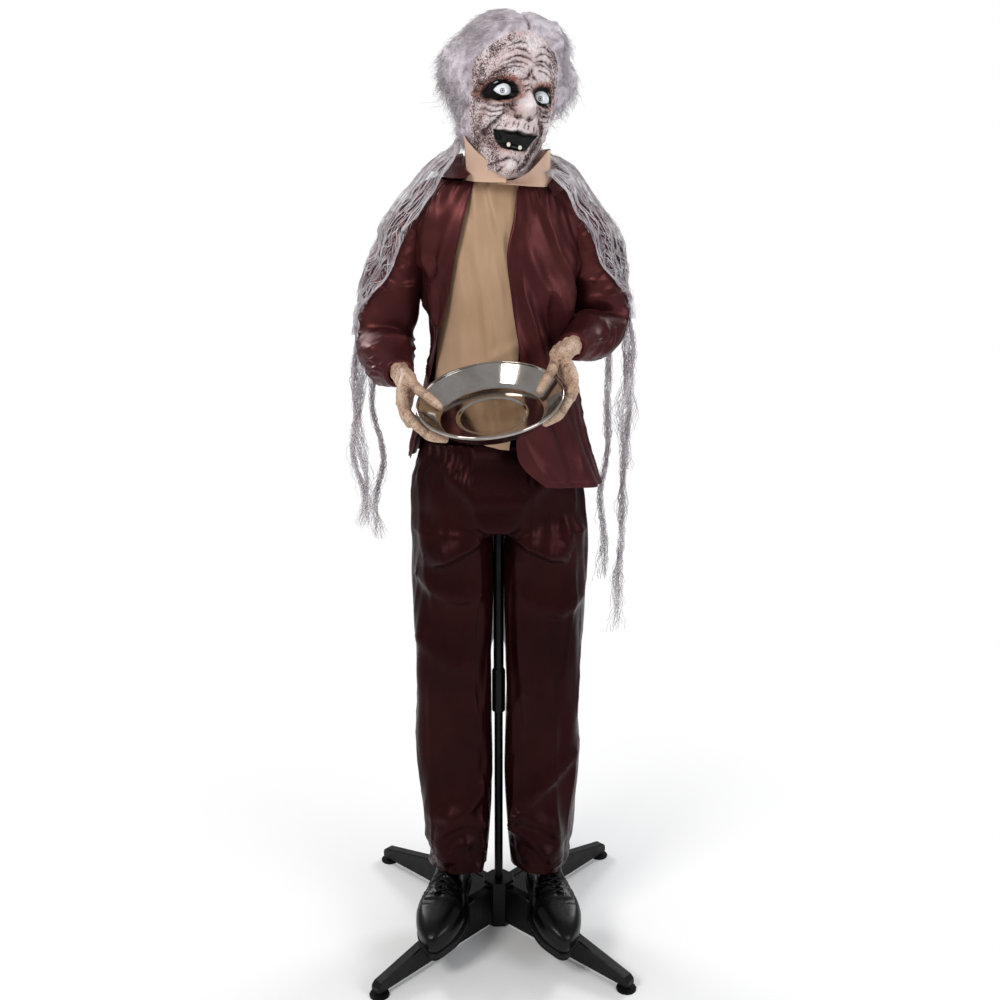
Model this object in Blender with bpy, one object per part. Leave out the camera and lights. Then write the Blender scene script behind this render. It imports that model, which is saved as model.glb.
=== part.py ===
"""Life-size animated halloween figure: a ghoulish old butler with a steel dish, on a stand.

Metres, +Z up. The origin is on the floor under the pole, and the figure faces -Y.
"""

import math

import bmesh
import bpy
import numpy as np
from mathutils import Matrix, Vector

# Clearances
FIT = 0.0003
RUNNING = 0.00012

# Stand
STAND_TURN_DEG = 2.2
LEG_COUNT = 4
HUB_ACROSS = 0.056
HUB_CAP_ACROSS = 0.060
HUB_CAP_HEIGHT = 0.010
HUB_HEIGHT = 0.096
HUB_CHAMFER = 0.006
POLE_SEAT_Z = 0.030
LEG_WIDTH = 0.020
LEG_BOTTOM_Z = 0.009
LEG_ROOT_REACH = 0.020
LEG_SLOPE = 0.2286
LEG_TOP_Z = 0.1039
LEG_WALL = 0.003
LEG_RIB_COUNT = 3
PAD_REACH = 0.318
LEG_END_REACH = PAD_REACH + 0.011
PAD_DIAMETER = 0.037
PAD_THICKNESS = 0.005
PAD_NECK_DIAMETER = 0.014
PAD_STUD_DIAMETER = 0.007
PAD_STUD_HEIGHT = 0.009

# Pole
POLE_LOWER_DIAMETER = 0.016
POLE_UPPER_DIAMETER = 0.019
POLE_WALL = 0.0015
COUPLER_DIAMETER = 0.025
COUPLER_BOTTOM_Z = 0.454
COUPLER_TOP_Z = 0.540
POLE_SPLIT_Z = (COUPLER_BOTTOM_Z + COUPLER_TOP_Z) / 2
POLE_TOP_Z = 1.330

# Hip frame and leg tubes
HIP_Z = 0.930
HIP_SLEEVE_DIAMETER = 0.032
HIP_SLEEVE_HEIGHT = 0.060
HIP_BAR_DIAMETER = 0.018
HIP_BAR_GAP = 0.0030
LEG_TUBE_X = 0.080
LEG_TUBE_Y = -0.004
LEG_TUBE_DIAMETER = 0.022
LEG_TUBE_WALL = 0.002
LEG_SOCKET_DIAMETER = 0.030
LEG_SOCKET_HEIGHT = 0.044
LEG_SOCKET_ROOF = 0.006

# Boots
BOOT_TOE_OUT_DEG = 12.0
BOOT_LENGTH = 0.262
BOOT_WIDTH = 0.098
BOOT_HEEL_Y = 0.052
BOOT_SOLE_THICKNESS = 0.014
BOOT_PLUG_DEPTH = 0.045

# Torso
TORSO_WALL = 0.003
TORSO_SEAM_GAP = 0.0004
SHOULDER_BAR_Z = 1.345
SHOULDER_BAR_DIAMETER = 0.020
SPINE_BLOCK_WIDTH = 0.060
SPINE_BLOCK_DEPTH = 0.044
SPINE_BLOCK_BOTTOM_Z = 1.285
SPINE_BLOCK_TOP_Z = 1.366

# Neck drive
PLATE_THICKNESS = 0.004
PLATE_WIDTH = 0.062
PLATE_FRONT = 0.031
SHAFT_DIAMETER = 0.012
SHAFT_HEAD_DIAMETER = 0.020
SHAFT_HEAD_HEIGHT = 0.003
BUSH_DIAMETER = 0.018
BUSH_FLANGE_DIAMETER = 0.026
BUSH_FLANGE_THICKNESS = 0.002
GEAR_MODULE = 0.0018
GEAR_TEETH = 30
PINION_TEETH = 10
PRESSURE_DEG = 25.0
TOOTH_HEIGHT_SHARE = 0.8
BACKLASH = 0.00018
GEAR_THICKNESS = 0.006
GEAR_LIFT = 0.0006
MOTOR_DIAMETER = 0.030
MOTOR_HEIGHT = 0.036
MOTOR_SHAFT_DIAMETER = 0.004
MOTOR_SHAFT_LENGTH = 0.012
MOTOR_BOSS_DIAMETER = 0.010

# Head
HEAD_CENTRE = (0.016, -0.030, 1.560)
HEAD_YAW_DEG = 23.0
HEAD_PITCH_DEG = 11.0
HEAD_ROLL_DEG = 10.0
MASK_WALL = 0.005
FACE_WALL = 0.016
SKULL_GAP = 0.0010
NECK_SKIRT_RADIUS = 0.047
NECK_SKIRT_BOTTOM_Z = 1.422
EYE_SPACING = 0.062
EYE_HEIGHT = 0.010
EYE_DEPTH = -0.058
EYE_DIAMETER = 0.034
EYE_ROOM = 0.0008
MOUTH_Z = -0.058
MOUTH_WIDTH = 0.046
MOUTH_HEIGHT = 0.026
TOOTH_WIDTH = 0.0065
TOOTH_HEIGHT = 0.0085
MASK_GRID = (20, 26)
WIG_GAP = 0.0010
WIG_THICKNESS = 0.011
WIG_TUFT = 0.034
WIG_HEM = -0.070
SHAFT_TOP_Z = 1.505
SKULL_BASE_Z = 1.484

# Dish
DISH_CENTRE = (-0.0137, -0.230, 1.103)
DISH_TILT_DEG = 18.8
DISH_ROLL_DEG = 6.7
DISH_RIM_RADIUS = 0.118
DISH_FLOOR_RADIUS = 0.088
DISH_DEPTH = 0.035
DISH_WALL = 0.0012
DISH_BEAD_RADIUS = 0.0022
DISH_RING_RADIUS = 0.055
DISH_RING_STEP = 0.0025
DISH_HOLE_RADIUS = 0.0021
TIE_RADIUS = 0.0060
TIE_WIRE_RADIUS = 0.0007

# Arms
ARM_TUBE_DIAMETER = 0.018
ELBOW_DIAMETER = 0.026
HAND_GRAIN = 0.0024
HAND_KEPT_SHARE = 0.052

# Control box
BOX_WIDTH = 0.078
BOX_HEIGHT = 0.112
BOX_DEPTH = 0.030
BOX_BOTTOM_Z = 1.035
CELL_DIAMETER = 0.0142
CELL_LENGTH = 0.0500
CELL_COUNT = 3
DOOR_THICKNESS = 0.0020
DOOR_PIN_DIAMETER = 0.0036
SPEAKER_DIAMETER = 0.036
SPEAKER_HEIGHT = 0.010
SWITCH_WIDTH = 0.006
SWITCH_LENGTH = 0.010
SWITCH_TRAVEL = 0.004

# Cloth
CLOTH_THICKNESS = 0.003
SHIRT_THICKNESS = 0.002
SHIRT_TOP_Z = 1.4010
JACKET_NECK_DROP = 0.018
ARMHOLE = 0.060
SLEEVE_SEAM_GAP = 0.0007
GAUZE_THICKNESS = 0.0025
GAUZE_LIFT = 0.0056
TROUSER_WAIST_Z = 0.985
CROTCH_Z = 0.800
CUFF_Z = 0.118
CUFF_FRONT_RISE = 0.040


def clear_scene():
    for thing in list(bpy.data.objects):
        bpy.data.objects.remove(thing, do_unlink=True)


def material(name, colour, roughness, metallic=0.0):
    """A Principled material with this linear colour."""
    made = bpy.data.materials.new(name)
    made.use_nodes = True
    shader = made.node_tree.nodes["Principled BSDF"]
    shader.inputs["Base Color"].default_value = (*colour, 1.0)
    shader.inputs["Roughness"].default_value = roughness
    shader.inputs["Metallic"].default_value = metallic
    made.diffuse_color = (*colour, 1.0)
    return made


def finishes():
    return {
        "black_plastic": material("black_plastic", (0.012, 0.012, 0.014), 0.45),
        "black_metal": material("black_metal", (0.015, 0.015, 0.017), 0.35, 0.6),
        "boot_vinyl": material("boot_vinyl", (0.010, 0.010, 0.011), 0.25),
        "white_plastic": material("white_plastic", (0.55, 0.54, 0.50), 0.5),
        "grey_plastic": material("grey_plastic", (0.20, 0.20, 0.21), 0.5),
        "steel": material("steel", (0.60, 0.60, 0.61), 0.25, 1.0),
        "brass": material("brass", (0.60, 0.42, 0.16), 0.35, 1.0),
        "dish_steel": material("dish_steel", (0.80, 0.80, 0.80), 0.12, 1.0),
        "mask_latex": material("mask_latex", (0.62, 0.52, 0.47), 0.55),
        "hair": material("hair", (0.55, 0.53, 0.55), 0.8),
        "eye": material("eye", (0.80, 0.85, 0.86), 0.2),
        "tooth": material("tooth", (0.80, 0.78, 0.70), 0.4),
        "hand_vinyl": material("hand_vinyl", (0.50, 0.36, 0.22), 0.5),
        "shirt_satin": material("shirt_satin", (0.50, 0.35, 0.19), 0.35),
        "jacket_satin": material("jacket_satin", (0.075, 0.016, 0.016), 0.35),
        "trouser_satin": material("trouser_satin", (0.050, 0.010, 0.010), 0.4),
        "gauze": material("gauze", (0.42, 0.39, 0.40), 0.9),
    }


def finish_mesh(mesh, smooth_deg=40.0):
    """Turns the faces of a closed mesh outward and shades its round parts smooth."""
    work = bmesh.new()
    work.from_mesh(mesh)
    bmesh.ops.recalc_face_normals(work, faces=work.faces)
    if work.calc_volume(signed=True) < 0:
        bmesh.ops.reverse_faces(work, faces=work.faces)
    work.to_mesh(mesh)
    work.free()
    mesh.shade_smooth()
    mesh.set_sharp_from_angle(angle=math.radians(smooth_deg))
    return mesh


def add_object(name, mesh, finish, parent=None):
    thing = bpy.data.objects.new(name, mesh)
    bpy.context.scene.collection.objects.link(thing)
    if finish is not None:
        mesh.materials.clear()
        mesh.materials.append(finish)
    if parent is not None:
        thing.parent = parent
    return thing


def add_empty(name, place, parent=None):
    empty = bpy.data.objects.new(name, None)
    bpy.context.scene.collection.objects.link(empty)
    empty.matrix_world = place
    if parent is not None:
        empty.parent = parent
        empty.matrix_parent_inverse = parent.matrix_world.inverted()
    return empty


def mesh_of(name, points, faces):
    mesh = bpy.data.meshes.new(name)
    mesh.from_pydata([tuple(map(float, point)) for point in points], [], faces)
    return finish_mesh(mesh)


def cutter(name, mesh):
    """A helper solid that only cuts or joins: it is never a part of the object."""
    thing = add_object(name, mesh, None)
    thing.hide_render = True
    thing.display_type = "WIRE"
    return thing


def combine(thing, tool, operation="DIFFERENCE"):
    change = thing.modifiers.new(operation.lower(), "BOOLEAN")
    change.operation = operation
    change.solver = "EXACT"
    change.object = tool
    tool.hide_render = True
    tool.display_type = "WIRE"
    return thing


def soften(thing, width, segments=1, angle_deg=35.0):
    """A Bevel on the edges that turn by more than the angle."""
    change = thing.modifiers.new("edges", "BEVEL")
    change.width = width
    change.segments = segments
    change.limit_method = "ANGLE"
    change.angle_limit = math.radians(angle_deg)
    change.harden_normals = False
    return thing


def box_mesh(name, low, high):
    work = bmesh.new()
    bmesh.ops.create_cube(work, size=1.0)
    low, high = Vector(low), Vector(high)
    size, middle = high - low, (high + low) / 2
    bmesh.ops.scale(work, vec=size, verts=work.verts)
    bmesh.ops.translate(work, vec=middle, verts=work.verts)
    mesh = bpy.data.meshes.new(name)
    work.to_mesh(mesh)
    work.free()
    return finish_mesh(mesh, 30.0)


def turned_mesh(name, profile, steps, closed=False):
    """Spins a profile of (radius, z) round Z. Its ends lie on the axis, or it is a closed loop."""
    work = bmesh.new()
    points = [work.verts.new((radius, 0.0, z)) for radius, z in profile]
    edges = [work.edges.new(pair) for pair in zip(points, points[1:])]
    if closed:
        edges.append(work.edges.new((points[-1], points[0])))
    bmesh.ops.spin(
        work,
        geom=points + edges,
        cent=(0, 0, 0),
        axis=(0, 0, 1),
        angle=math.tau,
        steps=steps,
        use_merge=True,
    )
    bmesh.ops.remove_doubles(work, verts=work.verts, dist=1e-6)
    mesh = bpy.data.meshes.new(name)
    work.to_mesh(mesh)
    work.free()
    return finish_mesh(mesh)


def tube_mesh(name, length, outer, inner, steps):
    profile = [(inner, 0), (outer, 0), (outer, length), (inner, length)]
    return turned_mesh(name, profile, steps, closed=True)


def rod_mesh(name, length, radius, steps):
    profile = [(0, 0), (radius, 0), (radius, length), (0, length)]
    return turned_mesh(name, profile, steps)


def ball_mesh(name, radius, steps):
    turns = [math.pi * k / 8 - math.pi / 2 for k in range(9)]
    profile = [(radius * math.cos(a), radius * math.sin(a)) for a in turns]
    profile[0], profile[-1] = (0, -radius), (0, radius)
    return turned_mesh(name, profile, steps)


def facing(origin, direction, side=(1.0, 0.0, 0.0)):
    """A placement whose Z runs along the direction and whose X leans towards the side."""
    z = Vector(direction).normalized()
    y = z.cross(Vector(side)).normalized()
    x = y.cross(z)
    turn = Matrix((x, y, z)).transposed().to_4x4()
    return Matrix.Translation(Vector(origin)) @ turn


def prism_mesh(name, outline, low, high):
    """An outline in X and Y, extruded from the low to the high Z."""
    count = len(outline)
    points = [(x, y, low) for x, y in outline] + [(x, y, high) for x, y in outline]
    faces = [tuple(range(count)), tuple(range(2 * count - 1, count - 1, -1))]
    for i in range(count):
        j = (i + 1) % count
        faces.append((i, j, count + j, count + i))
    return mesh_of(name, points, faces)


def through(rows, share):
    """Catmull-Rom through the rows, at shares from 0 (first row) to 1 (last row)."""
    rows = np.asarray(rows, float)
    place = np.clip(np.asarray(share, float), 0, 1) * (len(rows) - 1)
    at = np.minimum(place.astype(int), len(rows) - 2)
    f = (place - at)[..., None]
    before = rows[np.maximum(at - 1, 0)]
    here = rows[at]
    there = rows[at + 1]
    after = rows[np.minimum(at + 2, len(rows) - 1)]
    linear = there - before
    square = 2 * before - 5 * here + 4 * there - after
    cube = -before + 3 * here - 3 * there + after
    return 0.5 * (2 * here + linear * f + square * f**2 + cube * f**3)


def oval(angles, half_width, front, back, power=2.0):
    """X and Y of an oval section: front is its depth towards -Y, back towards +Y."""
    cosine, sine = np.cos(angles), np.sin(angles)
    cosine = np.where(np.abs(cosine) < 1e-9, 0.0, cosine)
    x = half_width * np.sign(cosine) * np.abs(cosine) ** (2 / power)
    depth = np.where(sine < 0, front, back)
    y = depth * np.sign(sine) * np.abs(sine) ** (2 / power)
    return x, y


def grid_faces(rows, columns, wrap, start=0):
    faces = []
    for i in range(rows - 1):
        for j in range(columns if wrap else columns - 1):
            k = (j + 1) % columns
            low, high = start + i * columns, start + (i + 1) * columns
            faces.append((low + j, low + k, high + k, high + j))
    return faces


def loft_mesh(name, rings):
    """A closed solid through rings of points (rows, columns, 3), with a flat cap on each end."""
    rings = np.asarray(rings, float)
    rows, columns = rings.shape[:2]
    faces = grid_faces(rows, columns, wrap=True)
    faces.append(tuple(range(columns - 1, -1, -1)))
    faces.append(tuple((rows - 1) * columns + j for j in range(columns)))
    return mesh_of(name, rings.reshape(-1, 3), faces)


def merged_mesh(name, shapes):
    """One mesh that holds several closed lofts, which may run into each other."""
    points, faces = [], []
    for rings in shapes:
        rows, columns = rings.shape[:2]
        start = len(points)
        points.extend(rings.reshape(-1, 3))
        faces.extend(grid_faces(rows, columns, wrap=True, start=start))
        faces.append(tuple(start + j for j in range(columns - 1, -1, -1)))
        faces.append(tuple(start + (rows - 1) * columns + j for j in range(columns)))
    return mesh_of(name, points, faces)


def walled_mesh(name, outer, inner, wrap, keep=None, cap_first=False):
    """A closed wall between two grids of points, which may leave out cells.

    keep is an array of one flag for each cell. Kept cells never meet at a corner alone.
    cap_first closes the ring that a wrapped grid starts with.
    """
    outer, inner = np.asarray(outer, float), np.asarray(inner, float)
    rows, columns = outer.shape[:2]
    cells = grid_faces(rows, columns, wrap)
    if keep is not None:
        cells = [cell for cell, kept in zip(cells, np.ravel(keep)) if kept]
    if cap_first:
        cells.append(tuple(range(columns - 1, -1, -1)))
    return wall_of(name, outer.reshape(-1, 3), inner.reshape(-1, 3), cells)


def wall_of(name, outer, inner, cells):
    """A closed wall between two surfaces with the same faces, joined along every open edge."""
    points = np.concatenate([outer, inner])
    back = len(outer)
    sides = set()
    faces = []
    for cell in cells:
        faces.append(cell)
        faces.append(tuple(back + index for index in reversed(cell)))
        sides.update(zip(cell, cell[1:] + cell[:1]))
    for a, b in sorted(sides):
        if (b, a) not in sides:
            faces.append((b, a, back + a, back + b))
    used = sorted({index for face in faces for index in face})
    place = {old: new for new, old in enumerate(used)}
    faces = [tuple(place[index] for index in face) for face in faces]
    return mesh_of(name, points[used], faces)


def behind(points, cells, thickness):
    """The points moved inwards by this much, square to the four-sided cells around them."""
    normals = np.zeros_like(points)
    for cell in cells:
        a, b, c, d = points[list(cell)]
        normals[list(cell)] += np.cross(c - a, d - b)
    return points - thickness * normals / np.linalg.norm(normals, axis=1, keepdims=True)


def smoothstep(value, low, high):
    share = np.clip((value - low) / (high - low), 0, 1)
    return share * share * (3 - 2 * share)


def bump(x, z, middle_x, middle_z, wide, high):
    return np.exp(-(((x - middle_x) / wide) ** 2) - ((z - middle_z) / high) ** 2)


def leg_top(reach):
    """Height of a stand leg's sloping top edge at a distance from the pole."""
    return LEG_TOP_Z - LEG_SLOPE * reach


def leg_turn(index):
    return math.radians(45 + 90 * index + STAND_TURN_DEG)


def octagon(across, turn=0.0):
    radius = across / 2 / math.cos(math.pi / 8)
    corners = [turn + math.pi / 8 + math.pi / 4 * k for k in range(8)]
    return [(radius * math.cos(a), radius * math.sin(a)) for a in corners]


def make_hub(look):
    turn = math.radians(STAND_TURN_DEG)
    body_top = HUB_HEIGHT - HUB_CAP_HEIGHT
    levels = [
        (0.0, HUB_ACROSS - HUB_CHAMFER),
        (HUB_CHAMFER / 2, HUB_ACROSS),
        (body_top, HUB_ACROSS),
        (body_top + 0.001, HUB_CAP_ACROSS),
        (HUB_HEIGHT - 0.004, HUB_CAP_ACROSS),
        (HUB_HEIGHT, HUB_CAP_ACROSS - HUB_CHAMFER),
    ]
    rings = [[(x, y, z) for x, y in octagon(across, turn)] for z, across in levels]
    hub = add_object("base_hub", loft_mesh("base_hub", rings), look["black_plastic"])
    bore = rod_mesh("hub_bore", HUB_HEIGHT, POLE_LOWER_DIAMETER / 2 + FIT, 16)
    bore_tool = cutter("hub_bore", bore)
    bore_tool.location.z = POLE_SEAT_Z - FIT
    combine(hub, bore_tool)
    slot_wide = LEG_WIDTH / 2 + FIT
    for index in range(LEG_COUNT):
        outline = leg_outline(grow=FIT)
        slot = prism_mesh(f"hub_slot_{index}", outline, -slot_wide, slot_wide)
        tool = cutter(f"hub_slot_{index}", slot)
        tool.matrix_world = leg_placement(index)
        combine(hub, tool)
    return hub


def beam_top(reach):
    """The leg's top: its slope, cut level where it passes under the hub's cap."""
    return min(leg_top(reach), HUB_HEIGHT - HUB_CAP_HEIGHT)


def leg_outline(grow=0.0):
    """The leg's side view as (reach, height): flat below, sloping above, with a rounded tip."""
    low = LEG_BOTTOM_Z - grow
    tip_top = leg_top(LEG_END_REACH)
    if grow:
        root = LEG_ROOT_REACH - grow
        reach = HUB_CAP_ACROSS
        top = beam_top(root) + grow
        return [(root, low), (reach, low), (reach, leg_top(reach) + grow), (root, top)]
    top = beam_top(LEG_ROOT_REACH)
    flat_end = (LEG_TOP_Z - top) / LEG_SLOPE
    return [
        (LEG_ROOT_REACH, low),
        (LEG_END_REACH - 0.003, low),
        (LEG_END_REACH, low + 0.003),
        (LEG_END_REACH, tip_top - 0.007),
        (LEG_END_REACH - 0.002, tip_top - 0.003),
        (LEG_END_REACH - 0.008, leg_top(LEG_END_REACH - 0.008)),
        (max(flat_end, LEG_ROOT_REACH + 0.001), top),
        (LEG_ROOT_REACH, top),
    ]


def leg_placement(index):
    """Stands the side view upright along the leg's own direction."""
    angle = leg_turn(index)
    along = Vector((math.cos(angle), math.sin(angle), 0))
    return facing((0, 0, 0), along.cross(Vector((0, 0, 1))), along)


def make_stand_leg(index, name, look):
    """A moulded leg: a deep tapering beam, hollow and ribbed below, solid at the tip."""
    beam = prism_mesh(name, leg_outline(), -LEG_WIDTH / 2, LEG_WIDTH / 2)
    leg = add_object(name, beam, look["black_plastic"])
    leg.matrix_world = leg_placement(index)
    soften(leg, 0.002)
    bay_start = LEG_ROOT_REACH + 0.022
    bay_end = PAD_REACH - PAD_NECK_DIAMETER - LEG_WALL
    pitch = (bay_end - bay_start) / LEG_RIB_COUNT
    half = LEG_WIDTH / 2 - LEG_WALL
    for bay in range(LEG_RIB_COUNT):
        low = bay_start + bay * pitch + LEG_WALL / 2
        high = low + pitch - LEG_WALL
        floor = LEG_BOTTOM_Z - 0.002
        reaches = np.linspace(high, low, 4)
        outline = [(low, floor), (high, floor)]
        outline += [(reach, beam_top(reach) - LEG_WALL) for reach in reaches]
        pocket = cutter(
            f"{name}_bay_{bay}", prism_mesh(f"{name}_bay_{bay}", outline, -half, half)
        )
        pocket.matrix_world = leg_placement(index)
        combine(leg, pocket)
    stud_hole = rod_mesh(
        f"{name}_stud_hole", PAD_STUD_HEIGHT + FIT + 0.002, PAD_STUD_DIAMETER / 2 + FIT, 12
    )
    hole = cutter(f"{name}_stud_hole", stud_hole)
    angle = leg_turn(index)
    hole.location = (
        PAD_REACH * math.cos(angle),
        PAD_REACH * math.sin(angle),
        LEG_BOTTOM_Z - 0.002,
    )
    combine(leg, hole)
    return leg


def make_pad(index, name, look):
    seat = LEG_BOTTOM_Z - FIT
    neck, stud = PAD_NECK_DIAMETER / 2, PAD_STUD_DIAMETER / 2
    disc = PAD_DIAMETER / 2
    profile = [
        (0, 0),
        (disc, 0),
        (disc, PAD_THICKNESS - 0.0015),
        (neck, PAD_THICKNESS),
        (neck, seat),
        (stud, seat),
        (stud, seat + PAD_STUD_HEIGHT),
        (0, seat + PAD_STUD_HEIGHT),
    ]
    pad = add_object(name, turned_mesh(name, profile, 12), look["black_plastic"])
    angle = leg_turn(index)
    pad.location = (PAD_REACH * math.cos(angle), PAD_REACH * math.sin(angle), 0)
    return pad


def make_pole(look):
    lower_radius, upper_radius = POLE_LOWER_DIAMETER / 2, POLE_UPPER_DIAMETER / 2
    lower = add_object(
        "pole_lower",
        tube_mesh(
            "pole_lower",
            POLE_SPLIT_Z - POLE_SEAT_Z,
            lower_radius,
            lower_radius - POLE_WALL,
            16,
        ),
        look["black_metal"],
    )
    lower.location.z = POLE_SEAT_Z
    upper = add_object(
        "pole_upper",
        tube_mesh(
            "pole_upper",
            POLE_TOP_Z - POLE_SPLIT_Z - FIT,
            upper_radius,
            upper_radius - POLE_WALL,
            16,
        ),
        look["black_metal"],
    )
    upper.location.z = POLE_SPLIT_Z + FIT
    outside = COUPLER_DIAMETER / 2
    step = POLE_SPLIT_Z - FIT
    profile = [
        (lower_radius + FIT, COUPLER_BOTTOM_Z),
        (outside - 0.001, COUPLER_BOTTOM_Z),
        (outside, COUPLER_BOTTOM_Z + 0.001),
        (outside, COUPLER_TOP_Z - 0.004),
        (outside - 0.002, COUPLER_TOP_Z),
        (upper_radius + FIT, COUPLER_TOP_Z),
        (upper_radius + FIT, step),
        (lower_radius + FIT, step),
    ]
    add_object(
        "pole_coupler",
        turned_mesh("pole_coupler", profile, 16, closed=True),
        look["black_plastic"],
    )


def make_hip_frame(look):
    """A sleeve on the pole, a cross bar, and two sockets that hold the leg tubes."""
    sleeve = rod_mesh("hip_frame", HIP_SLEEVE_HEIGHT, HIP_SLEEVE_DIAMETER / 2, 16)
    frame = add_object("hip_frame", sleeve, look["black_plastic"])
    frame.location = (0, 0, HIP_Z - HIP_SLEEVE_HEIGHT / 2)
    # The bar's ends hold the trousers' sides
    bar_end = seat_half_width(HIP_Z + HIP_BAR_DIAMETER / 2) - CLOTH_THICKNESS - HIP_BAR_GAP
    bar = cutter("hip_bar", rod_mesh("hip_bar", 2 * bar_end, HIP_BAR_DIAMETER / 2, 12))
    bar.matrix_world = facing((-bar_end, LEG_TUBE_Y, HIP_Z), (1, 0, 0), (0, 0, 1))
    combine(frame, bar, "UNION")
    socket_bottom = HIP_Z + LEG_SOCKET_HEIGHT / 4 - LEG_SOCKET_HEIGHT
    for side, sign in (("right", -1), ("left", 1)):
        socket = cutter(
            f"hip_socket_{side}",
            rod_mesh(f"hip_socket_{side}", LEG_SOCKET_HEIGHT, LEG_SOCKET_DIAMETER / 2, 16),
        )
        socket.location = (sign * LEG_TUBE_X, LEG_TUBE_Y, socket_bottom)
        combine(frame, socket, "UNION")
    for side, sign in (("right", -1), ("left", 1)):
        depth = LEG_SOCKET_HEIGHT - LEG_SOCKET_ROOF
        bore = cutter(
            f"hip_socket_bore_{side}",
            rod_mesh(f"hip_socket_bore_{side}", depth + 0.01, LEG_TUBE_DIAMETER / 2 + FIT, 16),
        )
        bore.location = (sign * LEG_TUBE_X, LEG_TUBE_Y, socket_bottom - 0.01)
        combine(frame, bore)
    pole = cutter(
        "hip_pole_bore", rod_mesh("hip_pole_bore", 0.2, POLE_UPPER_DIAMETER / 2 + FIT, 16)
    )
    pole.location = (0, 0, HIP_Z - 0.1)
    combine(frame, pole)
    return socket_bottom + LEG_SOCKET_HEIGHT - LEG_SOCKET_ROOF - FIT


def boot_placement(sign):
    """Sets the boot's sole on the sloping top edge of a front leg, toe out and toe down."""
    index = 2 if sign < 0 else 3
    angle = leg_turn(index)
    along = Vector((math.cos(angle), math.sin(angle), -LEG_SLOPE)).normalized()
    level = Vector((0, 0, 1)).cross(Vector((math.cos(angle), math.sin(angle), 0)))
    up = along.cross(level).normalized()
    toe_out = math.radians(BOOT_TOE_OUT_DEG) * sign
    toe = Vector((math.sin(toe_out), -math.cos(toe_out), 0))
    toe = (toe - up * toe.dot(up)).normalized()
    side = up.cross(toe)
    x = sign * LEG_TUBE_X
    reach = x * math.cos(angle) + LEG_TUBE_Y * math.sin(angle)
    ground = Vector((x, LEG_TUBE_Y, leg_top(reach)))
    turn = Matrix((side, -toe, up)).transposed().to_4x4()
    return Matrix.Translation(ground + up * FIT) @ turn


def boot_half_width(share):
    """Half width of the sole from the heel (0) to the toe (1)."""
    rows = [[0.50], [0.64], [0.66], [0.62], [0.80], [0.98], [1.0], [0.90], [0.55]]
    return through(rows, share)[..., 0] * BOOT_WIDTH / 2


def make_boot(side, sign, look):
    """A round-toed ankle boot moulded with its sole. The leg tube stands at its X = Y = 0."""
    place = boot_placement(sign)
    toe_y = BOOT_HEEL_Y - BOOT_LENGTH
    count = 18
    angles = np.linspace(0, math.tau, count, endpoint=False)
    half_length = BOOT_LENGTH / 2
    middle = (BOOT_HEEL_Y + toe_y) / 2
    y = middle + half_length * np.sin(angles)
    share = (BOOT_HEEL_Y - y) / BOOT_LENGTH
    swell = np.sign(np.cos(angles)) * np.abs(np.cos(angles)) ** 0.75
    wide = np.maximum(boot_half_width(share), 0.001)
    x = swell * wide * 1.04
    rings = [
        np.stack([x * 0.985, y * 0.995, np.zeros(count)], axis=1),
        np.stack([x, y, np.full(count, 0.002)], axis=1),
        np.stack([x, y, np.full(count, BOOT_SOLE_THICKNESS)], axis=1),
    ]
    # Each station is a level: height, heel Y, toe Y and a share of the sole's width
    stations = [
        (0.0005, BOOT_HEEL_Y - 0.004, toe_y + 0.005, 0.93),
        (0.018, BOOT_HEEL_Y - 0.002, toe_y + 0.004, 0.97),
        (0.033, BOOT_HEEL_Y - 0.003, toe_y + 0.012, 0.93),
        (0.043, BOOT_HEEL_Y - 0.006, toe_y + 0.040, 0.82),
        (0.047, BOOT_HEEL_Y - 0.008, toe_y + 0.085, 0.77),
        (0.053, BOOT_HEEL_Y - 0.009, toe_y + 0.128, 0.76),
        (0.064, BOOT_HEEL_Y - 0.009, toe_y + 0.156, 0.76),
        (0.086, BOOT_HEEL_Y - 0.006, toe_y + 0.168, 0.78),
        (0.104, BOOT_HEEL_Y - 0.002, toe_y + 0.172, 0.80),
    ]
    for height, heel_y, front_y, wide_share in stations:
        half_length = (heel_y - front_y) / 2
        level_y = (heel_y + front_y) / 2 + half_length * np.sin(angles)
        share = (BOOT_HEEL_Y - level_y) / BOOT_LENGTH
        level_x = swell * np.maximum(boot_half_width(share), 0.001) * wide_share
        level = np.full(count, BOOT_SOLE_THICKNESS + height)
        rings.append(np.stack([level_x, level_y, level], axis=1))
    boot = add_object(
        f"boot_{side}", loft_mesh(f"boot_{side}", rings), look["boot_vinyl"]
    )
    boot.matrix_world = place
    hole = rod_mesh(f"boot_hole_{side}", 0.25, LEG_TUBE_DIAMETER / 2 + 2 * FIT, 18)
    tool = cutter(f"boot_hole_{side}", hole)
    tool.location = (sign * LEG_TUBE_X, LEG_TUBE_Y, boot_hole_z(place) - FIT)
    combine(boot, tool)
    return boot


def boot_hole_z(place):
    """World height at which the leg tube stands inside the boot."""
    top = place @ Vector((0, 0, BOOT_SOLE_THICKNESS + 0.104))
    return top.z - BOOT_PLUG_DEPTH


def make_leg_tube(side, sign, roof_z, look):
    foot = boot_hole_z(boot_placement(sign))
    radius = LEG_TUBE_DIAMETER / 2
    name = f"leg_tube_{side}"
    tube = add_object(
        name,
        tube_mesh(name, roof_z - foot, radius, radius - LEG_TUBE_WALL, 16),
        look["white_plastic"],
    )
    tube.location = (sign * LEG_TUBE_X, LEG_TUBE_Y, foot)
    return tube


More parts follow.
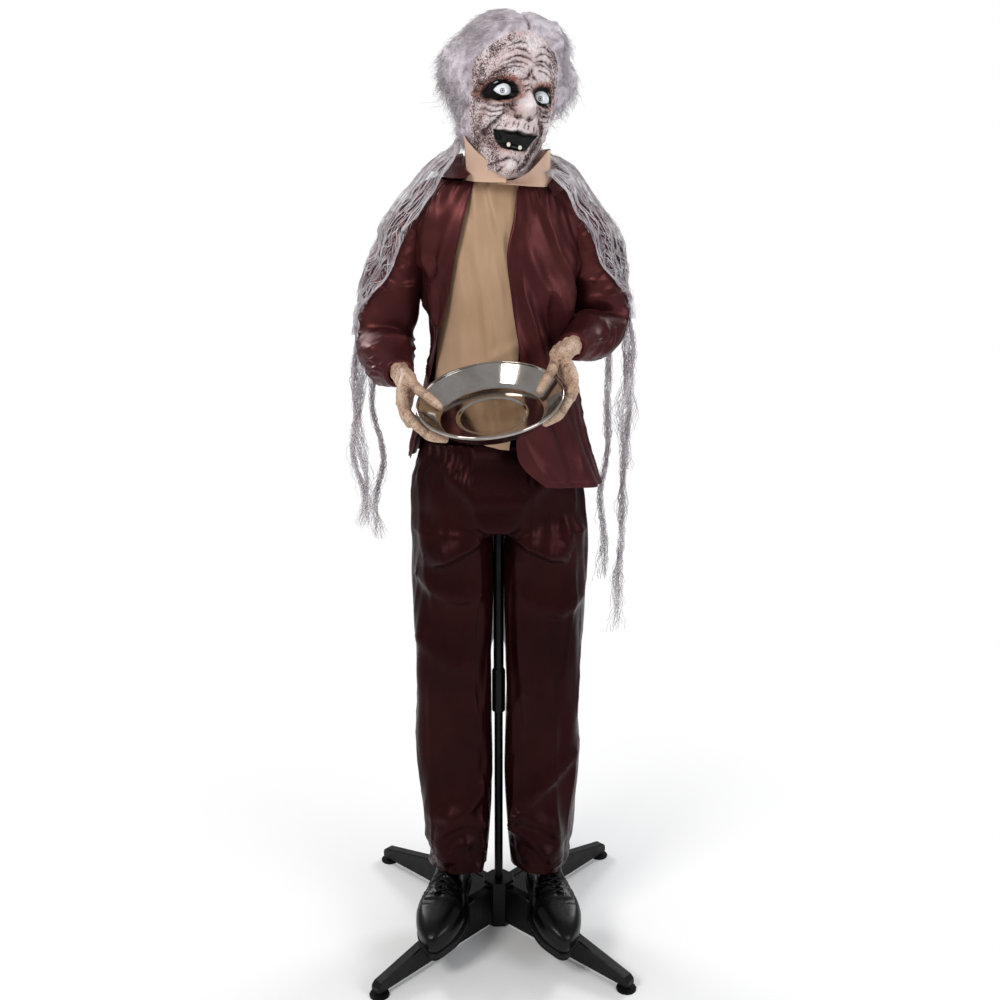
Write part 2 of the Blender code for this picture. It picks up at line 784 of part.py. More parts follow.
# Each station of the torso: height, X of its middle, half width, depth in front, depth behind
TORSO_STATIONS = [
    (1.160, 0.000, 0.104, 0.070, 0.066),
    (1.230, 0.000, 0.112, 0.078, 0.070),
    (1.310, 0.000, 0.128, 0.080, 0.072),
    (1.370, 0.000, 0.1405, 0.074, 0.070),
    (1.392, 0.000, 0.1320, 0.067, 0.065),
    (1.402, 0.000, 0.1200, 0.063, 0.062),
    (1.408, 0.000, 0.1060, 0.061, 0.060),
]


def torso_rings(shares, angles, grow):
    rows = through(TORSO_STATIONS, shares)
    rings = []
    for z, middle, wide, front, back in rows:
        x, y = oval(angles, wide + grow, front + grow, back + grow, 2.3)
        rings.append(np.stack([x + middle, y, np.full(len(angles), z)], axis=1))
    return np.array(rings)


def make_torso_shells(look):
    """Two thin moulded halves that meet at the sides, from the shoulders to the ribs."""
    shares = np.linspace(0.0, 1.0, 8)
    for name, start in (("torso_shell_front", math.pi), ("torso_shell_back", 0.0)):
        gap = TORSO_SEAM_GAP / 2 / TORSO_STATIONS[3][2]
        angles = np.linspace(start + gap, start + math.pi - gap, 12)
        outer = torso_rings(shares, angles, 0.0)
        inner = torso_rings(shares, angles, -TORSO_WALL)
        mesh = walled_mesh(name, outer, inner, wrap=False)
        shell = add_object(name, mesh, look["grey_plastic"])
        for side, sign in (("right", -1), ("left", 1)):
            hole = cutter(
                f"{name}_arm_hole_{side}",
                rod_mesh(f"{name}_arm_hole_{side}", 0.1, SHOULDER_BAR_DIAMETER / 2 + 0.001, 16),
            )
            hole.matrix_world = facing(
                (sign * 0.09, 0, SHOULDER_BAR_Z), (sign, 0, 0), (0, 0, 1)
            )
            combine(shell, hole)


def make_spine_block(look):
    """The moulded block on the pole's top, which carries the shoulder bar and the drive."""
    half_width, half_depth = SPINE_BLOCK_WIDTH / 2, SPINE_BLOCK_DEPTH / 2
    mesh = box_mesh(
        "spine_block",
        (-half_width, -half_depth, SPINE_BLOCK_BOTTOM_Z),
        (half_width, half_depth, SPINE_BLOCK_TOP_Z),
    )
    block = add_object("spine_block", mesh, look["black_plastic"])
    soften(block, 0.003)
    bore = cutter(
        "spine_pole_bore",
        rod_mesh("spine_pole_bore", 0.1, POLE_UPPER_DIAMETER / 2 + FIT, 16),
    )
    bore.location.z = POLE_TOP_Z + FIT - 0.1
    combine(block, bore)
    bar_hole = cutter(
        "spine_bar_bore",
        rod_mesh("spine_bar_bore", 0.2, SHOULDER_BAR_DIAMETER / 2 + FIT, 16),
    )
    bar_hole.matrix_world = facing((-0.1, 0, SHOULDER_BAR_Z), (1, 0, 0), (0, 0, 1))
    combine(block, bar_hole)
    motor_room = cutter(
        "spine_motor_room",
        rod_mesh("spine_motor_room", 0.1, MOTOR_DIAMETER / 2 + 0.001, 16),
    )
    motor_room.location = (0, gear_distance(), SPINE_BLOCK_TOP_Z - MOTOR_HEIGHT - 0.002)
    combine(block, motor_room)
    shaft_room = cutter(
        "spine_shaft_room",
        rod_mesh("spine_shaft_room", 0.1, SHAFT_HEAD_DIAMETER / 2 + 0.001, 16),
    )
    shaft_room.location = (0, 0, SPINE_BLOCK_TOP_Z - SHAFT_HEAD_HEIGHT - 0.003)
    combine(block, shaft_room)
    return block


def gear_distance():
    return GEAR_MODULE * (GEAR_TEETH + PINION_TEETH) / 2


def gear_outline(teeth, turn, flank_points):
    """Involute teeth, thinned by the backlash, with short tips and radial roots."""
    pressure = math.radians(PRESSURE_DEG)
    pitch = GEAR_MODULE * teeth / 2
    base = pitch * math.cos(pressure)
    tip = pitch + TOOTH_HEIGHT_SHARE * GEAR_MODULE
    root = pitch - (TOOTH_HEIGHT_SHARE + 0.25) * GEAR_MODULE
    half = math.pi / 2 / teeth - BACKLASH / 2 / pitch

    def involute(radius):
        ratio = max(radius / base, 1.0)
        unwound = math.sqrt(ratio**2 - 1)
        return unwound - math.atan(unwound)

    at_pitch = involute(pitch)
    start = max(root, base)
    radii = [start + (tip - start) * k / (flank_points - 1) for k in range(flank_points)]
    flank = [(radius, half + at_pitch - involute(radius)) for radius in radii]
    if start > root:
        flank = [(root, flank[0][1])] + flank
    outline = []
    for tooth in range(teeth):
        middle = turn + math.tau * tooth / teeth
        for radius, away in flank:
            outline.append((radius, middle - away))
        for radius, away in reversed(flank):
            outline.append((radius, middle + away))
    return [(radius * math.cos(a), radius * math.sin(a)) for radius, a in outline]


def make_neck_drive(look, head_axis, pinion_axis):
    """Plate, bush, motor, pinion, gear and shaft: the motor turns the head through 3 to 1."""
    plate_low = SPINE_BLOCK_TOP_Z + FIT
    plate_high = plate_low + PLATE_THICKNESS
    motor_y = gear_distance()
    edge = motor_y + MOTOR_DIAMETER / 2 + 0.002
    plate = add_object(
        "drive_plate",
        box_mesh(
            "drive_plate",
            (-PLATE_WIDTH / 2, -PLATE_FRONT, plate_low),
            (PLATE_WIDTH / 2, edge, plate_high),
        ),
        look["steel"],
    )
    bush_radius = BUSH_DIAMETER / 2
    for name, y, radius in (
        ("plate_bush_hole", 0.0, bush_radius + FIT),
        ("plate_motor_hole", motor_y, MOTOR_BOSS_DIAMETER / 2 + FIT),
    ):
        hole = cutter(name, rod_mesh(name, 0.02, radius, 20))
        hole.location = (0, y, plate_low - 0.008)
        combine(plate, hole)

    shaft_radius = SHAFT_DIAMETER / 2
    bore = shaft_radius + RUNNING
    flange_top = plate_high + FIT + BUSH_FLANGE_THICKNESS
    bush_profile = [
        (bore, plate_low),
        (bush_radius, plate_low),
        (bush_radius, plate_high + FIT),
        (BUSH_FLANGE_DIAMETER / 2, plate_high + FIT),
        (BUSH_FLANGE_DIAMETER / 2, flange_top),
        (bore, flange_top),
    ]
    add_object(
        "neck_bush",
        turned_mesh("neck_bush", bush_profile, 20, closed=True),
        look["brass"],
    )

    gear_low = flange_top + GEAR_LIFT
    gear_high = gear_low + GEAR_THICKNESS
    head_top = plate_low - GEAR_LIFT
    shaft_profile = [
        (0, head_top - SHAFT_HEAD_HEIGHT),
        (SHAFT_HEAD_DIAMETER / 2, head_top - SHAFT_HEAD_HEIGHT),
        (SHAFT_HEAD_DIAMETER / 2, head_top),
        (shaft_radius, head_top),
        (shaft_radius, SHAFT_TOP_Z),
        (0, SHAFT_TOP_Z),
    ]
    add_object(
        "neck_shaft", turned_mesh("neck_shaft", shaft_profile, 20), look["steel"], head_axis
    )
    gear = add_object(
        "neck_gear",
        prism_mesh("neck_gear", gear_outline(GEAR_TEETH, math.pi / 2, 2), gear_low, gear_high),
        look["white_plastic"],
        head_axis,
    )
    gear_bore = cutter(
        "neck_gear_bore", rod_mesh("neck_gear_bore", 0.03, shaft_radius + FIT, 20)
    )
    gear_bore.location = (0, 0, gear_low - 0.01)
    combine(gear, gear_bore)

    motor_radius = MOTOR_DIAMETER / 2
    boss = MOTOR_BOSS_DIAMETER / 2
    hole = MOTOR_SHAFT_DIAMETER / 2 + RUNNING
    motor_top = plate_low - FIT
    motor_low = motor_top - MOTOR_HEIGHT
    shaft_end = plate_high - MOTOR_SHAFT_LENGTH
    motor_profile = [
        (0, motor_low),
        (motor_radius - 0.002, motor_low),
        (motor_radius, motor_low + 0.002),
        (motor_radius, motor_top),
        (boss, motor_top),
        (boss, plate_high),
        (hole, plate_high),
        (hole, shaft_end - FIT),
        (0, shaft_end - FIT),
    ]
    motor = add_object("neck_motor", turned_mesh("neck_motor", motor_profile, 16), look["steel"])
    motor.location.y = motor_y

    toothed = gear_outline(PINION_TEETH, math.pi / PINION_TEETH - math.pi / 2, 3)
    pinion = add_object(
        "motor_pinion",
        prism_mesh("motor_pinion", toothed, gear_low, gear_high),
        look["white_plastic"],
        pinion_axis,
    )
    stem = rod_mesh(
        "pinion_stem", gear_high - 0.001 - shaft_end, MOTOR_SHAFT_DIAMETER / 2, 16
    )
    stem_tool = cutter("pinion_stem", stem)
    stem_tool.location = (0, motor_y, shaft_end)
    combine(pinion, stem_tool, "UNION")


# Each station of the head in its own frame: height, half width, depth in front, depth behind,
# and Y of the section's middle
HEAD_STATIONS = [
    (0.126, 0.010, 0.010, 0.010, 0.004),
    (0.123, 0.030, 0.030, 0.034, 0.004),
    (0.113, 0.050, 0.052, 0.058, 0.004),
    (0.094, 0.065, 0.070, 0.078, 0.004),
    (0.068, 0.0735, 0.081, 0.089, 0.004),
    (0.038, 0.0755, 0.085, 0.092, 0.003),
    (0.008, 0.0740, 0.086, 0.088, 0.002),
    (-0.022, 0.0705, 0.086, 0.086, 0.000),
    (-0.050, 0.0660, 0.086, 0.087, 0.000),
    (-0.078, 0.0600, 0.085, 0.090, 0.000),
    (-0.106, 0.0510, 0.080, 0.094, 0.000),
    (-0.124, 0.0420, 0.071, 0.096, 0.000),
]
NAPE_RISE = 0.048


def head_frame():
    """From the head's own frame to the world at rest."""
    yaw = Matrix.Rotation(math.radians(HEAD_YAW_DEG), 4, "Z")
    roll = Matrix.Rotation(math.radians(HEAD_ROLL_DEG), 4, "Y")
    pitch = Matrix.Rotation(math.radians(-HEAD_PITCH_DEG), 4, "X")
    return Matrix.Translation(Vector(HEAD_CENTRE)) @ yaw @ roll @ pitch


def apply(matrix, points):
    turn = np.array(matrix.to_3x3())
    return points @ turn.T + np.array(matrix.translation)


def face_relief(x, z):
    """How far the face stands out from the plain head, in metres, at X and height Z."""
    side = np.abs(x)
    nose = 0.019 * bump(x, z, 0, -0.018, 0.0125, 0.016) + 0.009 * bump(x, z, 0, 0.004, 0.009, 0.020)
    brow = 0.005 * bump(side, z, 0.030, 0.034, 0.022, 0.008)
    socket = -0.011 * bump(side, z, EYE_SPACING / 2, EYE_HEIGHT - 0.001, 0.019, 0.014)
    cheek = 0.004 * bump(side, z, 0.044, -0.018, 0.015, 0.013)
    hollow = -0.004 * bump(side, z, 0.046, -0.055, 0.012, 0.020)
    lips = 0.004 * bump(x, z, 0, MOUTH_Z, 0.032, 0.024)
    chin = 0.007 * bump(x, z, 0, -0.100, 0.020, 0.013)
    return nose + brow + socket + cheek + hollow + lips + chin


def front_angles(count):
    """Angles round the head from its back, closer together over the face."""
    even = np.linspace(-math.pi, math.pi, count, endpoint=False)
    return -math.pi / 2 + even - 0.42 * np.sin(even)


def head_rings(rows, columns, grow, front_grow, relief):
    """Rings of the head in the world: head sections, which turn into an upright neck below."""
    angles = front_angles(columns)
    shares = np.linspace(0, 1, rows)
    stations = through(HEAD_STATIONS, shares)
    rings = []
    for z, wide, front, back, middle in stations:
        height = z + grow * (smoothstep(z, 0.09, 0.11) - smoothstep(-z, 0.09, 0.11))
        nape = smoothstep(-z, 0.04, 0.124) * smoothstep(np.sin(angles), -0.3, 0.9)
        height = height + NAPE_RISE * nape
        x, y = oval(angles, wide + grow, max(front + front_grow, 0.003), back + grow, 2.15)
        if relief:
            facing_front = smoothstep(-np.sin(angles), 0.05, 0.5)
            y = y - face_relief(x, z) * facing_front
        rings.append(np.stack([x, y + middle, height], axis=1))
    head = apply(head_frame(), np.array(rings))
    return head, angles


def neck_rings(last, radius, bottom, rows=3):
    """Upright rings from the jaw's ring down to a round neck about the turning axis."""
    turn = np.arctan2(last[:, 1], last[:, 0])
    x, y = radius * np.cos(turn), radius * np.sin(turn)
    target = np.stack([x, y, np.full(len(turn), bottom)], axis=1)
    rings = []
    for step in range(1, rows + 1):
        share = step / rows
        ease = math.sin(share * math.pi / 2)
        ring = last * (1 - ease) + target * ease
        ring[:, 2] = last[:, 2] * (1 - share) + bottom * share
        rings.append(ring)
    return np.array(rings)


def make_mask(look, head_axis):
    rows, columns = MASK_GRID
    outer, _ = head_rings(rows, columns, 0.0, 0.0, relief=True)
    neck = neck_rings(outer[-1], NECK_SKIRT_RADIUS, NECK_SKIRT_BOTTOM_Z)
    outer = np.concatenate([outer, neck])
    mask = add_object("mask", loft_mesh("mask", outer), look["mask_latex"], head_axis)
    inner, _ = head_rings(10, 18, -MASK_WALL, -FACE_WALL, relief=False)
    lower = NECK_SKIRT_BOTTOM_Z - 0.004
    neck = neck_rings(inner[-1], NECK_SKIRT_RADIUS - MASK_WALL, lower)
    hollow = cutter("mask_hollow", loft_mesh("mask_hollow", np.concatenate([inner, neck])))
    combine(mask, hollow)
    frame = head_frame()
    for side, sign in (("right", -1), ("left", 1)):
        centre = Vector((sign * EYE_SPACING / 2, EYE_DEPTH, EYE_HEIGHT))
        opening = cutter(
            f"eye_opening_{side}",
            ball_mesh(f"eye_opening_{side}", EYE_DIAMETER / 2 + EYE_ROOM, 16),
        )
        opening.matrix_world = frame @ facing(centre, (0, -1, 0), (1, 0, 0))
        combine(mask, opening)
    mouth = rod_mesh("mouth_opening", 0.06, 0.5, 14)
    mouth.transform(Matrix.Diagonal((MOUTH_WIDTH, MOUTH_HEIGHT, 1.0, 1.0)))
    tool = cutter("mouth_opening", mouth)
    tool.matrix_world = frame @ facing(
        (0, -0.076, MOUTH_Z), (0, -1, 0.1), (1, 0, 0)
    )
    combine(mask, tool)
    return mask


def make_skull(look, head_axis):
    """The inner head form: it fills the mask's hollow from the crown to its flat base."""
    rings, _ = head_rings(
        10, 18, -MASK_WALL - SKULL_GAP, -FACE_WALL - SKULL_GAP, relief=False
    )
    mesh = loft_mesh("skull_form", rings)
    skull = add_object("skull_form", mesh, look["grey_plastic"], head_axis)
    below = box_mesh(
        "skull_base_cut", (-0.2, -0.25, SKULL_BASE_Z - 0.2), (0.2, 0.2, SKULL_BASE_Z)
    )
    combine(skull, cutter("skull_base_cut", below))
    bore = cutter(
        "skull_shaft_bore",
        rod_mesh("skull_shaft_bore", SHAFT_TOP_Z + FIT - SKULL_BASE_Z + 0.02, SHAFT_DIAMETER / 2 + FIT, 20),
    )
    bore.location = (0, 0, SKULL_BASE_Z - 0.02)
    combine(skull, bore)
    frame = head_frame()
    for side, sign in (("right", -1), ("left", 1)):
        centre = Vector((sign * EYE_SPACING / 2, EYE_DEPTH, EYE_HEIGHT))
        pocket = cutter(
            f"eye_pocket_{side}",
            rod_mesh(f"eye_pocket_{side}", 0.06, EYE_DIAMETER / 2 + FIT, 16),
        )
        pocket.matrix_world = frame @ facing(
            centre + Vector((0, EYE_DIAMETER / 4, 0)), (0, -1, 0), (1, 0, 0)
        )
        combine(skull, pocket)
    return skull


def make_eyes(look, head_axis):
    """Each eye is a moulded ball with a flat back, set in a pocket of the skull form."""
    frame = head_frame()
    for side, sign in (("right", -1), ("left", 1)):
        radius = EYE_DIAMETER / 2
        flat = -radius / 2 + FIT
        start = math.asin(flat / radius)
        turns = [start + (math.pi / 2 - start) * k / 6 for k in range(7)]
        profile = [(0, flat)] + [(radius * math.cos(a), radius * math.sin(a)) for a in turns]
        profile[-1] = (0, radius)
        centre = Vector((sign * EYE_SPACING / 2, EYE_DEPTH, EYE_HEIGHT))
        eye = add_object(
            f"eye_{side}", turned_mesh(f"eye_{side}", profile, 16), look["eye"], head_axis
        )
        eye.matrix_world = frame @ facing(centre, (0, -1, 0), (1, 0, 0))


def make_teeth(look, head_axis):
    """Two lower teeth on a gum bar, seated against the skull form inside the mouth."""
    frame = head_frame()
    gum_low = MOUTH_Z - MOUTH_HEIGHT / 2 + 0.004
    mesh = box_mesh("teeth", (-0.0125, -0.088, gum_low), (0.0125, -0.0778, gum_low + 0.005))
    teeth = add_object("teeth", mesh, look["tooth"], head_axis)
    for k, x in enumerate((-0.0065, 0.0065)):
        tooth = cutter(
            f"tooth_{k}",
            box_mesh(
                f"tooth_{k}",
                (x - TOOTH_WIDTH / 2, -0.0875, gum_low + 0.001),
                (x + TOOTH_WIDTH / 2, -0.0825, gum_low + 0.004 + TOOTH_HEIGHT),
            ),
        )
        tooth.matrix_world = frame
        combine(teeth, tooth, "UNION")
    teeth.matrix_world = frame
    return teeth


def dish_frame():
    """From the dish's own frame, with its rim at Z = 0, to the world."""
    roll = Matrix.Rotation(math.radians(-DISH_ROLL_DEG), 4, "Y")
    tilt = Matrix.Rotation(math.radians(DISH_TILT_DEG), 4, "X")
    return Matrix.Translation(Vector(DISH_CENTRE)) @ roll @ tilt


def dish_point(radius, angle_deg, height):
    """A point given round the dish: radius, angle from +X, and height over the rim."""
    angle = math.radians(angle_deg)
    local = Vector((radius * math.cos(angle), radius * math.sin(angle), height))
    return dish_frame() @ local


def dish_profile(grow=0.0):
    """A pressed dish: rolled bead, sloping wall, rounded foot and a raised ring floor."""
    wall = DISH_WALL + grow
    bead = DISH_BEAD_RADIUS + grow
    rim, floor = DISH_RIM_RADIUS - DISH_BEAD_RADIUS, DISH_FLOOR_RADIUS
    raised = -DISH_DEPTH + DISH_RING_STEP
    bead_turns = [math.radians(a) for a in (150, 90, 30, -30, -90)]
    inside = [
        (0, -DISH_DEPTH + grow),
        (DISH_RING_RADIUS - 0.002, -DISH_DEPTH + grow),
        (DISH_RING_RADIUS + 0.002, raised + grow),
        (floor - 0.004 - grow, raised + grow),
        (floor + 0.002 - grow, raised + 0.004 + grow),
    ]
    over = [
        (rim + bead * math.cos(a), -DISH_BEAD_RADIUS + bead * math.sin(a))
        for a in bead_turns
    ]
    outside = [
        (rim - 0.0005 + wall, -DISH_BEAD_RADIUS - bead - 0.001),
        (floor + 0.002 + wall, raised + 0.002 - wall / 2),
        (floor - 0.004, raised - wall),
        (DISH_RING_RADIUS + 0.003, raised - wall),
        (DISH_RING_RADIUS - 0.001, -DISH_DEPTH - wall),
        (0, -DISH_DEPTH - wall),
    ]
    return inside + over + outside


def make_dish(look):
    dish = add_object("dish", turned_mesh("dish", dish_profile(), 36), look["dish_steel"])
    dish.matrix_world = dish_frame()
    wall_out = Vector((DISH_RIM_RADIUS - DISH_FLOOR_RADIUS, DISH_DEPTH)).normalized()
    middle = Vector((DISH_RIM_RADIUS - DISH_BEAD_RADIUS, -DISH_BEAD_RADIUS - 0.0005))
    hole_at = middle - wall_out * TIE_RADIUS
    for side, angle_deg in (("right", 196.0), ("left", -12.0)):
        angle = math.radians(angle_deg)
        radial = Vector((math.cos(angle), math.sin(angle), 0))
        through_wall = radial * wall_out.y - Vector((0, 0, wall_out.x))
        start = radial * hole_at.x + Vector((0, 0, hole_at.y)) - through_wall * 0.005
        hole = cutter(
            f"dish_hole_{side}",
            rod_mesh(f"dish_hole_{side}", 0.010, DISH_HOLE_RADIUS, 8),
        )
        hole.matrix_world = dish_frame() @ facing(start, through_wall, (0, 0, 1))
        combine(dish, hole)
        centre = radial * middle.x + Vector((0, 0, middle.y))
        tangent = Vector((-radial.y, radial.x, 0))
        name = f"dish_tie_{side}"
        ring = [
            (TIE_RADIUS + TIE_WIRE_RADIUS * math.cos(a), TIE_WIRE_RADIUS * math.sin(a))
            for a in np.linspace(0, math.tau, 5, endpoint=False)
        ]
        tie = add_object(
            name, turned_mesh(name, ring, 16, closed=True), look["white_plastic"]
        )
        tie.matrix_world = dish_frame() @ facing(centre, tangent, radial)
    return dish


def limb_rings(points, radii, side, count):
    """Rings along a smooth path, with rounded ends. radii are (sideways, upright) pairs."""
    shares = np.linspace(0, 1, 4 * (len(points) - 1) + 1)
    path = through(points, shares)
    sizes = through(radii, shares)
    heading = np.gradient(path, axis=0)
    heading /= np.linalg.norm(heading, axis=1, keepdims=True)
    across = np.asarray(side, float) - heading * (heading @ np.asarray(side, float))[:, None]
    across /= np.linalg.norm(across, axis=1, keepdims=True)
    upright = np.cross(heading, across)
    angles = np.linspace(0, math.tau, count, endpoint=False)
    rings = []
    ends = [(0, -1.0, 0.35), (0, -0.8, 0.75)], [(-1, 0.8, 0.75), (-1, 1.0, 0.35)]

    def ring(place, step, share):
        middle = path[place] + heading[place] * step * sizes[place].min()
        return (
            middle
            + across[place] * np.cos(angles)[:, None] * sizes[place, 0] * share
            + upright[place] * np.sin(angles)[:, None] * sizes[place, 1] * share
        )

    rings += [ring(*end) for end in ends[0]]
    rings += [ring(place, 0.0, 1.0) for place in range(len(path))]
    rings += [ring(*end) for end in ends[1]]
    return np.array(rings)


def make_hand(side, sign, base_deg, wrist, look):
    """A moulded hand: the thumb lies over the dish's rim, the fingers curl under its floor."""

    def at(radius, lead_deg, height):
        """Round the dish from the grip, with the lead angle growing towards the front."""
        return dish_point(radius, base_deg - sign * lead_deg, height)

    up = tuple(dish_frame().to_3x3() @ Vector((0, 0, 1)))
    rim = DISH_RIM_RADIUS
    finger_radius = 0.0075
    under = -DISH_DEPTH - DISH_WALL - finger_radius + 0.0015
    palm_points = [
        wrist,
        at(rim + 0.036, -36, 0.000),
        at(rim + 0.026, -20, -0.012),
        at(rim + 0.018, -7, -0.022),
    ]
    palm_sizes = [(0.0150, 0.0160), (0.0130, 0.0230), (0.0115, 0.0270), (0.0085, 0.0240)]
    radial = np.array(at(rim, -20, 0)) - np.array(at(0, 0, 0))
    name = f"hand_{side}"
    shapes = [limb_rings(palm_points, palm_sizes, radial, 14)]
    thumb_points = [
        at(rim + 0.026, -34, 0.014),
        at(rim + 0.001, -24, 0.0080),
        at(rim - 0.020, -13, 0.006),
        at(rim - 0.038, 0, -0.002),
    ]
    thumb_sizes = [(0.012, 0.012), (0.009, 0.009), (0.0085, 0.0085), (0.0065, 0.006)]
    shapes.append(limb_rings(thumb_points, thumb_sizes, up, 12))
    for finger in range(4):
        points = [
            at(rim + 0.022 - 0.003 * finger, -9 - 3 * finger, -0.006 - 0.011 * finger),
            at(rim + 0.006 - 0.004 * finger, 4 - 5 * finger, -0.020 - 0.009 * finger),
            at(rim - 0.010 - 0.005 * finger, 14 - 8 * finger, -0.035 - 0.005 * finger),
            at(rim - 0.030 - 0.005 * finger, 23 - 12 * finger, under),
        ]
        size = finger_radius - 0.0003 * finger
        sizes = [(size, size), (size, size), (size, size), (size * 0.8, size * 0.75)]
        shapes.append(limb_rings(points, sizes, up, 12))
    hand = add_object(name, merged_mesh(name, shapes), look["hand_vinyl"])
    skin = hand.modifiers.new("one_skin", "REMESH")
    skin.mode = "VOXEL"
    skin.voxel_size = HAND_GRAIN
    skin.use_smooth_shade = True
    fewer = hand.modifiers.new("fewer_faces", "DECIMATE")
    fewer.ratio = HAND_KEPT_SHARE
    combine(hand, bpy.data.objects["dish_room"])
    return hand


def make_dish_room():
    """The dish's wall grown by the clearance, which keeps the hands off it."""
    room = cutter("dish_room", turned_mesh("dish_room", dish_profile(0.0004), 36))
    room.matrix_world = dish_frame()
    return room


ARMS = {
    "right": {
        "sign": -1,
        "shoulder": (-0.156, 0.000, 1.345),
        "elbow": (-0.196, 0.006, 1.168),
        "wrist": (-0.161, -0.128, 1.122),
        "base_deg": 186.0,
        "sag": 0.45,
        "sleeve": [
            (-0.112, 0.000, 1.372),
            (-0.142, 0.000, 1.345),
            (-0.172, 0.002, 1.275),
            (-0.191, 0.004, 1.205),
            (-0.195, -0.014, 1.160),
            (-0.181, -0.066, 1.134),
            (-0.167, -0.106, 1.119),
        ],
    },
    "left": {
        "sign": 1,
        "shoulder": (0.156, 0.000, 1.345),
        "elbow": (0.172, 0.006, 1.190),
        "wrist": (0.117, -0.132, 1.166),
        "base_deg": 4.0,
        "sag": 0.10,
        "sleeve": [
            (0.112, 0.000, 1.372),
            (0.142, 0.000, 1.345),
            (0.164, 0.002, 1.290),
            (0.173, 0.006, 1.238),
            (0.172, -0.008, 1.192),
            (0.150, -0.058, 1.172),
            (0.127, -0.106, 1.168),
        ],
    },
}
SLEEVE_BEND_SHARE = 0.60
SLEEVE_LEAVES_SHARE = 0.48
SLEEVE_SIZES = [
    (0.036, 0.034),
    (0.047, 0.042),
    (0.050, 0.043),
    (0.050, 0.046),
    (0.048, 0.047),
    (0.040, 0.038),
    (0.030, 0.028),
]


def make_arm(side, look):
    """Shoulder ball, upper tube, elbow ball and forearm tube, which plugs into the hand."""
    arm = ARMS[side]
    sign = arm["sign"]
    shoulder, elbow, wrist = (Vector(arm[key]) for key in ("shoulder", "elbow", "wrist"))
    radius, joint = ARM_TUBE_DIAMETER / 2, ELBOW_DIAMETER / 2
    down = elbow - shoulder
    name = f"upper_arm_{side}"
    upper = add_object(name, ball_mesh(name, joint, 12), look["white_plastic"])
    upper.location = shoulder
    seat = joint * 0.45
    tube = cutter(f"{name}_tube", rod_mesh(f"{name}_tube", down.length - seat, radius, 12))
    tube.matrix_world = facing(shoulder, down)
    combine(upper, tube, "UNION")
    bar = cutter(
        f"{name}_bar_bore",
        rod_mesh(f"{name}_bar_bore", 0.1, SHOULDER_BAR_DIAMETER / 2 + FIT, 16),
    )
    bar.matrix_world = facing(
        shoulder + Vector((sign * joint * 0.4, 0, 0)), (-sign, 0, 0), (0, 0, 1)
    )
    combine(upper, bar)

    out = wrist - elbow
    name = f"forearm_{side}"
    forearm = add_object(name, ball_mesh(name, joint, 12), look["white_plastic"])
    forearm.location = elbow
    plug = 0.022
    tube = cutter(f"{name}_tube", rod_mesh(f"{name}_tube", out.length + plug, radius, 12))
    tube.matrix_world = facing(elbow, out)
    combine(forearm, tube, "UNION")
    socket = cutter(
        f"{name}_socket", rod_mesh(f"{name}_socket", down.length, radius + FIT, 12)
    )
    socket.matrix_world = facing(elbow - down.normalized() * (seat - FIT), -down)
    combine(forearm, socket)

    make_hand(side, sign, arm["base_deg"], tuple(wrist), look)
    bore = cutter(
        f"hand_bore_{side}", rod_mesh(f"hand_bore_{side}", 0.08, radius + FIT, 12)
    )
    bore.matrix_world = facing(wrist + out.normalized() * (plug + FIT), -out)
    combine(bpy.data.objects[f"hand_{side}"], bore)


def make_shoulder_bar(look):
    joint = ELBOW_DIAMETER / 2
    end = ARMS["left"]["shoulder"][0] + joint * 0.4 - FIT
    bar = add_object(
        "shoulder_bar",
        rod_mesh("shoulder_bar", 2 * end, SHOULDER_BAR_DIAMETER / 2, 16),
        look["black_metal"],
    )
    bar.matrix_world = facing((-end, 0, SHOULDER_BAR_Z), (1, 0, 0), (0, 0, 1))


